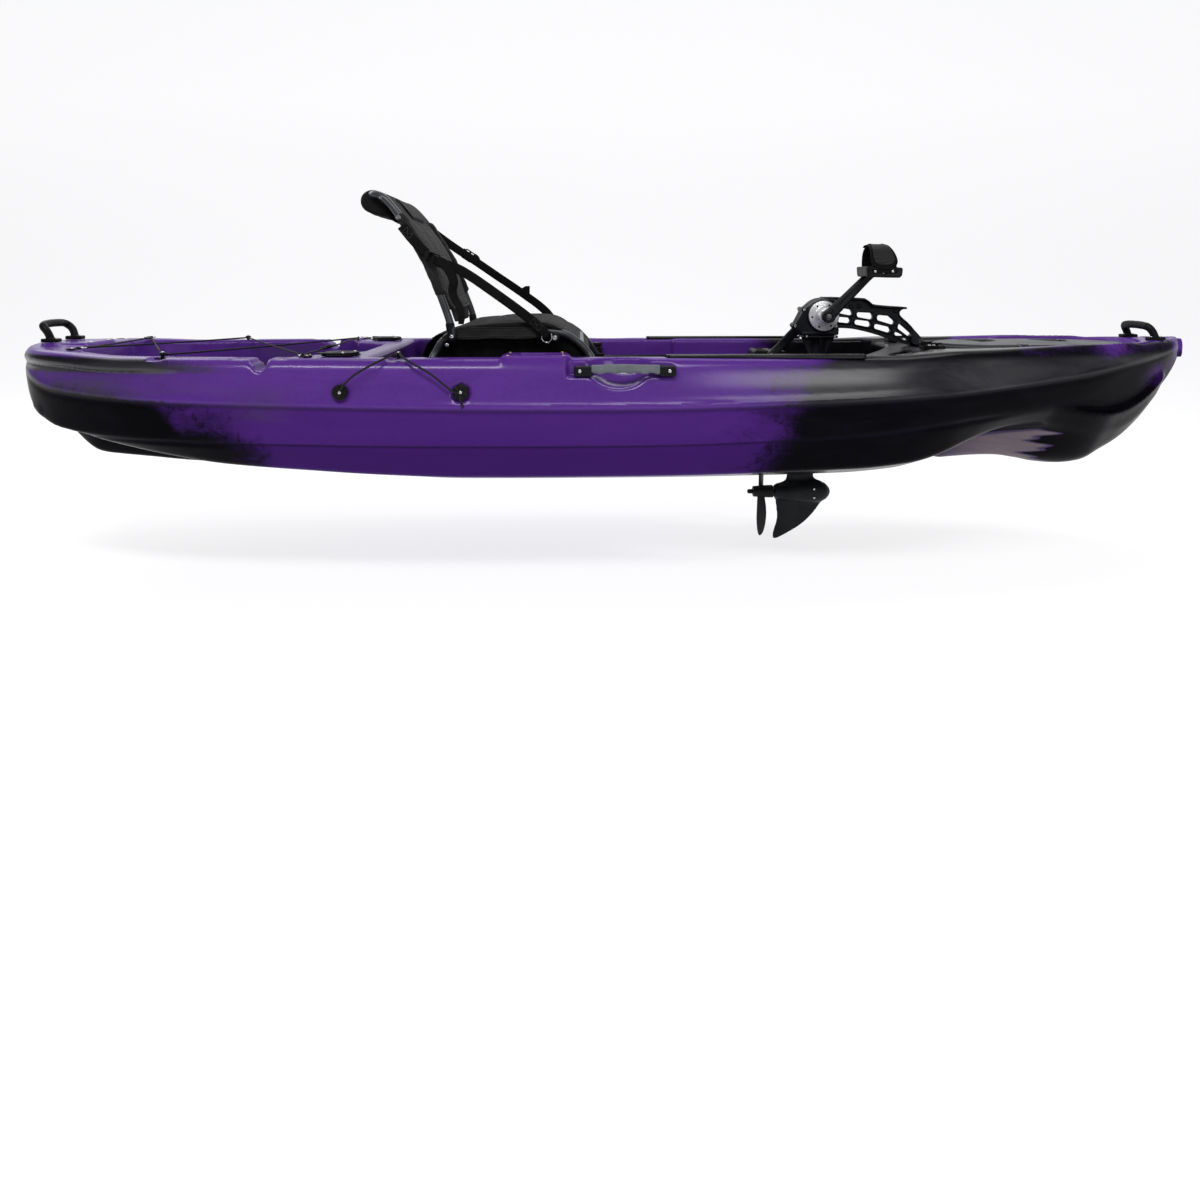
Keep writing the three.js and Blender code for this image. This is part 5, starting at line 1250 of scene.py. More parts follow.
def tint_hull(o):
    v = np.empty(len(o.data.vertices) * 3)
    o.data.vertices.foreach_get("co", v)
    v = v.reshape(-1, 3) * 1000
    x, y, z = v.T
    a = np.abs(y)
    n = np.empty(len(o.data.vertices) * 3)
    o.data.vertices.foreach_get("normal", n)
    n = n.reshape(-1, 3)
    b = pchip(BEAM, x)
    zu, zl = pchip(UPPER, x), pchip(LOWER, x)
    outw = n[:, 1] * np.sign(y)
    side = np.maximum(sstep(outw, 0.08, 0.30), sstep(-n[:, 2], 0.15, 0.40))
    side = np.maximum(side, sstep(np.abs(x), 1500, 1535) * sstep(340 - z, 0, 20))
    in_well = (a < b * 0.80) & (z > np.where(x < -700, 185, 88)) & (n[:, 2] > -0.5) & (x < 780)
    side = np.where(in_well, 0, side) * (1 - sstep(z, 322, 342))
    band = np.clip((z - zl) / np.maximum(zu - zl, 8), -2.0, 3.0)
    # sides: black low at the stern, violet amidships, black forward with violet flecks and a violet stem tip
    aft_line = np.interp(x, [-1575, -1400, -1300, -1200, -1130, -1085, -1060, -1040, -1010], [262, 250, 238, 226, 206, 176, 138, 40, -30])
    s1 = (1 - sstep(z - aft_line, -85, 60)) * 1.25
    s1 = np.maximum(s1, (1 - sstep(x, -1000, -740)) * (1 - sstep(z, 110, 200)) * 0.45)
    fore = sstep(x + (190 - z) * 0.5, 235, 525) * 1.12
    fore = np.maximum(fore, sstep(x + (190 - z) * 0.2, 60, 470) * 0.55)
    fleck = np.exp(-((x - 1275) / 62) ** 2 - ((z - 330) / 20) ** 2) * 0.55
    veil = np.exp(-((x - 1455) / 80) ** 2 - ((z - 272) / 52) ** 2) * 0.66
    tip = sstep(x, 1480, 1565) * sstep(z, 250, 320) * 0.5
    dark_side = np.maximum(s1, fore) - fleck - veil - tip
    # deck: violet aft, dark from the drive forward, violet again round the hatch
    d1 = sstep(x, 400 - (y > 0) * 60, 600 - (y > 0) * 70) * (1 - sstep(x, 960, 1060) * 0.95)
    ringq = np.sqrt(((x - 1147) / 292) ** 2 + (y / 178) ** 2)
    d1 = d1 - np.exp(-((ringq - 0.98) / 0.16) ** 2) * sstep(x, 880, 1010) * 0.6
    d1 = d1 + np.exp(-((x - 1120) / 130) ** 2 - ((y + 235) / 50) ** 2) * 0.62
    d1 = d1 + np.exp(-((x - 980) / 110) ** 2 - ((y - 250) / 60) ** 2) * 0.25
    d1 = d1 - sstep(z, 250, 120) * np.exp(-((x - 700) / 60) ** 2) * 0.45
    d1 = d1 + np.exp(-((x + 1290) / 60) ** 2 - (y / 120) ** 2) * 0.10
    edge_fore = sstep(a / np.maximum(b, 1), 0.74, 0.86) * sstep(x, 560, 720) * (1 - sstep(x, 1500, 1560))
    d1 = np.maximum(d1, edge_fore * (0.80 - 0.45 * np.exp(-((x - 1290) / 60) ** 2)))
    dark = dark_side * side + d1 * (1 - side)
    under_rim = sstep(z, 302, 318) * (1 - sstep(z, 340, 350)) * (1 - sstep(x, -1260, -880)) * sstep(outw, 0.15, 0.4)
    dark = np.maximum(dark, under_rim * 0.85)
    haze_and_reflection = 0.05 + 0.50 * np.exp(-((x + 1000) / 190) ** 2) * (z < 330) * (1 - side) + 0.30 * np.exp(-((x + 1200) / 170) ** 2 - (y / 200) ** 2) * (1 - side)
    haze_and_reflection = haze_and_reflection + 0.22 * np.exp(-((x + 620) / 60) ** 2) * (z > 250) * (1 - side)
    # greyed patches of the side: a broad one aft of amidships, a soft one under the rim
    haze_and_reflection = haze_and_reflection + side * (0.44 * np.exp(-((x + 840) / 150) ** 2 - ((z - 235) / 66) ** 2) + 0.30 * np.exp(-((x + 1180) / 230) ** 2 - ((z - 262) / 60) ** 2))
    haze_and_reflection = haze_and_reflection + 0.34 * side * sstep(x, 300, 560)
    dark = dark + side * (0.70 * (1 - sstep(x, -1180, -660)) * np.where(z < zu, 1.0, 0.55) + 0.20 * np.exp(-((x + 700) / 130) ** 2 - ((z - 245) / 50) ** 2))
    haze_and_reflection = haze_and_reflection + 0.30 * side * (1 - sstep(x, -1300, -1040)) * sstep(z, 200, 240)
    # painted reflection: a pale grey patch low on the bow, below a ragged top line, stands in for the floor reflected
    # in the hull; it clears the black and lifts the haze value into the pale mix
    top_line = np.interp(x, [700, 775, 1110, 1180], [62, 76, 137, 140])
    rag = 26 * np.sin(z / 7.0) + 14 * np.sin(z / 2.9 + 1)
    painted_reflection = side * sstep(x, 700, 960) * (1 - sstep(x + rag, 1105, 1150)) * (1 - sstep(z - top_line, -16, 4)) * (0.55 + 0.45 * sstep(x, 800, 1050))
    dark = dark - 2.2 * painted_reflection
    haze_and_reflection = haze_and_reflection * (1 - painted_reflection) + 1.75 * painted_reflection
    haze_and_reflection = haze_and_reflection + 0.2 * np.exp(-((x - 470) / 120) ** 2) * (1 - side)
    flat = sstep(n[:, 2], 0.8, 0.95)
    deckgrey = flat * sstep(x, 620, 760) * (1 - sstep(x, 1020, 1140)) * (a < 186) * sstep(z, 250, 320)
    well = (1 - side) * (1 - sstep(z, 300, 338)) * sstep(n[:, 2], -0.2, 0.3)
    well = np.maximum(well, deckgrey * 0.8)
    for name, val in (("dark", dark), ("haze_and_reflection", haze_and_reflection), ("deckgrey", deckgrey), ("well", well), ("outside", side), ("band", band)):
        at = o.data.attributes.new(name, "FLOAT", "POINT")
        at.data.foreach_set("value", np.asarray(val, np.float32))


hull = field_mesh("hull_shell", hull_field, (-1588, -424, -12), (1590, 424, 386), 5.5)
tint_hull(hull)
paint(hull, hull_mat)
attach(hull, "kayak")
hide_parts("hull")


# ---------------------------------------------------------------- pieces on the deck
BODY_OF = {n: b for b, ns in frame["record"]["behaviour"]["bodies"].items() for n in ns}


def stands_for(o, node, mat=None):
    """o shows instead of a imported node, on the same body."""
    if mat is not None:
        paint(o, mat)
    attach(o, BODY_OF[node])
    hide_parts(node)
    return o


def extra(o, mat, body):
    if mat is not None:
        paint(o, mat)
    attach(o, body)
    return o


def refined(node, mat, bevel=0.0008, segments=2, angle=30, name=None, dissolve=1.0):
    """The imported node's own shape with its edges rounded."""
    src = NODES[node].data.copy()
    o = new_object(name or node + "_shell", src)
    bm = bmesh.new()
    bm.from_mesh(src)
    bmesh.ops.remove_doubles(bm, verts=bm.verts, dist=2e-5)
    bmesh.ops.dissolve_limit(bm, angle_limit=math.radians(dissolve), verts=bm.verts, edges=bm.edges)
    bmesh.ops.recalc_face_normals(bm, faces=bm.faces)
    bm.to_mesh(src)
    bm.free()
    for a in list(src.attributes):
        if a.name.startswith("custom") or a.name == "sharp_face":
            try:
                src.attributes.remove(a)
            except RuntimeError:
                pass
    if bevel:
        b = o.modifiers.new("bevel", "BEVEL")
        b.width = bevel
        b.segments = segments
        b.limit_method = "ANGLE"
        b.angle_limit = math.radians(angle)
        b.use_clamp_overlap = True
        apply_modifiers(o)
    shade(o, 34)
    return stands_for(o, node, mat)


def screw_head(loc, r=0.0042, up=(0, 0, 1), h=0.0022, kind="pan"):
    """Small pan-head screw with a round recess in its head."""
    prof = [(0, h * 0.72), (r * 0.30, h * 0.72), (r * 0.34, h), (r * 0.62, h * 0.96), (r * 0.88, h * 0.62), (r, h * 0.2), (r, -0.0004), (0, -0.0004)]
    return lathe("screw", prof, 16, loc, up)


def insert_ring(loc, r=0.0042, up=(0, 0, 1)):
    prof = [(r * 0.42, -0.003), (r * 0.46, 0.0006), (r * 0.60, 0.0009), (r * 0.92, 0.0007), (r, 0.0001), (r, -0.001)]
    return lathe("insert", prof, 18, loc, up)


def group(name, objs, mat, body):
    for o in objs:
        if mat is not None:
            paint(o, mat)
    return extra(joined(name, objs), None, body)


SCREWS, INSERTS = [], []
mm = lambda pts: [(x / 1000, y / 1000) for x, y in pts]

# foam pads, cut round the bosses, with rounded corners
PADS = {
    "rear_pad": [[-511, 42], [-222, 42], [20, 42], [26, 52], [26, 216], [16, 226], [-180, 226], [-190, 220], [-478, 218], [-484, 196], [-511, 194]],
    "front_pad": [[100, 128], [106, 122], [470, 124], [540, 134], [604, 160], [604, 214], [598, 222], [106, 226], [100, 220]],
}
PAD_HOLES = {"rear_pad": [(-341, 0, 137), (-197, 138, 54)], "front_pad": [(180, 134, 52), (588, 122, 52)]}
for side, s in (("port", 1), ("starboard", -1)):
    for kind in ("rear_pad", "front_pad"):
        out = PADS[kind]

        def pad_field(X, Y, Z, out=out, kind=kind):
            YY = Y * s
            d2 = poly2(X[:, :, 0] + 0 * YY[:, :, 0], YY[:, :, 0] + 0 * X[:, :, 0], round_outline(out, 7))[:, :, None]
            for hx, hy, hr in PAD_HOLES[kind]:
                d2 = smax(d2, hr - np.sqrt((X - hx) ** 2 + (YY - hy) ** 2), 3)
            return extrude(d2, Z - 97.9, 2.5, 1.1)

        xs = [p[0] for p in out]
        ys = [p[1] * s for p in out]
        o = field_mesh(kind + "_" + side + "_foam", pad_field, (min(xs) - 6, min(ys) - 6, 93.2), (max(xs) + 6, max(ys) + 6, 102.5), 1.9, relax=0)
        stands_for(o, kind + "_" + side, foam_mat)

# carrying handles at the ends
def end_handle(name, x, y, z, w, arch, grip_r, body_mat):
    def f(X, Y, Z):
        A = np.abs(Y)
        d = extrude(np.maximum(np.abs(X - x) - w / 2 + 5, np.abs(A - y) - 7) - 5, Z - z - 5.0, 5.0, 2.5)
        path = [(x, y, z + 8)] + arch
        pts = catmull([(p[0], p[1], p[2]) for p in path] + [(path[-1][0], -path[-1][1], path[-1][2])], 5)
        pts = pts[pts[:, 1] > -1]
        for i in range(len(pts) - 1):
            d = smin(d, sd_seg(X, A, Z, pts[i], pts[i + 1], 8.2), 4.0)
        grip = None
        L = [p for p in pts if p[1] < y - 12]
        for i in range(len(L) - 1):
            e = sd_seg(X, A, Z, L[i], L[i + 1], grip_r)
            grip = e if grip is None else np.minimum(grip, e)
        grip = grip + 0.9 * np.exp(-((A - (y - 22)) / 2.0) ** 2) + 0.5 * np.sin(A * 0.9) * (A < y - 26) * (Z < z + 200)
        d = smin(d, grip, 2.0)
        return d
    lo = (min(x - w / 2, min(p[0] for p in arch) - grip_r) - 5, -y - 20, z - 3)
    hi = (max(x + w / 2, max(p[0] for p in arch) + grip_r) + 5, y + 20, max(p[2] for p in arch) + grip_r + 5)
    return field_mesh(name + "_moulding", f, lo, hi, 1.7)


o = end_handle("bow_handle", 1474, 62, 362.6, 44, [(1467, 61, 386), (1461, 57, 396), (1458, 45, 401), (1457, 15, 403)], 10.4, black_mat)
stands_for(o, "bow_handle", black_mat)
o = end_handle("stern_handle", -1530, 58, 362.6, 44, [(-1539, 61, 391), (-1550, 58, 403), (-1556, 46, 409), (-1557, 15, 411)], 10.4, black_mat)
stands_for(o, "stern_handle", black_mat)
for s in (1, -1):
    SCREWS.append(screw_head((1.462, s * 0.062, 0.3727), 0.0046))
    SCREWS.append(screw_head((1.486, s * 0.0635, 0.3727), 0.0046))
    SCREWS.append(screw_head((-1.515, s * 0.058, 0.3727), 0.0052))
    SCREWS.append(screw_head((-1.4355 + 0.004, s * 0.046, 0.3618), 0.0052))

# side handles: black ends, grey grip with a wavy underside
for side, s in (("port", 1), ("starboard", -1)):
    def ends(X, Y, Z):
        d = None
        for x0, x1, xe in ((-127, -82, -100), (74, 114, 76)):
            e = sd_box(X, Y, Z, ((x0 + x1) / 2, s * 388, 316), ((x1 - x0) / 2, 12.5, 12.5), 6)
            d = e if d is None else np.minimum(d, e)
        path = catmull([(-112, s * 388, 319), (-80, s * 393, 321), (-18, s * 398.5, 323), (48, s * 393, 321), (90, s * 388, 319)], 6)
        for i in range(len(path) - 1):
            d = smin(d, sd_seg(X, Y, Z, path[i], path[i + 1], 6.5), 3)
        for bx in (-113, 99):
            d = smax(d, -sd_rod(X, Y, Z, (bx, s * 398, 317), (bx, s * 420, 317), 6.2, 0.5), 1.0)
        return d

    def grip_f(X, Y, Z):
        path = catmull([(-88, s * 391.5, 320.5), (-60, s * 395.5, 321.5), (-12, s * 398.5, 323), (38, s * 395.5, 321.5), (80, s * 391, 320.5)], 6)
        d = None
        for i in range(len(path) - 1):
            e = sd_seg(X, Y, Z, path[i], path[i + 1], 10.4)
            d = e if d is None else np.minimum(d, e)
        wave = 1.9 * np.cos((X + 13) / 34.0 * 2 * math.pi) * sstep(-(Z - 318), 0, 8)
        d = d + wave
        d = smax(d, np.abs(X + 5) - 81, 3)
        d = smax(d, s * (Y) - 408.6, 2.5)
        return d

    a = field_mesh("side_handle_ends_" + side, ends, (-148, min(s * 372, s * 412), 300), (114, max(s * 372, s * 412), 334), 1.6)
    paint(a, black_mat)
    b = field_mesh("side_handle_grip_" + side, grip_f, (-92, min(s * 378, s * 414), 306), (84, max(s * 378, s * 414), 338), 1.6)
    paint(b, grip_mat)
    bolts = []
    for bx in (-113, 99):
        bb = screw_head((bx / 1000, s * 0.3975, 0.317), 0.0050, (0, s, 0), 0.003)
        paint(bb, steel_mat)
        bolts.append(bb)
    o = joined("side_handle_%s_assembly" % side, [a, b] + bolts)
    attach(o, "kayak")
    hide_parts("side_handle_" + side)

# gear tracks: C section with screws and three inserts
def c_track(name, node, x0, x1, y, z, marks, inserts):
    w, h = 13.0, 9.0
    sec = [(-w, 0), (w, 0), (w, h), (4.2, h), (4.2, 6.6), (8.2, 6.6), (8.2, 2.5), (-8.2, 2.5), (-8.2, 6.6), (-4.2, 6.6), (-4.2, h), (-w, h)]
    # lofted along X from end to end; the two ends are closed by caps
    sec = [(a / 1000, b / 1000) for a, b in sec]
    verts, faces = [], []
    for xx in ((x0 + 7) / 1000, (x1 - 7) / 1000):
        verts += [(xx, y / 1000 + a, z / 1000 + b) for a, b in sec]
    k = len(sec)
    for i in range(k):
        faces.append((i, (i + 1) % k, k + (i + 1) % k, k + i))
    faces += [tuple(reversed(range(k))), tuple(range(k, 2 * k))]
    o = outward(new_object(name + "_rail", mesh_from(name + "_rail", verts, faces, False)))
    bevelled(o, 0.0005, 2, 30)
    shade(o, 34)
    paint(o, track_mat)
    parts = [o]
    for xa, xb in ((x0, x0 + 8), (x1 - 8, x1)):
        c = plate("cap", round_outline([(xa / 1000, (y - w) / 1000), (xb / 1000, (y - w) / 1000), (xb / 1000, (y + w) / 1000), (xa / 1000, (y + w) / 1000)], 0.002), z / 1000, (z + h) / 1000, 0.0008, 2)
        paint(c, black_mat)
        parts.append(c)
    for mx in marks:
        sc = screw_head((mx / 1000, y / 1000, (z + 2.6) / 1000), 0.0040)
        paint(sc, steel_mat)
        parts.append(sc)
    for mx in inserts:
        for q in (sc for sc in [insert_ring((mx / 1000, y / 1000, (z + 3.0) / 1000), 0.0040)]):
            paint(q, brass_mat)
            parts.append(q)
        r = lathe("seat", [(0.0042, -0.0002), (0.0042, 0.0058), (0.0070, 0.0058), (0.0078, 0.0052), (0.0078, -0.0002)], 20, (mx / 1000, y / 1000, (z + 2.6) / 1000))
        paint(r, black_mat)
        parts.append(r)
    o = joined(name + "_assembly", parts)
    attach(o, "kayak")
    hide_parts(node)


for side, s in (("port", 1), ("starboard", -1)):
    c_track("gear_track_" + side, "gear_track_" + side, 98, 582, s * 331, 340.6, [335, 509], [120, 144, 169])
    c_track("seat_track_" + side, "seat_track_" + side, -133, 164, s * 288, 285.4, [118], [-112])

# rod holder plates and their soft caps
for side, s in (("port", 1), ("starboard", -1)):
    y = 268 * s
    outl = [(-746, y - s * 18), (-722, y - s * 42), (-664, y - s * 30), (-654, y - s * 2), (-668, y + s * 36), (-724, y + s * 42), (-746, y + s * 26)]
    if s < 0:
        outl = outl[::-1]

    def holder(X, Y, Z):
        d2 = poly2(X[:, :, 0] + 0 * Y[:, :, 0], Y[:, :, 0] + 0 * X[:, :, 0], round_outline(outl, 9))[:, :, None]
        d = extrude(d2, Z - 346.4, 2.0, 1.2)
        d = smin(d, sd_rod(X, Y, Z, (-700, y, 152), (-700, y, 346), 25, 1.5), 1.5)
        return smax(d, -sd_rod(X, Y, Z, (-700, y, 158), (-700, y, 400), 21.5, 1.5), 1.0)

    def cap(X, Y, Z):
        d2 = poly2(X[:, :, 0] + 0 * Y[:, :, 0], Y[:, :, 0] + 0 * X[:, :, 0], round_outline(outl, 10))[:, :, None] + 3.4
        rr = np.sqrt((X + 704) ** 2 + (Y - y) ** 2)
        d = extrude(d2, Z - 350.9, 2.3, 2.0)
        d = smin(d, sd_rod(X, Y, Z, (-700, y, 338), (-700, y, 350), 19.5, 2), 1.0)
        # raised disc inside an engraved ring, with a pull tab
        d = d + 0.9 * np.exp(-((rr - 23) / 1.3) ** 2) * (Z > 350)
        d = smin(d, sd_rod(X, Y, Z, (-706, y, 350), (-706, y, 354.0), 19, 1.2), 2.0)
        d = smin(d, sd_box(X, Y, Z, (-744, y + s * 30, 351.2), (10, 9, 2.2), 1.8), 2.5)
        return d

    lo = (-760, min(y - 50, y + 50), 150)
    o = field_mesh("rod_holder_%s_tube" % side, holder, lo, (-648, y + 50, 351), 2.0)
    stands_for(o, "rod_holder_" + side, black_mat)
    o = field_mesh("rod_holder_cap_%s_rubber" % side, cap, (-758, y - 46, 336), (-648, y + 46, 357), 1.3)
    stands_for(o, "rod_holder_cap_" + side, cap_mat)
    caps = [screw_head((-0.672, (y - s * 20) / 1000, 0.3527), 0.0042), screw_head((-0.690, (y + s * 31) / 1000, 0.3527), 0.0042)]
    group("rod_cap_screws_" + side, caps, steel_mat, BODY_OF["rod_holder_cap_" + side])

# rod mount plate with its clamp well, and the cam lever
def mount_plate(X, Y, Z):
    o2 = round_outline([(-294, 276), (-165, 276), (-165, 408), (-294, 408)], 8)
    d2 = poly2(X[:, :, 0] + 0 * Y[:, :, 0], Y[:, :, 0] + 0 * X[:, :, 0], o2)[:, :, None]
    d = extrude(d2, Z - 356.4, 4.0, 2.2)
    d = smin(d, sd_rod(X, Y, Z, (-229.5, 342, 303), (-229.5, 342, 356), 35.3, 1), 1)
    d = smin(d, sd_rod(X, Y, Z, (-229.5, 342, 352), (-229.5, 342, 360.9), 38.5, 2.4), 2)
    d = smax(d, -sd_rod(X, Y, Z, (-229.5, 342, 310), (-229.5, 342, 400), 32, 2.5), 2)
    for a in (0.9, 2.2, 4.1, 5.4):
        d = smin(d, sd_box(X, Y, Z, (-229.5 + 31 * math.cos(a), 342 + 31 * math.sin(a), 334), (5.5, 5.5, 22), 2), 2)
    d = smin(d, sd_rod(X, Y, Z, (-229.5, 342, 306), (-229.5, 342, 338), 12, 1), 1)
    return d


o = field_mesh("rod_mount_plate_moulding", mount_plate, (-300, 270, 300), (-159, 414, 364), 1.5)
stands_for(o, "rod_mount_plate", pebble_mat)
for sx in (-282, -177):
    for sy in (288, 396):
        SCREWS.append(screw_head((sx / 1000, sy / 1000, 0.3603), 0.0056, h=0.0026))


def cam_lever(X, Y, Z):
    d = sd_rod(X, Y, Z, (-229.5, 342, 338.5), (-229.5, 342, 369.4), 16.6, 3)
    d = smax(d, -(np.sqrt((X + 229.5) ** 2 + (Y - 342) ** 2 + (Z - 375) ** 2) - 9.5), 2)
    arm = poly2(X[:, :, 0] + 0 * Y[:, :, 0], Y[:, :, 0] + 0 * X[:, :, 0], round_outline([(-226, 354), (-184, 350.5), (-140, 348.5), (-131, 343), (-140, 337.5), (-184, 334.5), (-226, 330)], 4))[:, :, None]
    arm = extrude(arm, Z - 365, 2.9, 1.6)
    for hx, hr in ((-194, 4.6), (-178, 3.4), (-164, 2.8)):
        arm = smax(arm, hr - np.sqrt((X - hx) ** 2 + (Y - 342.5) ** 2), 1.2)
    return smin(d, arm, 2.5)


o = field_mesh("mount_cam_lever_moulding", cam_lever, (-250, 320, 336), (-126, 364, 373), 1.3)
stands_for(o, "mount_cam_lever", black_mat)

# access cover in the tank well
def stern_cover(X, Y, Z):
    rr = np.sqrt((X + 1229) ** 2 + Y ** 2)
    d = sd_rod(X, Y, Z, (-1229, 0, 199), (-1229, 0, 207.8), 78.8, 2.2)
    # shallow shield drawn by four grooves
    cr = np.minimum(np.abs(X + 1229) + 0 * Y, np.abs(Y) + 0 * X)
    lines = np.exp(-((np.abs(X + 1229) - 9 - 10 * np.exp(-((np.abs(Y) - 20) / 12) ** 2)) / 1.4) ** 2) + np.exp(-((np.abs(Y) - 9 - 8 * np.exp(-((np.abs(X + 1229) - 20) / 12) ** 2)) / 1.4) ** 2)
    d = d + 0.8 * lines * (Z > 205) * (rr < 70) * (rr > 13)
    d = smin(d, sd_rod(X, Y, Z, (-1229, 0, 205), (-1229, 0, 208.6), 11, 1), 2)
    d = smax(d, 3.2 - rr, 1)
    for s in (1, -1):
        t = sd_rod(X, Y, Z, (-1196, s * 60, 209), (-1141, s * 57, 208.4), 7.2, 1.4)
        t = smax(t, -sd_rod(X, Y, Z, (-1170, s * 60, 208.8), (-1120, s * 57, 208.4), 4.8, 0.2), 0.6)
        d = smin(d, t, 5)
    return d


o = field_mesh("stern_cover_moulding", stern_cover, (-1312, -83, 196), (-1136, 83, 220), 1.7)
stands_for(o, "stern_cover", black_mat)
SCREWS += [screw_head((-1.229, s * 0.061, 0.2077), 0.0048) for s in (1, -1)]

# ---- bow hatch: lid, rim and turning latches
HX = 1147.0


def hatch_rim(X, Y, Z):
    def ell(rx, ry):
        q = np.sqrt(((X - HX) / rx) ** 2 + (Y / ry) ** 2)
        g = np.sqrt(((X - HX) / rx ** 2) ** 2 + (Y / ry ** 2) ** 2) + 1e-9
        return q * (q - 1) / g
    e_out, e_mid, e_in = ell(269.6, 154.6), ell(263.6, 148.6), ell(238, 118)
    z = 340.5
    ring = extrude(np.maximum(e_out, -e_in) + 0 * Z, Z - (z + 1.6), 1.4, 0.6)
    wall = extrude(np.maximum(e_out, -e_mid) + 0 * Z, Z - (z + 4.3), 4.1, 1.2)
    d = smin(ring, wall, 1.5)
    hb = sd_box(X, Y, Z, (HX, -135.5, z + 5), (110, 6.2, 2.9), 1.2)
    hb = np.maximum(hb, e_out)
    d = smin(d, hb, 1)
    for x in (1080, 1217):
        for sx in (-13.5, 13.5):
            d = smin(d, sd_box(X, Y, Z, (x + sx, -125.5, z + 8.8), (3.3, 7.2, 5.8), 1.6), 1)
        d = smin(d, sd_rod(X, Y, Z, (x - 15, -121, z + 11), (x + 15, -121, z + 11), 2.5, 0.3), 0.6)
    return d


o = field_mesh("bow_hatch_rim_moulding", hatch_rim, (872, -160, 337), (1422, 160, 359), 2.1)
stands_for(o, "bow_hatch_rim", hatch_mat)

FANS = []
for px_, dd in ((1003, 1), (1289, -1)):
    FANS.append((px_, dd, round_outline([(px_ - dd * 15, 78), (px_ - dd * 15, 103), (px_ + dd * 2, 113), (px_ + dd * 80, 121), (px_ + dd * 89, 98), (px_ + dd * 84, 62), (px_ + dd * 62, 26), (px_ + dd * 27, -1), (px_ + dd * 17, 8), (px_ + dd * 10, 44)], [8, 8, 10, 8, 20, 30, 20, 3, 4, 20])))


def hatch_lid(X, Y, Z):
    z = 340.5
    q = np.sqrt(((X - HX) / 259.5) ** 2 + (Y / 144.5) ** 2)
    g = np.sqrt(((X - HX) / 259.5 ** 2) ** 2 + (Y / 144.5 ** 2) ** 2) + 1e-9
    e = q * (q - 1) / g
    e = smax(e, -114.6 - Y, 3)
    dome = 1.6 * np.clip(1 - q * q, 0, 1)
    d = extrude(e + 0 * Z, Z - (z + 9.2) - dome * 0.5 + 0.8, 5.6, 2.4)
    # long finger notch in the edge away from the hinge
    qn = np.sqrt(((X - HX) / 94) ** 2 + ((Y - 184) / 53) ** 2)
    d = smax(d, -smax((qn - 1) * 55, (z + 6.0) - Z, 1), 2.5)
    # two fan-shaped pockets for the latches
    for px_, dd, fan in FANS:
        f2 = poly2(X[:, :, 0] + 0 * Y[:, :, 0], Y[:, :, 0] + 0 * X[:, :, 0], fan)[:, :, None]
        d = smax(d, -smax(f2, (z + 7.0) - Z, 1.5), 2.2)
        d = smin(d, sd_rod(X, Y, Z, (px_, 88, z + 5), (px_, 88, z + 13.8), 4, 0.6), 1)
    # plain oval outline near the hinge
    ov = np.sqrt(((X - 1151) / 54) ** 2 + ((Y + 36) / 20) ** 2)
    d = d + 0.8 * np.exp(-(((ov - 1) * 26) / 1.3) ** 2) * (Z > z + 11)
    # hinge leaves
    for x in (1080, 1217):
        leaf = sd_box(X, Y, Z, (x, -108.5, z + 13.4), (9, 17.5, 3.2), 1.2)
        leaf = smax(leaf, -sd_rod(X, Y, Z, (x - 12, -121, z + 11), (x + 12, -121, z + 11), 3.2, 0.1), 0.3)
        d = smin(d, leaf, 1.0)
    return d


o = field_mesh("bow_hatch_lid_moulding", hatch_lid, (880, -132, 341), (1414, 150, 361), 1.9)
stands_for(o, "bow_hatch_lid", hatch_mat)
for name, px_, dd in (("aft", 1003, 1), ("fore", 1289, -1)):
    def lever(X, Y, Z):
        z = 340.5
        d = sd_rod(X, Y, Z, (px_, 88, z + 7.5), (px_, 88, z + 14.8), 10, 2)
        o2 = round_outline([(px_ - dd * 2, 97), (px_ + dd * 40, 105.5), (px_ + dd * 71, 116.5), (px_ + dd * 76, 108), (px_ + dd * 44, 94.5), (px_ + dd * 6, 80)], 3)
        a2 = poly2(X[:, :, 0] + 0 * Y[:, :, 0], Y[:, :, 0] + 0 * X[:, :, 0], o2)[:, :, None]
        arm = extrude(a2, Z - (z + 10.5), 3.0, 1.4)
        arm = smax(arm, -smax(a2 + 3.2, (z + 11.6) - Z, 0.4), 0.8)
        d = smin(d, arm, 2)
        return smax(d, 3.0 - np.sqrt((X - px_) ** 2 + (Y - 88) ** 2) + (Z < z + 12.6) * 50, 0.6)
    o = field_mesh("bow_latch_%s_lever" % name, lever, (min(px_ - dd * 16, px_ + dd * 84), 72, 346), (max(px_ - dd * 16, px_ + dd * 84), 124, 358), 1.2)
    stands_for(o, "bow_latch_" + name, black_mat if False else hatch_mat)

# ---- round hatch in the cockpit floor
RX = -341.0


def round_rim(X, Y, Z):
    rr = np.sqrt((X - RX) ** 2 + Y ** 2)
    z = 112.4
    d = extrude(np.maximum(rr - 128, 96 - rr) + 0 * Z, Z - (z + 2), 2, 1.2)
    for y in (-44, 44):
        for sy in (-16.5, 16.5):
            d = smin(d, sd_box(X, Y, Z, (-437, y + sy, z + 6.2), (5, 3.4, 5.6), 1.4), 1)
        d = smin(d, sd_rod(X, Y, Z, (-437, y - 18, z + 8), (-437, y + 18, z + 8), 2.5, 0.3), 0.5)
    return d


o = field_mesh("floor_hatch_rim_moulding", round_rim, (-474, -132, 110), (-208, 132, 127), 1.8)
stands_for(o, "floor_hatch_rim", hatch_mat)
WELL = round_outline([(-288, 0), (-282, 32), (-262, 56), (-244, 58), (-232, 30), (-230, 0), (-238, -40), (-252, -58), (-266, -52), (-282, -30)], 14)


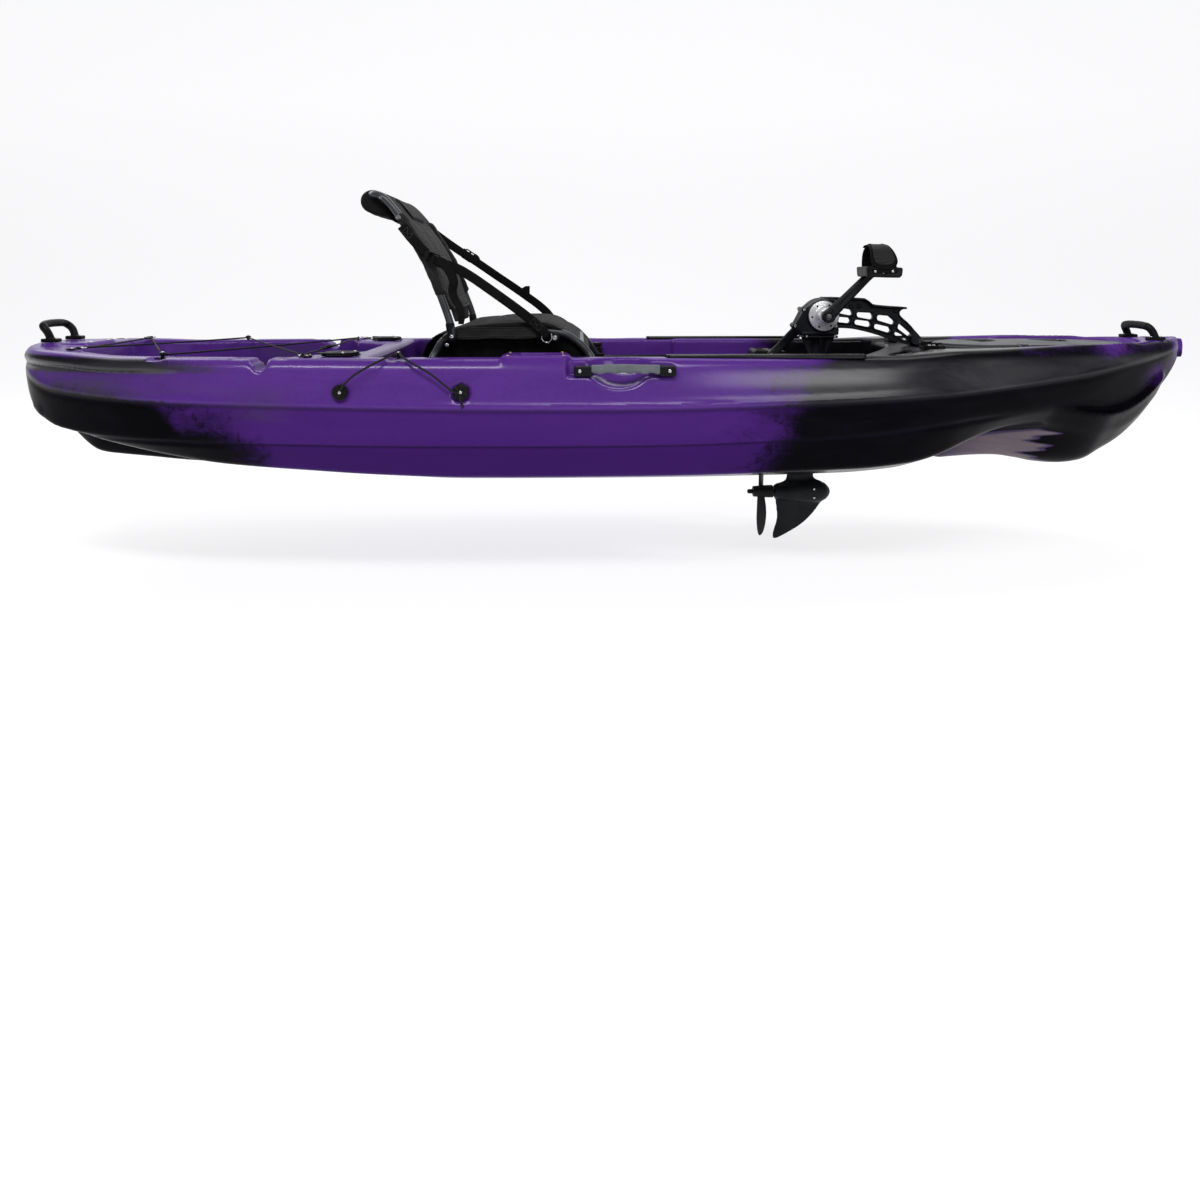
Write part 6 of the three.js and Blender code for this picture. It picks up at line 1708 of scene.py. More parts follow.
def round_lid(X, Y, Z):
    rr = np.sqrt((X - RX) ** 2 + Y ** 2)
    z = 112.4
    e = smax(rr - 117.6, -430.4 - X, 2)
    d = extrude(e + 0 * Z, Z - (z + 8.2) - 0.7 * np.clip(1 - (rr / 118) ** 2, 0, 1), 4.0, 1.8)
    d = d + 0.6 * np.exp(-((rr - 106) / 1.4) ** 2) * (Z > z + 10) * (X > -425)
    f2 = poly2(X[:, :, 0] + 0 * Y[:, :, 0], Y[:, :, 0] + 0 * X[:, :, 0], WELL)[:, :, None]
    d = smax(d, -smax(f2, (z + 7.9) - Z, 1), 1.8)
    # finger notch at the front edge
    q = np.sqrt(((X + 209) / 24) ** 2 + (Y / 44) ** 2)
    d = smax(d, -smax((q - 1) * 22, (z + 5.5) - Z, 1), 1.5)
    for y in (-44, 44):
        leaf = sd_box(X, Y, Z, (-427, y, z + 10.4), (13, 10.5, 3.3), 1.2)
        leaf = smax(leaf, -sd_rod(X, Y, Z, (-437, y - 14, z + 8), (-437, y + 14, z + 8), 3.3, 0.1), 0.3)
        d = smin(d, leaf, 1)
    return smin(d, sd_rod(X, Y, Z, (-268, 0, z + 6), (-268, 0, z + 10.4), 3.5, 0.4), 0.6)


o = field_mesh("floor_hatch_lid_moulding", round_lid, (-446, -122, 115), (-218, 122, 130), 1.7)
stands_for(o, "floor_hatch_lid", hatch_mat)


def round_latch(X, Y, Z):
    z = 112.4
    d = sd_rod(X, Y, Z, (-268, 0, z + 8.6), (-268, 0, z + 14), 8.8, 1.4)
    o2 = round_outline([(-274, -2), (-262, -2), (-265, -28), (-274, -28.5)], 2.5)
    a2 = poly2(X[:, :, 0] + 0 * Y[:, :, 0], Y[:, :, 0] + 0 * X[:, :, 0], o2)[:, :, None]
    d = smin(d, extrude(a2, Z - (z + 10.6), 1.9, 0.9), 1.4)
    return smax(d, 2.4 - np.sqrt((X + 268) ** 2 + Y ** 2) + (Z < z + 12) * 50, 0.5)


o = field_mesh("floor_hatch_latch_lever", round_latch, (-281, -33, 119), (-255, 13, 129), 0.9)
stands_for(o, "floor_hatch_latch", hatch_mat)
SCREWS += [screw_head((-0.4425, 0.0275, 0.1165), 0.0036), screw_head((-0.4425, -0.0275, 0.1165), 0.0036)]

# ---- sliding T latches
def t_latch(name, x, y, z, h):
    def base(X, Y, Z):
        o2 = round_outline([(x - 14, y - 26), (x + 14, y - 26), (x + 14, y + 26), (x - 14, y + 26)], 11)
        d2 = poly2(X[:, :, 0] + 0 * Y[:, :, 0], Y[:, :, 0] + 0 * X[:, :, 0], o2)[:, :, None]
        d = extrude(d2, Z - (z + h / 2), h / 2, 1.3)
        for s in (-1, 1):
            d = smin(d, sd_box(X, Y, Z, (x, y + s * 8.3, z + h + 4.4), (11, 1.9, 5.4), 0.9), 1.2)
        d = smin(d, sd_box(X, Y, Z, (x, y, z + h + 8.3), (11, 10, 1.7), 1.0), 0.8)
        return d

    def tongue(X, Y, Z):
        d = sd_box(X, Y, Z, (x + 9, y, z + h + 3.2), (29, 5.9, 2.7), 1.2)
        d = smin(d, sd_box(X, Y, Z, (x - 17.5, y, z + h + 4.2), (2.6, 9.8, 3.7), 1.4), 1)
        d = smin(d, sd_rod(X, Y, Z, (x + 36.4, y - 8.5, z + h + 3.2), (x + 36.4, y + 8.5, z + h + 3.2), 2.6, 1), 1)
        return d

    o = field_mesh(name + "_base_moulding", base, (x - 19, y - 31, z - 3), (x + 19, y + 31, z + h + 14), 1.15)
    stands_for(o, name + "_base", black_mat)
    o = field_mesh(name + "_tongue_moulding", tongue, (x - 24, y - 14, z + h - 2), (x + 42, y + 14, z + h + 11), 1.0)
    stands_for(o, name + "_tongue", black_mat)
    for s in (-1, 1):
        SCREWS.append(screw_head((x / 1000, (y + s * 19) / 1000, (z + h) / 1000), 0.0048))


t_latch("rod_latch_port", 808, 139, 344.4, 13)
t_latch("rod_latch_starboard", 808, -139, 344.4, 13)
t_latch("console_latch", 622, 0, 300.4, 4)

# ---- D rings on their screwed tabs
def to_rgb(v):
    return v


def tie_down(name, x, y, s, turn):
    z = float(np.interp(x - 40, [r[0] for r in GUNWALE], [r[1] for r in GUNWALE])) + 3.6
    d = np.array([0.62 if turn > 0 else -0.55, -s * 0.78])
    d /= np.linalg.norm(d)
    nx, ny = -d[1], d[0]
    px_, py_ = x - d[0] * 14, y - d[1] * 14
    tab = [(px_ - d[0] * 14 + nx * 10, py_ - d[1] * 14 + ny * 10), (px_ - d[0] * 14 - nx * 10, py_ - d[1] * 14 - ny * 10), (px_ + d[0] * 15 - nx * 10, py_ + d[1] * 15 - ny * 10), (px_ + d[0] * 15 + nx * 10, py_ + d[1] * 15 + ny * 10)]
    t = plate("tab", mm(round_outline(tab, 3)), (z - 3.0) / 1000, (z + 0.4) / 1000, 0.0008, 2)
    fold = sweep("fold", [((px_ + d[0] * 13 + nx * q) / 1000, (py_ + d[1] * 13 + ny * q) / 1000, (z + 0.1) / 1000) for q in (-9.5, 9.5)], ring_section(0.0031, 12))
    paint(t, web_mat)
    paint(fold, web_mat)
    arc = []
    for i in range(13):
        a = math.pi * (i / 12 - 0.5)
        arc.append((x + d[0] * (2 + 15 * math.cos(a)) + nx * 13 * math.sin(a), y + d[1] * (2 + 15 * math.cos(a)) + ny * 13 * math.sin(a), z + 0.2))
    path = [tuple(v / 1000 for v in p) for p in arc]
    loop = path + [path[0]]
    ringo = sweep("ring", resample(catmull(loop[:-1], 3, True), 0.0022)[:-1], ring_section(0.0020, 10), closed=True)
    paint(ringo, steel_mat)
    sc = screw_head((px_ / 1000 - d[0] * 0.003, py_ / 1000 - d[1] * 0.003, (z + 0.4) / 1000), 0.0042)
    paint(sc, steel_mat)
    o = joined("tie_down_%s_assembly" % name, [t, fold, ringo, sc])
    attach(o, "kayak")
    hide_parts("tie_down_" + name)
    return (x + d[0] * 17, y + d[1] * 17, z + 0.6)


RING = {}
for nm, x, y, s, turn in (("rear_port", -1392, 206, 1, 45), ("rear_starboard", -1382, -196, -1, 45), ("front_port", -788, 316, 1, -45), ("front_starboard", -780, -308, -1, -45)):
    RING[nm] = tie_down(nm, x, y, s, turn)

# ---- lacing over the tank well
def lacing():
    A, B, C, D = (np.array(RING[k]) / 1000 for k in ("rear_port", "rear_starboard", "front_port", "front_starboard"))
    L1, L2 = np.array([-1.137, 0.304, 0.3495]), np.array([-1.123, -0.304, 0.3495])
    parts = []

    def run(p, q, sag=0.0016):
        t = np.linspace(0, 1, 16)[:, None]
        path = p + (q - p) * t
        path[:, 2] -= (4 * t * (1 - t))[:, 0] * sag
        o = sweep("cord", path, ring_section(0.0024, 8))
        paint(o, cord_mat)
        parts.append(o)

    run(A, B)
    run(A, L2)
    run(B, L1)
    run(L1, D)
    run(L2, C)
    run(C, D)
    for P in (A, B, C, D):
        k = lathe("knot", [(0, -0.0042), (0.0028, -0.0036), (0.0044, -0.001), (0.0044, 0.0012), (0.0028, 0.0036), (0, 0.0042)], 12, tuple(P))
        paint(k, cord_mat)
        parts.append(k)
    for P in (L1, L2):
        post = lathe("post", [(0, 0.0072), (0.0042, 0.0070), (0.0072, 0.0056), (0.0080, 0.0030), (0.0080, 0.0012), (0.0046, -0.0004), (0.0046, -0.0052), (0.0084, -0.0056), (0.0084, -0.0064), (0, -0.0064)], 20, (P[0], P[1], P[2] - 0.0008))
        paint(post, black_mat)
        parts.append(post)
        sc = screw_head((P[0], P[1], P[2] + 0.0060), 0.0040)
        paint(sc, steel_mat)
        parts.append(sc)
    mx, z = (C[0] + D[0]) / 2, C[2]

    def hook(X, Y, Z):
        d = None
        pts = catmull([(0, -6, 0), (3, 6, 0), (6, 16, 1), (2, 25, 1), (-5, 22, 0), (-4, 14, 0)], 6)
        for i in range(len(pts) - 1):
            e = sd_seg(X, Y, Z, pts[i], pts[i + 1], 2.7)
            d = e if d is None else np.minimum(d, e)
        d = smin(d, sd_rod(X, Y, Z, (0, -20, 0), (0, -4, 0), 5.2, 1.6), 2)
        return d + 0.5 * np.sin(Y * 1.8) * (Y < -5)
    for cy, turn in ((-0.028, 0), (-0.080, math.pi)):
        h = field_mesh("hook", hook, (-12, -24, -7), (12, 30, 7), 0.95)
        h.data.transform(Matrix.Translation((mx, cy, z)) @ Matrix.Rotation(turn, 4, "Z"))
        paint(h, black_mat)
        parts.append(h)
    o = joined("tank_well_lacing", parts)
    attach(o, "kayak")
    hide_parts("tank_well_bungee")


lacing()

# ---- paddle keepers: side button, cord over the deck screw, star knob
for side, s in (("port", 1), ("starboard", -1)):
    parts = []
    def disc(bx, r, h, star):
        def f(X, Y, Z):
            a = np.arctan2(Z - 270, X - bx)
            rr = np.sqrt((X - bx) ** 2 + (Z - 270) ** 2)
            wob = (1.2 * np.cos(6 * a)) if star else 0.0
            d = sd_rod(X, Y * s, Z, (bx, 399, 270), (bx, 399 + h, 270), r, 2.4) + wob
            d = smax(d, -(np.sqrt((X - bx) ** 2 + (Y * s - 399 - h - 4) ** 2 + (Z - 270) ** 2) - 7.0), 1.5)
            d = d + 0.7 * np.exp(-((rr - r * 0.68) / 1.1) ** 2) * (Y * s > 399 + h - 4)
            return d
        lo = (bx - r - 4, min(s * 396, s * (403 + h)), 270 - r - 4)
        hi = (bx + r + 4, max(s * 396, s * (403 + h)), 270 + r + 4)
        o = field_mesh("button", f, lo, hi, 1.2)
        paint(o, black_mat)
        parts.append(o)
    disc(-670, 18.2, 12, False)
    disc(-390, 19.2, 15, True)
    pts = [(-668, 414, 274), (-655, 415, 292), (-636, 413.5, 310), (-614, 409.5, 324), (-592, 402.5, 336), (-571, 387, 346.5), (-555, 362, 352.6), (-547, 340, 353.2), (-538, 362, 352.6), (-524, 387, 346.5), (-504, 402.5, 337), (-480, 410, 325), (-456, 414, 311), (-432, 416.5, 292), (-411, 418, 275), (-398, 419, 268)]
    c = sweep("cord", resample(catmull([(p[0] / 1000, s * p[1] / 1000, p[2] / 1000) for p in pts], 6), 0.004), ring_section(0.0026, 9))
    paint(c, cord_mat)
    parts.append(c)
    tail = sweep("tail", resample(catmull([(-0.390, s * 0.4175, 0.262), (-0.389, s * 0.4185, 0.250), (-0.384, s * 0.4185, 0.240), (-0.386, s * 0.418, 0.233)], 5), 0.003), ring_section(0.0025, 8))
    paint(tail, cord_mat)
    parts.append(tail)
    post = lathe("post", [(0, 0.0076), (0.0052, 0.0072), (0.0082, 0.0052), (0.0086, 0.0030), (0.0050, 0.0016), (0.0050, -0.0060), (0.0090, -0.0066), (0.0090, -0.0078), (0, -0.0078)], 20, (-0.547, s * 0.340, 0.3500))
    paint(post, black_mat)
    parts.append(post)
    for bx, h in ((-0.670, 0.4105), (-0.390, 0.4135)):
        sc = screw_head((bx, s * (h - 0.001), 0.270), 0.0042, (0, s, 0))
        paint(sc, steel_mat)
        parts.append(sc)
    sc = screw_head((-0.547, s * 0.340, 0.3570), 0.0040)
    paint(sc, steel_mat)
    parts.append(sc)
    o = joined("paddle_keeper_%s_assembly" % side, parts)
    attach(o, "kayak")
    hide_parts("paddle_keeper_" + side)

# ---- inserts and small fittings in the hull
for s in (1, -1):
    for ix in (-917, -826):
        INSERTS.append(insert_ring((ix / 1000, s * 0.338, 0.3408), 0.0040))
for sx, sy in ((-284, -282), (-152 - 4, -282), (-284, -372), (-152, -372)):
    INSERTS.append(insert_ring((sx / 1000, sy / 1000, 0.3519), 0.0044))
group("deck_inserts", INSERTS, brass_mat, "kayak")

# webbing anchors in the rear corners of the cockpit
for s in (1, -1):
    a = plate("anchor_tab", round_outline([(-0.524, s * 0.217), (-0.496, s * 0.217), (-0.496, s * 0.239), (-0.524, s * 0.239)] if s > 0 else [(-0.524, s * 0.239), (-0.496, s * 0.239), (-0.496, s * 0.217), (-0.524, s * 0.217)], 0.002), 0.1185, 0.1215, 0.0007, 2)
    paint(a, web_mat)
    b = sweep("bar", [(-0.499, s * 0.213, 0.1235), (-0.499, s * 0.243, 0.1235)], ring_section(0.0028, 10))
    paint(b, steel_mat)
    c = screw_head((-0.513, s * 0.228, 0.1215), 0.0040)
    paint(c, steel_mat)
    o = joined("cockpit_anchor_%s" % ("port" if s > 0 else "starboard"), [a, b, c])
    extra(o, None, "kayak")

# oval drain plug on the port quarter
def plug(X, Y, Z):
    q = np.sqrt(((X + 1470) / 11.5) ** 2 + ((Y - 188) / 16.5) ** 2) - 1
    d = extrude(q * 12 + 0 * Z, Z - 352, 3.4, 1.6)
    d = smax(d, -(sd_box(X, Y, Z, (-1470, 188, 358), (3.4, 11, 5), 2)), 1)
    return smin(d, sd_box(X, Y, Z, (-1470, 188, 353.2), (1.6, 8.5, 2.6), 1), 1)


o = field_mesh("drain_plug", plug, (-1486, 168, 346), (-1454, 208, 359), 1.1)
extra(o, black_mat, "kayak")


# ---------------------------------------------------------------- pedal drive
AX, AZ = 560.0, 430.0
ARM_TOP = [(555, 482), (593, 481.5), (681, 478.5), (693, 471), (705, 460.5), (746, 456.5), (804, 453)]


def side2(X, Z, pts):
    return poly2(X[:, 0, :], Z[0, :, :], pts)[:, None, :]


def front2(Y, Z, pts):
    return poly2(Y[0, :, :], Z[:, 0, :], pts)[None, :, :]


WEB = [(578, 394), (635, 394.4), (670, 388.6), (708, 379), (746.5, 366.8), (777, 356), (800, 349), (836, 343), (848, 352), (840, 366), (827, 387), (808, 409), (786, 427), (782, 437), (789, 446), (804, 453), (746, 456.5), (705, 460.5), (693, 471), (681, 478.5), (593, 481), (578, 480)]
SLOTS = [
    [(610, 451), (646, 446), (650, 433), (646, 429.6), (610, 436.5)],
    [(661, 438.6), (704, 436.5), (708, 425), (704, 418), (664, 425.4)],
    [(719.7, 431), (753, 428), (769, 413.5), (765.7, 402.8), (719.7, 416.6)],
    [(781, 409.7), (818, 377), (812, 371), (804, 373.3), (777, 393.6)],
    [(610, 425.8), (641, 423), (645, 413.5), (639.3, 407.8), (609, 411.2)],
    [(657, 418), (698.6, 412.8), (702.5, 402.8), (696.7, 396.7), (656, 405.3)],
    [(712, 406.6), (754, 397.0), (758.8, 386.7), (752.3, 380.8), (711, 393.6)],
    [(769.5, 385.4), (791, 375.4), (806, 361.5), (800, 358.6), (768, 372.6)],
]
SLOT_R = [7.5, 6.5, 5.5, 6, 6]


def drive_arm(X, Y, Z):
    outline = chaikin(WEB, 2, 0.25)
    e = side2(X, Z, outline)
    cut = None
    for sl in SLOTS:
        q = side2(X, Z, round_outline(sl, 5.5))
        cut = q if cut is None else np.minimum(cut, q)
    plate2 = smax(e, -cut, 1.5)
    # thin web, thicker along the edges and round each opening
    rim = np.exp(-(np.minimum(-e, cut) / 3.4) ** 2)
    d = smax(plate2, np.abs(Y) - (5.2 + 3.4 * rim), 1.6)
    # broad lip along the top, drawn out to a point
    tx = np.array([p[0] for p in ARM_TOP], float)
    tz = np.array([p[1] for p in ARM_TOP], float)
    zt = np.interp(X, tx, tz)
    wid = np.interp(X, [555, 600, 690, 760, 800, 806], [27, 24, 22, 19, 11, 3])
    lip = smax(smax(np.abs(Z - zt + 3.2) - 3.0, np.abs(Y) - wid, 2.2), np.maximum(566 - X, X - 806), 2)
    d = smin(d, lip, 3)
    # forked foot round the cross rod
    foot = sd_rod(X, Y, Z, (838, -32, 350.5), (838, 32, 350.5), 12.5, 1.6)
    foot = smax(foot, -sd_rod(X, Y, Z, (838, -60, 350.5), (838, 60, 350.5), 7.1, 0.2), 0.5)
    knee = smax(side2(X, Z, round_outline([(812, 352), (836, 342), (848, 350), (842, 368), (826, 388), (812, 372)], 4)), np.abs(Y) - np.interp(Z, [350, 372, 388], [30, 14, 7]), 3)
    d = smin(d, smin(foot, knee, 3), 3)
    for bx, bz in ((646, 455.5), (669, 456.5), (771, 443), (600, 463)):
        b = sd_rod(X, Y, Z, (bx, -8.4, bz), (bx, 8.4, bz), 5.2, 1.0)
        b = smax(b, -smax(sd_rod(X, Y, Z, (bx, -20, bz), (bx, 20, bz), 2.4, 0.1), 7.0 - np.abs(Y), 0.5), 0.5)
        d = smin(d, b, 1.5)
    return d


arm = field_mesh("arm_casting", drive_arm, (560, -34, 336), (866, 34, 488), 1.7)
paint(arm, casting_mat)
rodp = [(0, -0.1722), (0.0048, -0.1722), (0.0062, -0.1706), (0.0065, -0.168), (0.0065, 0.168), (0.0062, 0.1706), (0.0048, 0.1722), (0, 0.1722)]
cross = lathe("cross_rod", rodp, 28, (0.838, 0, 0.3505), (0, 1, 0))
paint(cross, steel_mat)
parts = [arm, cross]
for s in (1, -1):
    # nylon sleeves where the latches hold the rod, and end caps
    sl = lathe("sleeve", [(0.0066, -0.016), (0.0082, -0.0155), (0.0084, -0.014), (0.0084, 0.014), (0.0082, 0.0155), (0.0066, 0.016)], 26, (0.838, s * 0.150, 0.3505), (0, 1, 0))
    paint(sl, black_mat)
    cp = lathe("cap", [(0, -0.003), (0.0066, -0.003), (0.0088, -0.0015), (0.0090, 0.002), (0.0078, 0.0052), (0.0040, 0.0066), (0, 0.0068)], 26, (0.838, s * 0.1665, 0.3505), (0, s, 0))
    paint(cp, black_mat)
    parts += [sl, cp]
o = joined("drive_arm_assembly", parts)
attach(o, "drive")
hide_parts("drive_arm")

HEAD = [(483, 402), (484, 394), (503, 377.0), (604, 377.0), (606, 394), (600, 399), (598, 470), (590, 477), (556, 478), (540, 472), (509, 448)]


def gear_case(X, Y, Z):
    e = side2(X, Z, round_outline(HEAD, [6, 5, 3, 3, 4, 8, 12, 8, 14, 12, 12]))
    half = np.interp(X, [483, 520, 560, 606], [23, 33, 34, 33])
    d = smax(e, np.abs(Y) - half, 7)
    # parting joint and a belt of metal round it
    d = smin(d, smax(e - 1.6, np.abs(Y) - 4.2, 1.2), 1.2)
    d = d + 0.9 * np.exp(-(Y / 0.8) ** 2) * (np.abs(X - AX) < 80)
    drum = sd_rod(X, Y, Z, (AX, -41, AZ), (AX, 41, AZ), 43.5, 2.6)
    d = smin(d, drum, 5)
    d = smax(d, -smax(sd_rod(X, Y, Z, (AX, -60, AZ), (AX, 60, AZ), 41.4, 0.4), 38.4 - np.abs(Y), 0.6), 0.8)
    # stepped foot over the flange
    fo = sd_box(X, Y, Z, (553, 0, 380.5), (50, 33, 3.4), 2.4)
    d = smin(d, fo, 2.5)
    for bx, bz, w in ((509, 447, 24), (486, 402, 18), (596, 402, 29), (592, 470, 27)):
        d = smin(d, sd_rod(X, Y, Z, (bx, -w - 3, bz), (bx, w + 3, bz), 6.8, 1.4), 3)
    d = smax(d, -sd_rod(X, Y, Z, (AX, -60, AZ), (AX, 60, AZ), 11, 0.2), 0.6)
    # slot of the arm's web
    d = smax(d, -smax(np.abs(Y) - 8.9, 572 - X, 1), 1.0)
    return d


case = field_mesh("case_casting", gear_case, (474, -48, 371), (614, 48, 492), 1.55)
paint(case, casting_mat)
parts = [case]
for s in (1, -1):
    prof = [(0.0105, 0.0370), (0.0105, 0.0585), (0.0118, 0.0612), (0.0150, 0.0616), (0.0172, 0.0606), (0.0185, 0.0570), (0.0212, 0.0505), (0.0250, 0.0462), (0.0275, 0.0446), (0.0400, 0.0438), (0.0412, 0.0430), (0.0414, 0.0415), (0.0414, 0.0370)]
    dsc = lathe("cover_disc", prof, 96, (AX / 1000, 0, AZ / 1000), (0, s, 0))
    paint(dsc, disc_mat)
    parts.append(dsc)
    for k in range(6):
        a = math.radians(5 + 60 * k)
        px_, pz_ = AX / 1000 + s * -0.0 + 0.0328 * math.cos(a), AZ / 1000 + 0.0328 * math.sin(a)
        sc = lathe("screw", [(0, 0.0006), (0.0010, 0.0006), (0.0012, 0.0016), (0.0023, 0.0016), (0.0028, 0.0010), (0.0028, -0.0006), (0, -0.0006)], 14, (px_, s * 0.0440, pz_), (0, s, 0))
        paint(sc, black_mat)
        parts.append(sc)
    for bx, bz, w in ((509, 447, 27), (486, 402, 21), (596, 402, 32), (592, 470, 30)):
        sc = lathe("cap_screw", [(0, 0.0008), (0.0016, 0.0008), (0.0017, 0.0026), (0.0034, 0.0026), (0.0040, 0.0020), (0.0040, -0.0004), (0, -0.0004)], 18, (bx / 1000, s * w / 1000, bz / 1000), (0, s, 0))
        paint(sc, steel_mat)
        parts.append(sc)
o = joined("gear_case_assembly", parts)
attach(o, "drive")
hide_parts("gear_case")

LEG = [(366, 555.5, 18, 15.5), (300, 551, 19, 16), (70, 520, 20, 12), (12, 507, 34, 11.5), (-26, 503, 38, 12), (-58, 505, 36, 14)]
POD = [(429, 0), (429.4, 14), (431, 17), (440, 22), (470, 28), (510, 32), (540, 32.5), (560, 29), (574, 22), (583, 13), (587, 5), (588, 0.5)]
FIN = [(575, -62), (566, -86), (552, -108), (531, -134), (503, -158), (470, -177), (446, -190), (432, -195), (425.5, -191), (428, -172), (437, -148), (439, -128), (437, -106), (434, -84), (436, -62)]


def drive_leg(X, Y, Z):
    zs = [r[0] for r in LEG][::-1]
    cx = np.interp(Z, zs, [r[1] for r in LEG][::-1])
    rx = np.interp(Z, zs, [r[2] for r in LEG][::-1])
    ry = np.interp(Z, zs, [r[3] for r in LEG][::-1])
    q = np.sqrt(((X - cx) / rx) ** 2 + (Y / ry) ** 2)
    d = (q - 1) * np.minimum(rx, ry) * 0.95
    d = smax(d, Z - 369, 1)
    d = smax(d, -66 - Z, 4)
    # long ribs down the column
    fl = sd_box(X, Y, Z, (554.5, 0, 371.8), (48.5, 31, 3.6), 2.2)
    d = smin(d, fl, 3)
    wing = side2(X, Z, round_outline([(507, 371), (603, 371), (592, 352), (573, 318), (564, 306), (536, 306), (527, 318), (514, 352)], 8))
    wing = smax(wing, np.abs(Y) - (3.6 + 1.6 * np.exp(-((-wing) / 3.5) ** 2)), 1.2)
    d = smin(d, wing, 5)
    for s in (1, -1):
        gus = smax(front2(Y, Z, [(s * 4, 368), (s * 29, 370), (s * 27, 352), (s * 15, 322), (s * 10, 316)] if s > 0 else [(s * 10, 316), (s * 15, 322), (s * 27, 352), (s * 29, 370), (s * 4, 368)]), np.abs(X - 555) - 3.6, 1.2)
        d = smin(d, gus, 4)
    prof = np.interp(X, [p[0] for p in POD], [p[1] for p in POD])
    rad = np.sqrt(Y ** 2 + (Z + 62) ** 2)
    pod = smax((rad - prof) * 0.8, np.maximum(429 - X, X - 588), 1.5)
    pod = pod - 0.7 * np.exp(-((X - 524) / 1.6) ** 2) + 0.6 * np.exp(-((X - 527.5) / 1.0) ** 2)
    d = smin(d, pod, 9)
    f2 = side2(X, Z, chaikin(FIN, 2))
    fin = smax(f2, np.abs(Y) - (0.9 + 4.2 * (1 - np.exp(np.minimum(f2, 0) / 16.0))), 0.9)
    d = smin(d, fin, 6)
    return d


leg = field_mesh("leg_casting", drive_leg, (418, -38, -202), (612, 38, 380), 2.0)
paint(leg, casting_mat)
parts = [leg]
for s in (1, -1):
    for bx, bz, w in ((516, 371.8, 30.6), (594, 371.8, 30.6)):
        sc = screw_head((bx / 1000, s * w / 1000, bz / 1000), 0.0034, (0, s, 0), 0.0018)
        paint(sc, steel_mat)
        parts.append(sc)
    for bx, bz, w in ((536, -50, 29.6), (536, -74, 29.6)):
        sc = screw_head((bx / 1000, s * w / 1000, bz / 1000), 0.0032, (0, s, 0), 0.0020)
        paint(sc, steel_mat)
        parts.append(sc)
o = joined("drive_leg_assembly", parts)
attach(o, "drive")
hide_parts("drive_leg")

# propeller: two twisted blades on a hub with a nose cone
def blade(sign):
    st = [(10, 24, 6.6, 42), (22, 29, 6.2, 38), (36, 35, 5.6, 34), (52, 40.5, 5.0, 30), (68, 43.5, 4.4, 27), (84, 42.5, 3.8, 25), (98, 38, 3.3, 23), (109, 31, 2.8, 21.5), (116, 23, 2.4, 20.5), (120.5, 14, 1.9, 19.5), (122.8, 5, 1.2, 19)]
    k = 20
    verts, faces = [], []
    rs = np.array([s[0] for s in st], float)
    rr = np.concatenate([np.linspace(10, 100, 16), np.linspace(104, 122.8, 8)])
    for r in rr:
        chord, th, pitch = (float(np.interp(r, rs, [s[i] for s in st])) for i in (1, 2, 3))
        p = math.radians(pitch)
        rake = -0.06 * max(r - 40, 0)
        for i in range(k):
            a = 2 * math.pi * i / k
            u = 0.5 * math.cos(a)
            w = 0.5 * math.sin(a) * (1.05 - 0.55 * (u + 0.5)) * th
            u = u * chord + (0.10 * chord if r > 60 else 0.10 * chord * r / 60)
            w = w + 0.05 * chord * (1 - (2 * u / chord) ** 2) * 0.5
            cxx, cyy = math.sin(p), math.cos(p)
            x = 394 + u * cxx + w * cyy + rake
            y = sign * (u * cyy - w * cxx)
            verts.append((x / 1000, y / 1000, (-62 + sign * r) / 1000))
    n = len(rr)
    for i in range(n - 1):
        for j in range(k):
            faces.append((i * k + j, i * k + (j + 1) % k, (i + 1) * k + (j + 1) % k, (i + 1) * k + j))
    faces += [tuple(range(k)), tuple((n - 1) * k + j for j in range(k))]
    o = outward(new_object("blade", mesh_from("blade", verts, faces, True)))
    return shade(o, 50)


hub = lathe("hub", [(0, -0.0385), (0.0030, -0.0382), (0.0056, -0.0360), (0.0062, -0.0330), (0.0062, -0.0245), (0.0100, -0.0236), (0.0138, -0.0225), (0.0146, -0.0200), (0.0152, -0.0100), (0.0166, 0.0080), (0.0172, 0.0240), (0.0172, 0.0310), (0.0164, 0.0328), (0.0090, 0.0332), (0.0050, 0.0332), (0.0050, 0.106), (0, 0.106)], 40, (0.394, 0, -0.062), (1, 0, 0))
parts = [hub, blade(1), blade(-1)]
for q in parts:
    paint(q, black_mat)
nut = lathe("nut", [(0, -0.006), (0.0046, -0.006), (0.0056, -0.005), (0.0056, 0.004), (0.0046, 0.005), (0, 0.005)], 6, (0.3635, 0, -0.062), (1, 0, 0))
paint(nut, steel_mat)
parts.append(nut)
gear_disc = lathe("gear", [(0, 0.098), (0.0118, 0.098), (0.0120, 0.0985), (0.0120, 0.1055), (0.0118, 0.106), (0, 0.106)], 30, (0.394, 0, -0.062), (1, 0, 0))
paint(gear_disc, steel_mat)
parts.append(gear_disc)
o = joined("propeller_assembly", parts)
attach(o, "propeller")
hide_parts("propeller")

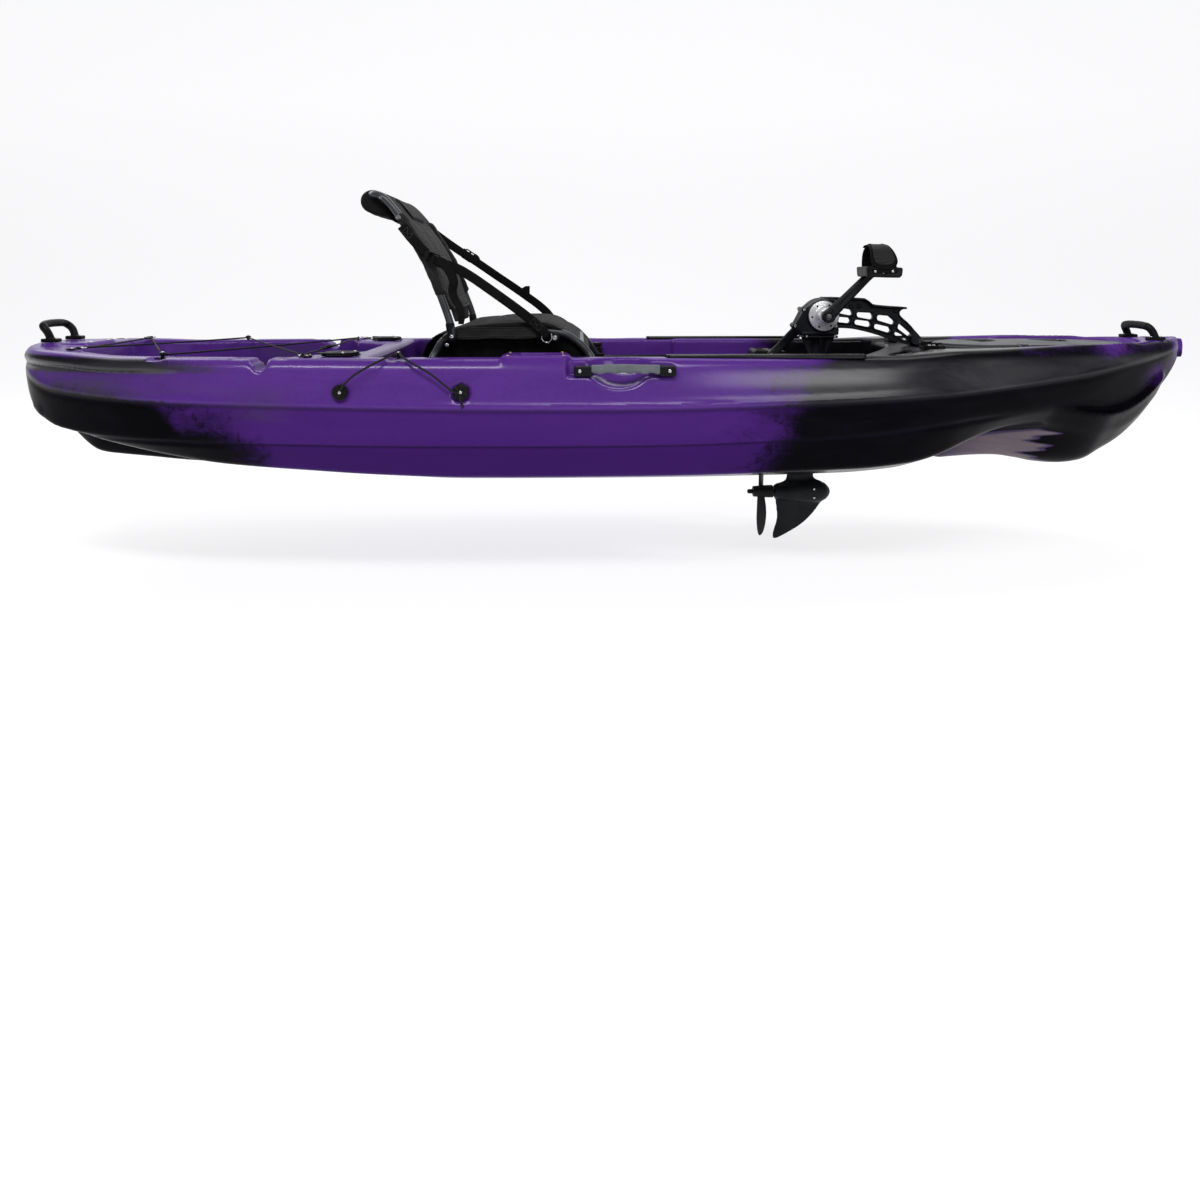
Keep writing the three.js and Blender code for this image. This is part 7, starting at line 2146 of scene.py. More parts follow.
# cranks: forged arms with a clamp slot, bolts, spindles
ANG = math.radians(45)
for side, s, dd in (("starboard", -1, 1), ("port", 1, -1)):
    ex, ez = AX + dd * 170 * math.cos(ANG), AZ + dd * 170 * math.sin(ANG)
    ux, uz = math.cos(ANG) * dd, math.sin(ANG) * dd

    def crank(X, Y, Z):
        A = Y * s
        u = (X - AX) * ux + (Z - AZ) * uz
        v = -(X - AX) * uz + (Z - AZ) * ux
        w = np.interp(u, [0, 20, 60, 150, 170], [17, 16, 14.2, 12, 11.6])
        th0 = np.interp(u, [0, 40, 130, 170], [75.4, 78.5, 78.5, 76.0])
        th1 = np.interp(u, [0, 30, 130, 170], [95.0, 91.5, 90.5, 94.6])
        bar = smax(smax(np.abs(v) - w, np.abs(A - (th0 + th1) / 2) - (th1 - th0) / 2, 5.5), np.maximum(-u, u - 170), 2)
        # flat facets along the outer face
        bar = smax(bar, (A - th1) * 0.75 + (np.abs(v) - w) * 0.66 + 3.4, 1.4)
        bar = smax(bar, -smax(sd_box(u, v, A, (88, 0, 95.4), (44, 4.6, 5.8), 3), -1e3, 1), 2)
        d = smin(bar, sd_rod(X, Y, Z, (AX, s * 75.2, AZ), (AX, s * 95, AZ), 17, 2.6), 6)
        d = smin(d, sd_rod(X, Y, Z, (ex, s * 75.2, ez), (ex, s * 94.6, ez), 12, 2.4), 6)
        d = smax(d, -sd_rod(X, Y, Z, (AX, s * 91.0, AZ), (AX, s * 120, AZ), 10.2, 0.4), 0.8)
        d = smax(d, -sd_rod(X, Y, Z, (AX, s * 60, AZ), (AX, s * 83.5, AZ), 9.5, 0.1), 0.4)
        # clamp slot behind the axle
        d = smax(d, -smax(np.abs(v) - 1.1, np.maximum(u + 8, -30 - u), 0.3), 0.6)
        return d

    lo = (min(AX, ex) - 22, min(s * 73, s * 97), min(AZ, ez) - 22)
    hi = (max(AX, ex) + 22, max(s * 73, s * 97), max(AZ, ez) + 22)
    a = field_mesh("crank_forging", crank, lo, hi, 1.35)
    paint(a, casting_mat)
    bolt = lathe("bolt", [(0, 0.0014), (0.0026, 0.0014), (0.0030, 0.0034), (0.0050, 0.0034), (0.0058, 0.0028), (0.0060, 0.0004), (0.0078, 0.0002), (0.0078, -0.0012), (0, -0.0012)], 28, (AX / 1000, s * 0.0922, AZ / 1000), (0, s, 0))
    paint(bolt, dark_bolt_mat)
    tipb = lathe("spindle_bolt", [(0, 0.0008), (0.0024, 0.0008), (0.0030, 0.0022), (0.0052, 0.0020), (0.0060, 0.0008), (0.0062, -0.0008), (0, -0.0008)], 24, (ex / 1000, s * 0.0948, ez / 1000), (0, s, 0))
    paint(tipb, steel_mat)
    tipi = lathe("spindle_bolt", [(0, 0.0016), (0.0030, 0.0016), (0.0036, 0.0004), (0.0062, 0.0002), (0.0062, -0.0008), (0, -0.0008)], 24, (ex / 1000, s * 0.0752, ez / 1000), (0, -s, 0))
    paint(tipi, steel_mat)
    sp = lathe("spindle", [(0, 0.0725), (0.0075, 0.0725), (0.0075, 0.0955), (0.0052, 0.0970), (0.0050, 0.176), (0.0044, 0.1786), (0, 0.179)], 24, (ex / 1000, 0, ez / 1000), (0, s, 0))
    paint(sp, steel_mat)
    o = joined("crank_arm_%s_assembly" % side, [a, bolt, tipi, sp])
    bpy.data.objects.remove(tipb)
    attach(o, "cranks")
    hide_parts("crank_arm_" + side)

    # pedal body, wedge-shaped, with a ribbed tread
    def pedal(X, Y, Z):
        yc = s * 143
        e = side2(X, Z, round_outline([(ex - 46, ez - 12), (ex + 40, ez - 15), (ex + 46, ez - 8), (ex + 48, ez + 12), (ex - 48, ez + 15)], [5, 6, 4, 5, 4]))
        d = smax(e, np.abs(Y - yc) - 46, 5)
        # hollow pockets below, ribs left between
        for px_ in (-23, 20):
            for py_ in (-22, 22):
                d = smax(d, -sd_box(X, Y, Z, (ex + px_, yc + py_, ez - 16), (14, 15, 9), 3), 1.5)
        tread = 1.1 * np.exp(-(((X - ex + 1000) % 13.0 - 6.5) / 2.6) ** 2) * (Z > ez + 6) * sstep(40 - np.abs(Y - yc), 0, 5) * sstep(42 - np.abs(X - ex), 0, 4)
        d = d - tread
        d = smin(d, sd_rod(X, Y, Z, (ex, s * 98, ez), (ex, s * 101, ez), 10, 1), 1)
        d = smax(d, -sd_rod(X, Y, Z, (ex, s * 90, ez), (ex, s * 200, ez), 5.7, 0.1), 0.4)
        # strap anchor notches along both long sides
        for sy in (-46, 46):
            d = smax(d, -sd_box(X, Y, Z, (ex - 4, yc + sy, ez + 2), (37, 2.6, 5.5), 1.5), 1.0)
        return d

    p = field_mesh("pedal_body", pedal, (ex - 54, s * 143 - 52, ez - 20), (ex + 54, s * 143 + 52, ez + 21), 1.5)
    paint(p, black_mat)
    # strap over the foot: a doubled band with a hook-and-loop panel on the outer side
    def band(width, off, u0, u1, thick, n=44, lean=0.0, w_end=None):
        path, wd, cxs = [], [], []
        for i in range(n + 1):
            u = u0 + (u1 - u0) * i / n
            a = math.pi * u
            c = math.cos(a)
            yy = s * 143 - s * (43.5 + off) * (abs(c) ** 0.82) * (1 if c > 0 else -1) * 1.0
            zz = ez + 4 + (64 + off) * max(math.sin(a), 0) ** 0.62 - 6 * (1 - math.sin(a))
            path.append((yy, zz))
            top = math.sin(a)
            wd.append(width * (1 - 0.30 * top ** 2))
            cxs.append(ex - 1 - 9 * top ** 1.5 + lean * top)
        return path, wd, cxs

    def ribbon(name, path, wd, cxs, thick, mat, round_end=0.0, inset=0.0):
        n = len(path)
        pts = np.array([(0, q[0], q[1]) for q in path], float)
        t = np.gradient(pts, axis=0)
        t /= np.linalg.norm(t, axis=1)[:, None]
        nrm = np.stack([np.zeros(n), -t[:, 2], t[:, 1]], 1)
        k = 15
        L = np.concatenate([[0], np.cumsum(np.linalg.norm(np.diff(pts, axis=0), axis=1))])
        verts, uv, faces = [], [], []
        for i in range(n):
            w = wd[i] - inset * 2
            if round_end and L[-1] - L[i] < round_end:
                q = 1 - (L[-1] - L[i]) / round_end
                w *= math.sqrt(max(1 - q * q, 0.0)) * 0.62 + 0.38
            ring = []
            for j in range(k + 1):
                f = j / k - 0.5
                belly = 1.6 * math.sin(3.1 * f + i * 0.21) * 0.35
                ring.append((cxs[i] + f * w, pts[i, 1] + nrm[i, 1] * belly, pts[i, 2] + nrm[i, 2] * belly))
            for sgn in (1, -1):
                seq = ring if sgn > 0 else ring[::-1]
                for j, q in enumerate(seq):
                    ed = min(j, k - j)
                    h = thick / 2 * (0.55 if ed == 0 else 1.0)
                    verts.append((q[0] / 1000, (q[1] + sgn * nrm[i, 1] * h) / 1000, (q[2] + sgn * nrm[i, 2] * h) / 1000))
                    uv.append((L[i] / 1000, (q[0] - cxs[i]) / 1000 + (0.2 if sgn < 0 else 0)))
        m = 2 * (k + 1)
        for i in range(n - 1):
            for j in range(m):
                faces.append((i * m + j, i * m + (j + 1) % m, (i + 1) * m + (j + 1) % m, (i + 1) * m + j))
        faces += [tuple(range(m)), tuple((n - 1) * m + j for j in range(m))]
        o = outward(new_object(name, mesh_from(name, verts, faces, True, uv)))
        shade(o, 60)
        paint(o, mat)
        return o

    inner = ribbon("strap_inner", *band(64, 0, 0.0, 1.0, 3), 3.0, web_mat)
    # the outer side is at the end of the arch furthest from the hull's middle
    pth, wd, cxs = band(72, 3.6, 0.34, 0.985, 3)
    outer = ribbon("strap_outer", pth, wd, cxs, 3.4, web_mat, round_end=26)
    pth2, wd2, cxs2 = band(72, 6.2, 0.44, 0.955, 3)
    patch = ribbon("strap_patch", pth2, wd2, cxs2, 1.6, binding_mat, round_end=22, inset=7)
    parts = [p, inner, outer, patch]
    # stitching round the panel
    pts = np.array([(c, q[0], q[1]) for c, q in zip(cxs2, pth2)], float)
    tan = np.gradient(pts, axis=0)
    tan /= np.linalg.norm(tan, axis=1)[:, None]
    nr = np.stack([np.zeros(len(pts)), -tan[:, 2], tan[:, 1]], 1)
    # outward side of the arch
    ctr = np.array([ex, s * 143, ez])
    flipn = np.sign(((pts - ctr) * nr).sum(1))[:, None]
    for side_w in (-1, 1):
        run = [(pts[i, 0] + side_w * (wd2[i] / 2 - 9.5), pts[i, 1] + nr[i, 1] * flipn[i, 0] * 1.2, pts[i, 2] + nr[i, 2] * flipn[i, 0] * 1.2) for i in range(3, len(pts) - 8)]
        run = resample(np.array(run) / 1000, 0.0021)
        for i in range(0, len(run) - 1, 2):
            st = sweep("stitch", [run[i], run[i + 1]], ring_section(0.00042, 5))
            paint(st, thread_mat)
            parts.append(st)
    for sy in (-1, 1):
        for px_ in (-26, 20):
            rv = screw_head(((ex + px_) / 1000, (s * 143 + sy * 46.2) / 1000, (ez + 2) / 1000), 0.0038, (0, sy, 0), 0.0018)
            paint(rv, steel_mat)
            parts.append(rv)
    o = joined("pedal_%s_assembly" % side, parts)
    if s > 0:  # the far pedal hangs with its strap below
        piv = Matrix.Translation((ex / 1000, 0, ez / 1000))
        o.data.transform(piv @ Matrix.Rotation(math.pi, 4, "Y") @ piv.inverted())
    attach(o, "pedal_" + side)
    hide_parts("pedal_" + side)

# running gear inside
paint(NODES["drive_shaft"], steel_mat)
paint(NODES["crank_axle"], steel_mat)


# ---------------------------------------------------------------- framed seat
def swell(o, cap, pin, pressure=4.0, steps=18, shrink=0.0, bend=0.6):
    """Stuffing by cloth simulation: the closed cloth is blown up, held at the points where pin(x, y, z) in millimetres is true, and no point moves further than cap."""
    me = o.data
    n = len(me.vertices)
    base = np.empty(n * 3)
    me.vertices.foreach_get("co", base)
    base = base.reshape(-1, 3)
    held = pin(*(base.T * 1000))
    g = o.vertex_groups.new(name="pin")
    for w in (0.35, 1.0):
        sel = np.nonzero((held >= w - 1e-6) & (held < w + 0.3))[0]
        if len(sel):
            g.add([int(i) for i in sel], w, "REPLACE")
    md = o.modifiers.new("cloth", "CLOTH")
    s = md.settings
    s.quality = 4
    s.mass = 0.25
    s.tension_stiffness = s.compression_stiffness = 14
    s.shear_stiffness = 5
    s.bending_stiffness = bend
    s.use_pressure = True
    s.uniform_pressure_force = pressure
    s.shrink_min = shrink
    s.effector_weights.gravity = 0
    s.vertex_group_mass = "pin"
    s.pin_stiffness = 1.0
    md.collision_settings.use_collision = False
    md.collision_settings.use_self_collision = False
    md.point_cache.frame_start, md.point_cache.frame_end = 1, steps
    for f in range(1, steps + 1):
        scene.frame_set(f)
    dg = bpy.context.evaluated_depsgraph_get()
    ev = o.evaluated_get(dg).to_mesh()
    out = np.empty(n * 3)
    ev.vertices.foreach_get("co", out)
    o.evaluated_get(dg).to_mesh_clear()
    out = out.reshape(-1, 3)
    o.modifiers.clear()
    o.vertex_groups.clear()
    scene.frame_set(1)
    d = out - base
    d[~np.isfinite(d).all(axis=1)] = 0
    L = np.linalg.norm(d, axis=1)
    d *= (cap * np.tanh(L / cap) / np.maximum(L, 1e-9))[:, None]
    me.vertices.foreach_set("co", (base + d).ravel())
    me.update()
    return o


def finer(o, level=1):
    m = o.modifiers.new("subdivision", "SUBSURF")
    m.levels = m.render_levels = level
    apply_modifiers(o)
    o.data.polygons.foreach_set("use_smooth", np.full(len(o.data.polygons), True))
    return o


def surface_of(o):
    from mathutils.bvhtree import BVHTree
    return BVHTree.FromPolygons([v.co for v in o.data.vertices], [tuple(p.vertices) for p in o.data.polygons])


def drop(tree, pts, way, lift=0.0):
    """Points in metres moved along way onto the surface, then lifted off it. Returns points and normals."""
    out, nr = [], []
    w = Vector(way).normalized()
    for p in pts:
        hit = tree.ray_cast(Vector(p), w)
        if hit[0] is None:
            continue
        nn = hit[1] if hit[1].dot(w) < 0 else -hit[1]
        out.append(tuple(hit[0] + nn * lift))
        nr.append(tuple(nn))
    return np.array(out), np.array(nr)


def stitches(name, path, normals=None, length=0.0034, gap=0.0016, r=0.00048, zig=0.0):
    """A run of thread stitches along a path, each its own short cord, one mesh. zig sets them to and fro."""
    p = np.asarray(path, float)
    if len(p) < 2:
        return None
    s = np.concatenate([[0], np.cumsum(np.linalg.norm(np.diff(p, axis=0), axis=1))])
    at = lambda q: np.array([np.interp(q, s, p[:, k]) for k in range(3)])
    nrm = (lambda q: np.array([np.interp(q, s, np.asarray(normals)[:, k]) for k in range(3)])) if normals is not None else (lambda q: np.array([0, 0, 1.0]))
    verts, faces = [], []
    q = 0.0
    flip = 1
    while q + length < s[-1]:
        a, b = at(q), at(q + length)
        t = (b - a) / max(np.linalg.norm(b - a), 1e-9)
        nn = nrm(q + length / 2)
        sd = np.cross(t, nn)
        sd /= max(np.linalg.norm(sd), 1e-9)
        if zig:
            a, b = a - sd * zig * flip, b + sd * zig * flip
            flip = -flip
        nn = nn / max(np.linalg.norm(nn), 1e-9)
        rows = []
        for f, rr, up in ((0.0, 0.35, -0.0002), (0.22, 1.0, 0.0002), (0.78, 1.0, 0.0002), (1.0, 0.35, -0.0002)):
            c = a + (b - a) * f + nn * up
            i0 = len(verts)
            for k in range(5):
                an = 2 * math.pi * k / 5
                verts.append(c + sd * math.cos(an) * r * rr + nn * math.sin(an) * r * rr)
            rows.append(i0)
        for u, v in zip(rows, rows[1:]):
            for k in range(5):
                faces.append((u + k, u + (k + 1) % 5, v + (k + 1) % 5, v + k))
        faces.append(tuple(rows[0] + k for k in range(5))[::-1])
        faces.append(tuple(rows[-1] + k for k in range(5)))
        q += length + gap
    if not verts:
        return None
    o = new_object(name, mesh_from(name, verts, faces, True))
    return paint(outward(o), thread_mat)


def band_mesh(name, path, width, thick, across, uv_off=0.0, taper=None, k=5):
    """Flat webbing along a path, width measured along across (one vector or one for each point)."""
    p = np.asarray(path, float)
    t, s, u = frames(p, np.asarray(across, float))
    # frames() gives s = t x across: that is the webbing's normal, and u the in-plane width
    n = len(p)
    L = np.concatenate([[0], np.cumsum(np.linalg.norm(np.diff(p, axis=0), axis=1))])
    sec = []
    for i in range(k + 1):
        f = i / k - 0.5
        sec.append((f, 0.5 if 0 < i < k else 0.28))
    ring = sec + [(f, -h) for f, h in sec[::-1]]
    verts, uv, faces = [], [], []
    m = len(ring)
    for i in range(n):
        w = width * (taper[i] if taper is not None else 1)
        for f, h in ring:
            verts.append(p[i] + u[i] * f * w + s[i] * h * thick)
            uv.append((L[i], f * w + uv_off))
    for i in range(n - 1):
        for j in range(m):
            faces.append((i * m + j, i * m + (j + 1) % m, (i + 1) * m + (j + 1) % m, (i + 1) * m + j))
    faces += [tuple(range(m)), tuple((n - 1) * m + j for j in range(m))]
    return outward(new_object(name, mesh_from(name, verts, faces, True, uv)))


M3 = lambda pts: np.array(pts, float) / 1000
SY = 222.0

# base frame: drawn tubes with swaged feet, cross tubes, bolts
HOOP = [(-505, 30, 299), (-496, 22, 306), (-478, 0, 346), (-456, 0, 378), (-416, 0, 396), (-280, 0, 399), (-170, 0, 397), (-126, 0, 379), (-92, 0, 346), (-70, 22, 312), (-60, 30, 299)]
parts = []
for s in (1, -1):
    pts = M3([(x, s * (SY + dy), z) for x, dy, z in HOOP])
    h = tube("hoop", pts, 0.0095, 20, 10)
    parts.append(paint(h, seat_tube_mat))
    foot = plate("foot", round_outline([(-532, s * 242), (-480, s * 242), (-480, s * 304), (-532, s * 304)], 8), 0.2855, 0.2895, 0.0008, 2) if False else None
    ft = plate("foot", [(x / 1000, y / 1000) for x, y in round_outline([(-532, s * 242), (-480, s * 242), (-480, s * 304), (-532, s * 304)][::s], 9)], 0.2856, 0.2950, 0.0016, 3)
    parts.append(paint(ft, black_mat))
    ft = plate("clamp_foot", [(x / 1000, y / 1000) for x, y in round_outline([(-82, s * 242), (-38, s * 242), (-38, s * 306), (-82, s * 306)][::s], 8)], 0.2952, 0.3030, 0.0014, 3)
    parts.append(paint(ft, black_mat))

    def clamp(X, Y, Z):
        d = sd_box(X, Y, Z, (-60, s * 288, 311), (17, 13, 9.4), 3.5)
        d = smin(d, sd_rod(X, Y, Z, (-60, s * 288, 302), (-60, s * 288, 321.4), 11.5, 1.2), 2)
        d = smax(d, -sd_box(X, Y, Z, (-43, s * 288, 311), (3, 8, 5.5), 1), 0.8)
        d = smax(d, -sd_box(X, Y, Z, (-77, s * 288, 311), (3, 8, 5.5), 1), 0.8)
        for k in (-8.5, 8.5):
            d = smax(d, -sd_box(X, Y, Z, (-60 + k, s * 288 - s * 13, 311), (1.2, 2.6, 7), 0.4), 0.5)
        return smax(d, -sd_rod(X, Y, Z, (-60, s * 288, 290), (-60, s * 288, 340), 6.7, 0.1), 0.3)
    c = field_mesh("clamp_body", clamp, (-81, s * 288 - 17, 298), (-39, s * 288 + 17, 325), 1.0)
    parts.append(paint(c, black_mat))
    # upright steel plate between the leg and the clamp
    up = plate("clamp_post", [(x / 1000, z / 1000) for x, z in round_outline([(-84, 303), (-70, 303), (-74, 335), (-88, 335)], 3)], s * 0.2560, s * 0.2590, 0.0006, 2, axis="Y")
    parts.append(paint(up, grip_mat))
    for x, z, yy in ((-433, 388, 250), (-447, 366, 233)):
        b = lathe("rivet", [(0, 0.0032), (0.0030, 0.0031), (0.0052, 0.0022), (0.0062, 0.0005), (0.0062, -0.001), (0, -0.001)], 20, (x / 1000, s * yy / 1000, z / 1000), (0, s, 0))
        parts.append(paint(b, steel_mat))
    piv = lathe("pivot_pin", [(0, 0.214), (0.0046, 0.214), (0.0046, 0.2505), (0, 0.2505)], 18, (-0.433, 0, 0.388), (0, s, 0))
    parts.append(paint(piv, steel_mat))
    blk = field_mesh("pivot_block", lambda X, Y, Z: smax(sd_box(X, Y, Z, (-433, s * 222, 384), (10.5, 9, 9), 3.5), -sd_rod(X, Y, Z, (-433, s * 200, 388), (-433, s * 260, 388), 4.7, 0.1), 0.3), (-447, s * 222 - 12, 372), (-419, s * 222 + 12, 396), 1.2)
    parts.append(paint(blk, black_mat))
    # boss with a bolt where the tension strap's ring is held
    hub = lathe("ring_hub", [(0, 0.0165), (0.0042, 0.0165), (0.0105, 0.0145), (0.0118, 0.012), (0.0118, 0.0), (0, 0.0)], 28, (-0.1755, s * 0.2295, 0.3845), (0, s, 0))
    parts.append(paint(hub, black_mat))
    parts.append(paint(lathe("hub_bolt", [(0, 0.0028), (0.0022, 0.0028), (0.0026, 0.0036), (0.0050, 0.0034), (0.0062, 0.0018), (0.0064, 0), (0, 0)], 22, (-0.1755, s * 0.2455, 0.3845), (0, s, 0)), steel_mat))
    ring = tube("strap_ring", [(-0.1955 + 0.0125 * math.cos(a), s * 0.2475, 0.3875 + 0.0145 * math.sin(a)) for a in np.linspace(0, 2 * math.pi, 28, endpoint=False)], 0.0017, 10, 3, closed=True)
    parts.append(paint(ring, steel_mat))
for x, z, r in ((-470, 355, 8), (-110, 366, 8)):
    parts.append(paint(tube("cross_tube", M3([(x, -SY + 4, z), (x, 0, z), (x, SY - 4, z)]), r / 1000, 18, 4), seat_tube_mat))
o = joined("seat_base", parts)
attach(o, "seat")
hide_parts("seat_frame")

# clamp knobs: lobed heads on a threaded stem
for side, s in (("port", 1), ("starboard", -1)):
    cx, cy = -60.0, s * 288.0

    def knob(X, Y, Z):
        a = np.arctan2(Y - cy, X - cx)
        rad = np.sqrt((X - cx) ** 2 + (Y - cy) ** 2)
        R = 15.2 + 1.5 * np.cos(6 * a)
        d = smax(rad - R, np.abs(Z - 328.2) - 5.6, 3.2)
        d = smax(d, -(np.sqrt((X - cx) ** 2 + (Y - cy) ** 2 + (Z - 345) ** 2) - 13.6), 1.2)
        return smin(d, sd_rod(X, Y, Z, (cx, cy, 303.8), (cx, cy, 326), 6.2, 0.4), 1.5)
    k = field_mesh("knob_head", knob, (cx - 19, cy - 19, 302), (cx + 19, cy + 19, 336), 0.95)
    paint(k, black_mat)
    nut = screw_head((cx / 1000, cy / 1000, 0.3318), 0.0042, (0, 0, 1), 0.0016)
    paint(nut, steel_mat)
    o = joined("clamp_knob_%s_assembly" % side, [k, nut])
    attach(o, "clamp_knob_" + side)
    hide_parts("clamp_knob_" + side)

# pan: padded fabric slung over the side tubes, wrapped round the front tube
PAN_PROF = [(-424, 394), (-431, 404), (-421, 413), (-400, 418), (-345, 424), (-290, 427), (-220, 429), (-194, 427), (-162, 414), (-130, 391), (-103, 366), (-88, 351), (-83, 343), (-91, 340), (-97, 350), (-108, 362), (-130, 380), (-165, 399), (-200, 408), (-280, 408), (-400, 400)]
PAN_SEAMS = [88.0]


def pan_field(X, Y, Z):
    A = np.abs(Y)
    drop_c = 4.5 * np.exp(-((A - 0) / 120.0) ** 2) * sstep(X, -440, -380) * (1 - sstep(X, -200, -130))
    # the cloth runs over the tubes at the sides and dips between them
    dl = side2(X, Z, chaikin(PAN_PROF, 1)) + 0 * A
    edge = sstep(A, 190, 222)
    d = smax(dl + 3.2 * edge, A - np.interp(X, [-430, -400, -150, -90], [214, 233.5, 233.5, 216]), 9)
    hoop = None
    for a, b in zip(HOOP[1:-1], HOOP[2:]):
        q = sd_seg(X, A, Z, (a[0], SY + a[1] * 0, a[2]), (b[0], SY + b[1] * 0, b[2]), 10.2)
        hoop = q if hoop is None else np.minimum(hoop, q)
    d = smax(d, -hoop, 2.0)
    # sewn channels: two along, two across, and the fold at the front tube
    for sy in PAN_SEAMS:
        d = d + 2.6 * np.exp(-((A - sy) / 4.2) ** 2) * (Z > 414 - 58 * sstep(X, -190, -110)) * sstep(X, -425, -410)
    for sx in (-345.0, -205.0, -133.0):
        d = d + (2.4 if sx < -140 else 1.6) * np.exp(-((X - sx) / 4.2) ** 2) * (Z > (411 if sx < -140 else 386)) * (A < 212)
    # shallow wrinkles that run from the corners
    w = np.sin((X + 0.45 * A) / 21.0 + 1.4 * np.sin(A / 47.0)) * np.exp(-((A - 196) / 34.0) ** 2) * 0.8
    return d - w * (Z > 410)


pan = field_mesh("seat_pan_cushion", pan_field, (-445, -242, 332), (-74, 242, 442), 5.0)


def pan_pin(x, y, z):
    a = np.abs(y)
    seam = (np.abs(a - 88) < 3.4) | (np.abs(x + 345) < 3.4) | (np.abs(x + 205) < 3.4) | (np.abs(x + 133) < 3.4)
    rim = (a > 205) | (z < 386) | (x < -414)
    return np.where(seam | rim, 1.0, 0.0)


swell(pan, 0.0045, pan_pin, 3.0)
tree = surface_of(pan)
finer(pan)
paint(pan, fabric_mat)
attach(pan, "seat")
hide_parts("seat_pan")

trim = []
for s in (1, -1):
    # hem band that hangs from the side tube, bound along its lower edge
    xs = np.linspace(-458, -206, 40)
    top = np.interp(xs, [-458, -440, -420, -206], [386, 400, 409, 412])
    low = np.interp(xs, [-458, -445, -420, -230, -206], [374, 380, 383, 385, 390]) + 1.2 * np.sin(xs / 19.0)
    verts, faces = [], []
    for i, x in enumerate(xs):
        for f in np.linspace(0, 1, 7):
            z = top[i] + (low[i] - top[i]) * f
            yy = 233.6 + 1.6 * f + 0.9 * math.sin(x / 13.0 + f * 2) * f
            verts.append((x, s * yy, z))
    n = 7
    for i in range(len(xs) - 1):
        for j in range(n - 1):
            faces.append((i * n + j, i * n + j + 1, (i + 1) * n + j + 1, (i + 1) * n + j))
    hem = new_object("hem", mesh_from("hem", M3(verts), faces, True))
    sol = hem.modifiers.new("t", "SOLIDIFY")
    sol.thickness, sol.offset = 0.0018, 0.0
    apply_modifiers(hem)
    trim.append(paint(outward(hem), skirt_edge_mat))
    lowpath = M3([(x, s * 235.4, z - 0.5) for x, z in zip(xs, low)])
    trim.append(paint(sweep("hem_piping", lowpath, ring_section(0.0019, 10)), binding_mat))
    uppath = M3([(x, s * 234.2, z - 1) for x, z in zip(xs, top)])
    trim.append(paint(sweep("hem_piping", uppath, ring_section(0.0017, 10)), binding_mat))
    run, nr = drop(tree, M3([(x, s * 225, 452) for x in np.linspace(-412, -165, 60)]), (0, 0, -1), 0.0003)
    trim.append(stitches("rim_stitches", run, nr))
    for z_off, f in ((3.5, 0.2), (-3, 0.8)):
        run = M3([(x, s * (234.9 + 1.3 * f), t + (l - t) * f) for x, t, l in zip(xs[2:-1], top[2:-1], low[2:-1])])
        trim.append(stitches("hem_stitches", run, np.tile([0, s, 0], (len(run), 1))))
    # bar-tack at the aft end of the hem
    run = M3([(-446, s * 236, 379), (-420, s * 236, 381)])
    trim.append(stitches("bar_tack", run, np.tile([0, s, 0], (2, 1)), 0.0030, 0.0002, 0.0005, zig=0.0016))
for sy in (-88, 88):
    for off in (-4.6, 4.6):
        run, nr = drop(tree, M3([(x, sy + off, 452) for x in np.linspace(-412, -104, 90)]), (0, 0, -1), 0.0003)
        trim.append(stitches("channel_stitches", run, nr))
for sx in (-345, -205, -133):
    for off in (-4.6, 4.6):
        run, nr = drop(tree, M3([(sx + off, y, 452) for y in np.linspace(-205, 205, 90)]), (0, 0, -1), 0.0003)
        trim.append(stitches("channel_stitches", run, nr))
o = joined("seat_pan_trim", [t for t in trim if t])
extra(o, None, "seat")


# net skirts that close the sides under the pan, and the flap behind it
def curtain(name, P, thick=0.0016):
    P = np.asarray(P, float)
    n, k = P.shape[:2]
    faces = [(i * k + j, i * k + j + 1, (i + 1) * k + j + 1, (i + 1) * k + j) for i in range(n - 1) for j in range(k - 1)]
    o = new_object(name, mesh_from(name, P.reshape(-1, 3) / 1000, faces, True))
    m = o.modifiers.new("t", "SOLIDIFY")
    m.thickness, m.offset = thick, 0.0
    apply_modifiers(o)
    return outward(o)


def length_of(P):
    P = np.asarray(P, float) / 1000
    return float(np.linalg.norm(np.diff(P, axis=0), axis=1).sum())


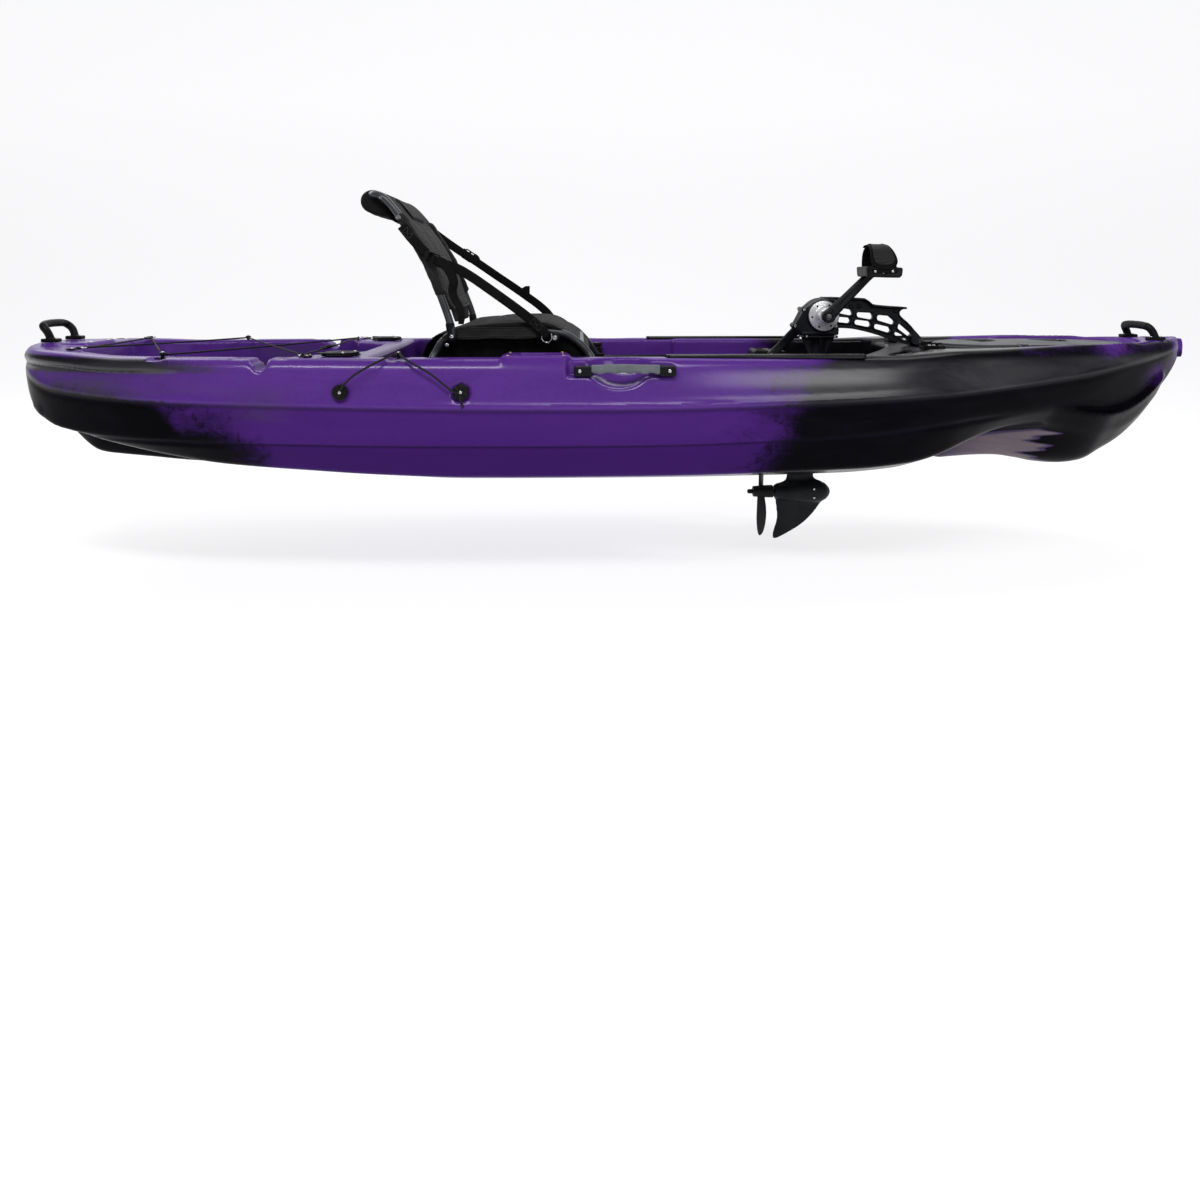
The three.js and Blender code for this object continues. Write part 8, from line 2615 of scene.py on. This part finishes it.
for side, s in (("port", 1), ("starboard", -1)):
    P = []
    for x in np.linspace(-478, -92, 78):
        zt = float(np.interp(x, [-478, -454, -414, -162, -122, -92], [345, 374, 391, 391, 374, 342]))
        zb = float(np.interp(x, [-478, -470, -110, -92], [318, 303, 303, 322]))
        row = []
        for f in np.linspace(0, 1, 12):
            fold = (3.8 * math.sin(x / 11.5 + 0.8 * math.sin(x / 37.0)) + 1.6 * math.sin(x / 5.1 + 1.0)) * f ** 0.8
            row.append((x + 1.5 * f * math.sin(x / 17.0), s * (213.5 - 3.0 * f + fold), zt + (zb - zt) * f))
        P.append(row)
    P = np.array(P)
    sk = curtain("skirt_" + side, P)
    paint(sk, skirt_mat)
    extra(sk, None, "seat")
    w = length_of(P[:, 6])
P = []
for y in np.linspace(-206, 206, 60):
    row = []
    c = 1 - (y / 206) ** 2
    for f in np.linspace(0, 1, 18):
        x = float(np.interp(f, [0, 0.15, 0.35, 0.55, 0.75, 1], [-419, -446, -480, -502, -514, -519]))
        z = float(np.interp(f, [0, 0.15, 0.35, 0.55, 0.75, 1], [396.5, 398, 388, 366, 338, 306]))
        fold = 1.6 * math.sin(y / 16.0 + 2 * f) * f * (0.4 + 0.6 * c)
        row.append((x - 3.0 * c * math.sin(math.pi * f) + fold, y, z + 1.0 * c * math.sin(math.pi * min(f * 1.3, 1))))
    P.append(row)
P = np.array(P)
fl = curtain("rear_flap", P)
paint(fl, skirt_mat)
extra(fl, None, "seat")

# back frame: one bent tube with a cross-bar roll, sleeves and bosses
def back_path(s):
    return [(-430, s * (SY + 21), 388), (-440, s * (SY + 21), 430), (-458, s * (SY + 18), 480), (-478, s * (SY + 12), 530), (-503, s * (SY + 6), 585), (-540, s * SY, 645), (-575, s * (SY - 8), 700), (-615, s * (SY - 24), 742), (-650, s * (SY - 60), 752)]


pts = back_path(-1) + [(-661, -80, 752), (-662, 0, 752), (-661, 80, 752)] + back_path(1)[::-1]
bt = paint(tube("back_tube", M3(pts), 0.0095, 20, 8), seat_tube_mat)
parts = [bt]
for s in (1, -1):
    parts.append(paint(field_mesh("tube_end", lambda X, Y, Z: smax(smin(sd_rod(X, Y, Z, (-433, s * 234.2, 388), (-433, s * 248.8, 388), 12, 1.6), sd_seg(X, Y, Z, (-433, s * 241.5, 388), (-438, s * 242.5, 418), 11.2), 5), -sd_rod(X, Y, Z, (-433, s * 200, 388), (-433, s * 270, 388), 5.3, 0.1), 0.3), (-452, s * 242 - 14, 372), (-417, s * 242 + 14, 434), 1.4), black_mat))
    b = lathe("back_bolt", [(0, 0.0026), (0.0026, 0.0026), (0.0030, 0.0040), (0.0056, 0.0040), (0.0066, 0.0030), (0.0068, 0), (0, -0.001)], 22, (-0.570, s * 0.2285, 0.688), (0, s, 0))
    parts.append(paint(b, steel_mat))
    b2 = lathe("cap_rivet", [(0, 0.0022), (0.0034, 0.0018), (0.0046, 0.0004), (0.0046, -0.001), (0, -0.001)], 18, (-0.618, s * 0.2085, 0.7395), (0, s, 0))
    parts.append(paint(b2, steel_mat))
o = joined("back_frame_tube", parts)
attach(o, "seat_back")
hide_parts("seat_back_frame")

# padded back panel
BACK_CL = [(440, -444), (466, -452), (512, -470), (572, -494), (638, -532), (692, -572), (722, -597), (742, -620), (756, -640)]


def back_field(X, Y, Z):
    A = np.abs(Y)
    z1 = Z[0, 0, :]
    cx = pchip(BACK_CL, z1)[None, None, :]
    slope = np.gradient(pchip(BACK_CL, z1), z1)[None, None, :]
    nx = 1 / np.sqrt(1 + slope ** 2)
    tube_x = np.interp(z1, [388, 430, 480, 530, 585, 645, 700, 742], [-430, -440, -458, -478, -503, -540, -575, -615])[None, None, :]
    tube_y = np.interp(z1, [388, 430, 480, 530, 585, 645, 700, 742, 752], [243, 243, 240, 234, 228, 222, 214, 198, 162])[None, None, :]
    side_f = sstep(A, 120, 215)
    mid = cx + (tube_x - cx) * side_f * 0.55 + 7.0 * np.exp(-((A) / 150.0) ** 2) * sstep(z1, 470, 540) * (1 - sstep(z1, 640, 720))
    half = 9.0 - 6.3 * sstep(A, 168, 196)
    half = half + 3.5 * sstep(z1, 690, 725)[None, None, :] * (1 - sstep(A, 110, 150))
    d = (np.abs(X - mid)) * nx - half
    wide = np.interp(z1, [448, 470, 494, 520, 676, 700, 730, 752], [178, 190, 198, 214, 209, 196, 172, 140])[None, None, :]
    d = smax(d, A - np.minimum(wide, tube_y - 12.5), 5)
    d = smax(d, 449 - Z + 8 * (A / 190.0) ** 4, 6)
    d = smax(d, Z - 757 + 14 * (A / 150.0) ** 4, 7)
    front = X > mid
    # sewn channels on the front and back
    for sy in (66.0, 150.0):
        d = d + 2.4 * np.exp(-((A - sy) / 4.0) ** 2) * (Z > 458) * (Z < 742)
    for sz in (486.0, 690.0):
        d = d + 2.4 * np.exp(-((Z - sz) / 4.0) ** 2) * (A < 186)
    w = 0.9 * np.sin(Z / 15.0 + 0.03 * A + 1.3 * np.sin(A / 31.0)) * np.exp(-((A - 172) / 30.0) ** 2)
    return d - w


back = field_mesh("seat_back_panel", back_field, (-668, -222, 438), (-418, 222, 770), 5.0)


def back_pin(x, y, z):
    a = np.abs(y)
    seam = (np.abs(a - 66) < 3.4) | (np.abs(a - 150) < 3.4) | (np.abs(z - 486) < 3.4) | (np.abs(z - 690) < 3.4)
    rim = (a > 176) | (z < 458) | (z > 748)
    return np.where(seam | rim, 1.0, 0.0)


swell(back, 0.0085, back_pin, 3.8)
tree = surface_of(back)
finer(back)
paint(back, fabric_mat)
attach(back, "seat_back")
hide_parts("seat_back_fabric")

trim = []
for a in (66, 150):
    for s in (1, -1):
        for off in (-4.4, 4.4):
            run, nr = drop(tree, M3([(-300, s * a + off, z) for z in np.linspace(462, 738, 90)]), (-1, 0, 0), 0.0003)
            trim.append(stitches("back_stitches", run, nr))
for z in (486, 690):
    for off in (-4.4, 4.4):
        run, nr = drop(tree, M3([(-300, y, z + off) for y in np.linspace(-180, 180, 90)]), (-1, 0, 0), 0.0003)
        trim.append(stitches("back_stitches", run, nr))
# bound hem along the bottom and up both edges
for s in (1, -1):
    run, nr = drop(tree, M3([(-300, s * yy, z) for z, yy in zip(np.linspace(462, 500, 12), np.linspace(182, 194, 12))]), (-1, 0, 0), 0.0006)
    if len(run) > 2:
        trim.append(paint(sweep("edge_binding", run, ring_section(0.0022, 10)), binding_mat))
run, nr = drop(tree, M3([(-300, y, 456 + 7 * (y / 190) ** 4) for y in np.linspace(-172, 172, 60)]), (-1, 0, 0), 0.0006)
trim.append(paint(sweep("hem_binding", run, ring_section(0.0026, 10)), binding_mat))
for k in (5, 9):
    trim.append(stitches("hem_stitches", run + np.array([0, 0, k / 1000.0]), nr))
# rounded flap of the pocket near the head
U = [(yy, zz) for yy, zz in round_outline([(-118, 742), (-118, 700), (118, 700), (118, 742)], 22, 8)]
grid = []
for v in np.linspace(0, 1, 12):
    row = []
    for u in np.linspace(-1, 1, 34):
        zz = 742 - 46 * v
        yy = 118 * u * (1 - 0.30 * max(0, v - 0.55) ** 2 / 0.2)
        row.append((yy, zz))
    grid.append(row)
flat = [p for r_ in grid for p in r_]
hits = []
for yy, zz in flat:
    h = tree.ray_cast(Vector((-0.3, yy / 1000, zz / 1000)), Vector((-1, 0, 0)))
    hits.append(h[0] + (h[1] if h[1].x > 0 else -h[1]) * (0.0022 + 0.0022 * math.sin(math.pi * (742 - zz) / 60)) if h[0] is not None else Vector((-0.61, yy / 1000, zz / 1000)))
faces = [(i * 34 + j, i * 34 + j + 1, (i + 1) * 34 + j + 1, (i + 1) * 34 + j) for i in range(11) for j in range(33)]
fp = new_object("pocket_flap", mesh_from("pocket_flap", [tuple(h) for h in hits], faces, True))
m = fp.modifiers.new("t", "SOLIDIFY")
m.thickness, m.offset = 0.0022, 0.0
apply_modifiers(fp)
trim.append(paint(outward(fp), fabric_mat))
border = [hits[i] for i in [r * 34 for r in range(12)]] + [hits[11 * 34 + j] for j in range(1, 34)] + [hits[r * 34 + 33] for r in range(10, -1, -1)]
bp = np.array([tuple(h) for h in border])
trim.append(paint(sweep("flap_binding", resample(bp, 0.004), ring_section(0.0017, 8)), binding_mat))
inner = bp * 1.0
inner[:, 1] *= 0.93
inner[12:45, 2] += 0.005
inner[:, 0] += 0.0016
trim.append(stitches("flap_stitches", resample(inner, 0.003), np.tile([0.8, 0, 0.6], (len(resample(inner, 0.003)), 1)), r=0.0006))
o = joined("seat_back_trim", [t for t in trim if t])
extra(o, None, "seat_back")


# sleeves over the side tubes, the roll round the cross bar, the flap under the hem
def sleeve_field(X, Y, Z):
    d = None
    for s in (1, -1):
        bp_ = back_path(s)[3:7]
        pathp = catmull([(-466, s * 238, 500)] + bp_[0:3] + [(-566, s * (SY - 6), 688)], 4)
        for a, b in zip(pathp, pathp[1:]):
            za = (a[2] + b[2]) / 2
            q = sd_seg(X, Y, Z, tuple(a + np.array([2.5, 0, 0])), tuple(b + np.array([2.5, 0, 0])), 13.0 + 1.6 * math.sin((za - 500) / 190 * math.pi))
            web = sd_seg(X, Y, Z, tuple(a + np.array([9.0, -s * 12, 0])), tuple(b + np.array([9.0, -s * 12, 0])), 6.5)
            q = smin(q, web, 12)
            d = q if d is None else np.minimum(d, q)
    wr = 0.9 * np.sin(Z / 6.2 + 2.2 * np.sin(np.abs(Y) / 9.0)) + 0.5 * np.sin(Z / 2.9 + X / 7.0)
    return d - wr * 0.55


for side, s in (("port", 1), ("starboard", -1)):
    sl = field_mesh("tube_sleeve_" + side, sleeve_field, (-600, s * 222 - 36, 482), (-440, s * 222 + 36, 706), 2.8)
    paint(sl, mesh_mat)
    extra(sl, None, "seat_back")


def roll_field(X, Y, Z):
    A = np.abs(Y)
    prof = [(-626, 756), (-642, 765), (-660, 766), (-676, 758), (-685, 743), (-684, 726), (-672, 710), (-654, 700), (-634, 696), (-612, 690), (-596, 680), (-588, 676), (-585, 681), (-598, 698), (-612, 716), (-620, 734)]
    d = side2(X, Z, chaikin(prof, 2)) + 0 * A
    bend = 16 * (A / 170.0) ** 3
    d = smax(d + 2.2 * (A / 160.0) ** 6, A - np.interp(Z[0, 0, :], [670, 700, 766], [188, 176, 158])[None, None, :], 14)
    w = 1.3 * np.sin(Y / 10.5 + 1.2 * np.sin(Z / 13.0)) * np.exp(-((Z - 708) / 20.0) ** 2) + 0.7 * np.sin(Y / 6.0 + Z / 17.0)
    d = d - 0.7 * w
    return smax(d, -sd_seg(X, Y, Z, (-662, -400, 752), (-662, 400, 752), 9.6), 0.6) if False else d


roll = field_mesh("head_roll", roll_field, (-694, -196, 668), (-576, 196, 776), 3.6)
paint(roll, roll_mat)
extra(roll, None, "seat_back")

P = []
for y in np.linspace(-168, 168, 44):
    row = []
    for f in np.linspace(0, 1, 8):
        row.append((-447 + 7 * f + 1.8 * math.sin(y / 14.0) * f + 3 * f * f, y * (1 - 0.05 * f), 459 - 42 * f + 5 * f * (y / 168) ** 2))
    P.append(row)
P = np.array(P)
lf = curtain("lower_flap", P)
paint(lf, skirt_mat)
extra(lf, None, "seat_back")

# tension straps with their buckles; the aft end goes with the back, the front end with the base
NEAR = [(-558, 666), (-532, 634), (-506, 606), (-484, 583), (-455, 571), (-420, 559), (-390, 542), (-353, 517), (-298, 478), (-255, 446), (-222, 419), (-202, 400)]
FAR = [(-556, 672), (-520, 645), (-484, 620), (-456, 602), (-410, 571), (-362, 538), (-320, 510), (-277, 480), (-240, 453), (-216, 432), (-202, 416)]


def buckle(x, z, ang, s, y):
    """Ladder buckle: a frame with two bars, in the strap's own direction."""
    def f(X, Y, Z):
        u = (X - x) * math.cos(ang) + (Z - z) * math.sin(ang)
        v = -(X - x) * math.sin(ang) + (Z - z) * math.cos(ang)
        w = Y - y * s
        d = smax(smax(np.abs(u) - 17, np.abs(v) - 16, 5), np.abs(w) - 3.4, 2)
        for c in (-8.0, 8.0):
            d = smax(d, -smax(smax(np.abs(u - c) - 4.8, np.abs(v) - 12.2, 1.5), np.abs(w) - 9, 1), 0.8)
        d = smin(d, smax(smax(np.abs(u + 19) - 5, np.abs(v) - 12, 3), np.abs(w - s * 2.5) - 1.6, 1), 2)
        return d
    return field_mesh("buckle", f, (x - 30, y * s - 7, z - 30), (x + 30, y * s + 7, z + 30), 1.1)


for side, s, route in (("starboard", -1, NEAR), ("port", 1, FAR)):
    Y0 = 248.0
    rt = catmull([(x, s * (Y0 + (2.0 * math.sin(i * 1.7))), z) for i, (x, z) in enumerate(route)], 7)
    pth = resample(rt / 1000, 0.006)
    web = band_mesh("strap_web", pth, 0.0245, 0.0022, (0, 1, 0))
    # band_mesh measures width along its across vector, so the in-plane normal is given instead
    bpy.data.objects.remove(web)
    t = np.gradient(pth, axis=0)
    t /= np.linalg.norm(t, axis=1)[:, None]
    acr = np.cross(t, np.array([0, 1.0, 0]))
    tw = 0.16 * np.sin(np.linspace(0, 7, len(pth)))[:, None]
    acr = acr * np.cos(tw) + np.array([[0, 1.0, 0]]) * np.sin(tw)
    web = band_mesh("strap_web", pth, 0.0245, 0.0022, acr)
    parts = [paint(web, web_mat)]
    # second layer from the buckle forward, and its loose end
    bi = 3 if s < 0 else 3
    bx, bz = route[bi]
    j0 = int(np.argmin(np.abs(pth[:, 0] * 1000 - bx)))
    j1 = int(np.argmin(np.abs(pth[:, 0] * 1000 + (300 if s < 0 else 284))))
    lay = pth[j0:j1] + np.array([0, s * 0.0026, 0])
    if s > 0:
        tail = [lay[-1] + np.array([0.006, s * 0.002, 0.004]), lay[-1] + np.array([0.014, s * 0.005, 0.009]), lay[-1] + np.array([0.024, s * 0.006, 0.009])]
        lay = np.vstack([lay, tail])
    t2 = np.gradient(lay, axis=0)
    t2 /= np.linalg.norm(t2, axis=1)[:, None]
    parts.append(paint(band_mesh("strap_fold", lay, 0.0240, 0.0020, np.cross(t2, np.array([0, 1.0, 0])), 0.05), web_mat))
    nxt = route[bi + 1]
    ang = math.atan2(nxt[1] - bz, nxt[0] - bx)
    bk = buckle(bx + 4, bz, ang, s, Y0 + 1.5)
    parts.append(paint(bk, black_mat))
    # sewn boxes at both ends
    for i0, i1 in ((2, 6), (len(pth) - 8, len(pth) - 3)):
        seg = pth[i0:i1 + 1]
        tt = seg[-1] - seg[0]
        tt /= np.linalg.norm(tt)
        ac = np.cross(tt, np.array([0, 1.0, 0]))
        q = [seg[0] + ac * 0.009, seg[-1] + ac * 0.009, seg[-1] - ac * 0.009, seg[0] - ac * 0.009, seg[0] + ac * 0.009, seg[-1] - ac * 0.009, seg[-1] + ac * 0.009, seg[0] - ac * 0.009]
        run = resample(np.array(q) + np.array([0, s * 0.0016, 0]), 0.002)
        parts.append(stitches("box_stitches", run, np.tile([0, s, 0], (len(run), 1)), 0.0026, 0.0012, 0.0004))
    # loop through the ring
    loop = [(-202, s * 248, 400), (-198, s * 248, 395.5), (-193, s * 249.5, 391.5), (-191.5, s * 252, 389), (-194, s * 254, 391.5), (-199, s * 252.5, 397), (-207, s * 251, 404.5)]
    lp = resample(catmull(loop, 5) / 1000, 0.003)
    t3 = np.gradient(lp, axis=0)
    t3 /= np.linalg.norm(t3, axis=1)[:, None]
    dirn = np.array([0.65, 0, 0.76])
    parts.append(paint(band_mesh("ring_loop", lp, 0.0225, 0.0020, np.tile(dirn, (len(lp), 1)), 0.08), web_mat))
    o = joined("tension_strap_%s_web" % side, [q for q in parts if q])
    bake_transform(o, "seat_back", "seat", start=(-0.470, 0, 0.575), end=(-0.235, 0, 0.425))
    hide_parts("seat_strap_" + side)
    # loose webbing that hangs from the buckle
    if s < 0:
        tl = [(-470, 256, 578), (-456, 258, 574), (-444, 259, 562), (-433, 259, 545), (-427, 258, 525), (-430, 257, 503), (-424, 257, 483), (-412, 256, 463), (-407, 256, 440), (-409, 256, 420)]
    else:
        tl = [(-438, 256, 598), (-431, 258, 594), (-426, 259, 586), (-423, 258.5, 576)]
    tp = resample(catmull([(x, s * yy, z) for x, yy, z in tl], 6) / 1000, 0.005)
    t4 = np.gradient(tp, axis=0)
    t4 /= np.linalg.norm(t4, axis=1)[:, None]
    w4 = np.linspace(0, 1.1, len(tp))[:, None]
    ac4 = np.cross(t4, np.array([0, 1.0, 0]))
    tail = band_mesh("strap_tail_" + side, tp, 0.0235, 0.0020, ac4 * np.cos(w4) + np.array([[0, 1.0, 0]]) * np.sin(w4))
    paint(tail, web_mat)
    extra(tail, None, "seat_back")

group("deck_screws", SCREWS, steel_mat, "kayak")


def backdrop():
    z = GROUND_Z
    prof = [(-9.0, z)] + [(6.0 - 2.4 + 2.4 * math.sin(a), z + 2.4 - 2.4 * math.cos(a)) for a in [math.pi / 2 * i / 24 for i in range(25)]] + [(6.0, z + 9)]
    verts = [(x, y, zz) for y, zz in prof for x in (-14.0, 14.0)]
    faces = [(2 * i, 2 * i + 1, 2 * i + 3, 2 * i + 2) for i in range(len(prof) - 1)]
    o = new_object("studio_floor", mesh_from("studio_floor", verts, faces, True))
    paint(o, stage_mat)


backdrop()
for nd in NODES.values():
    if not nd.hide_render and not nd.data.materials:
        paint(nd, black_mat)
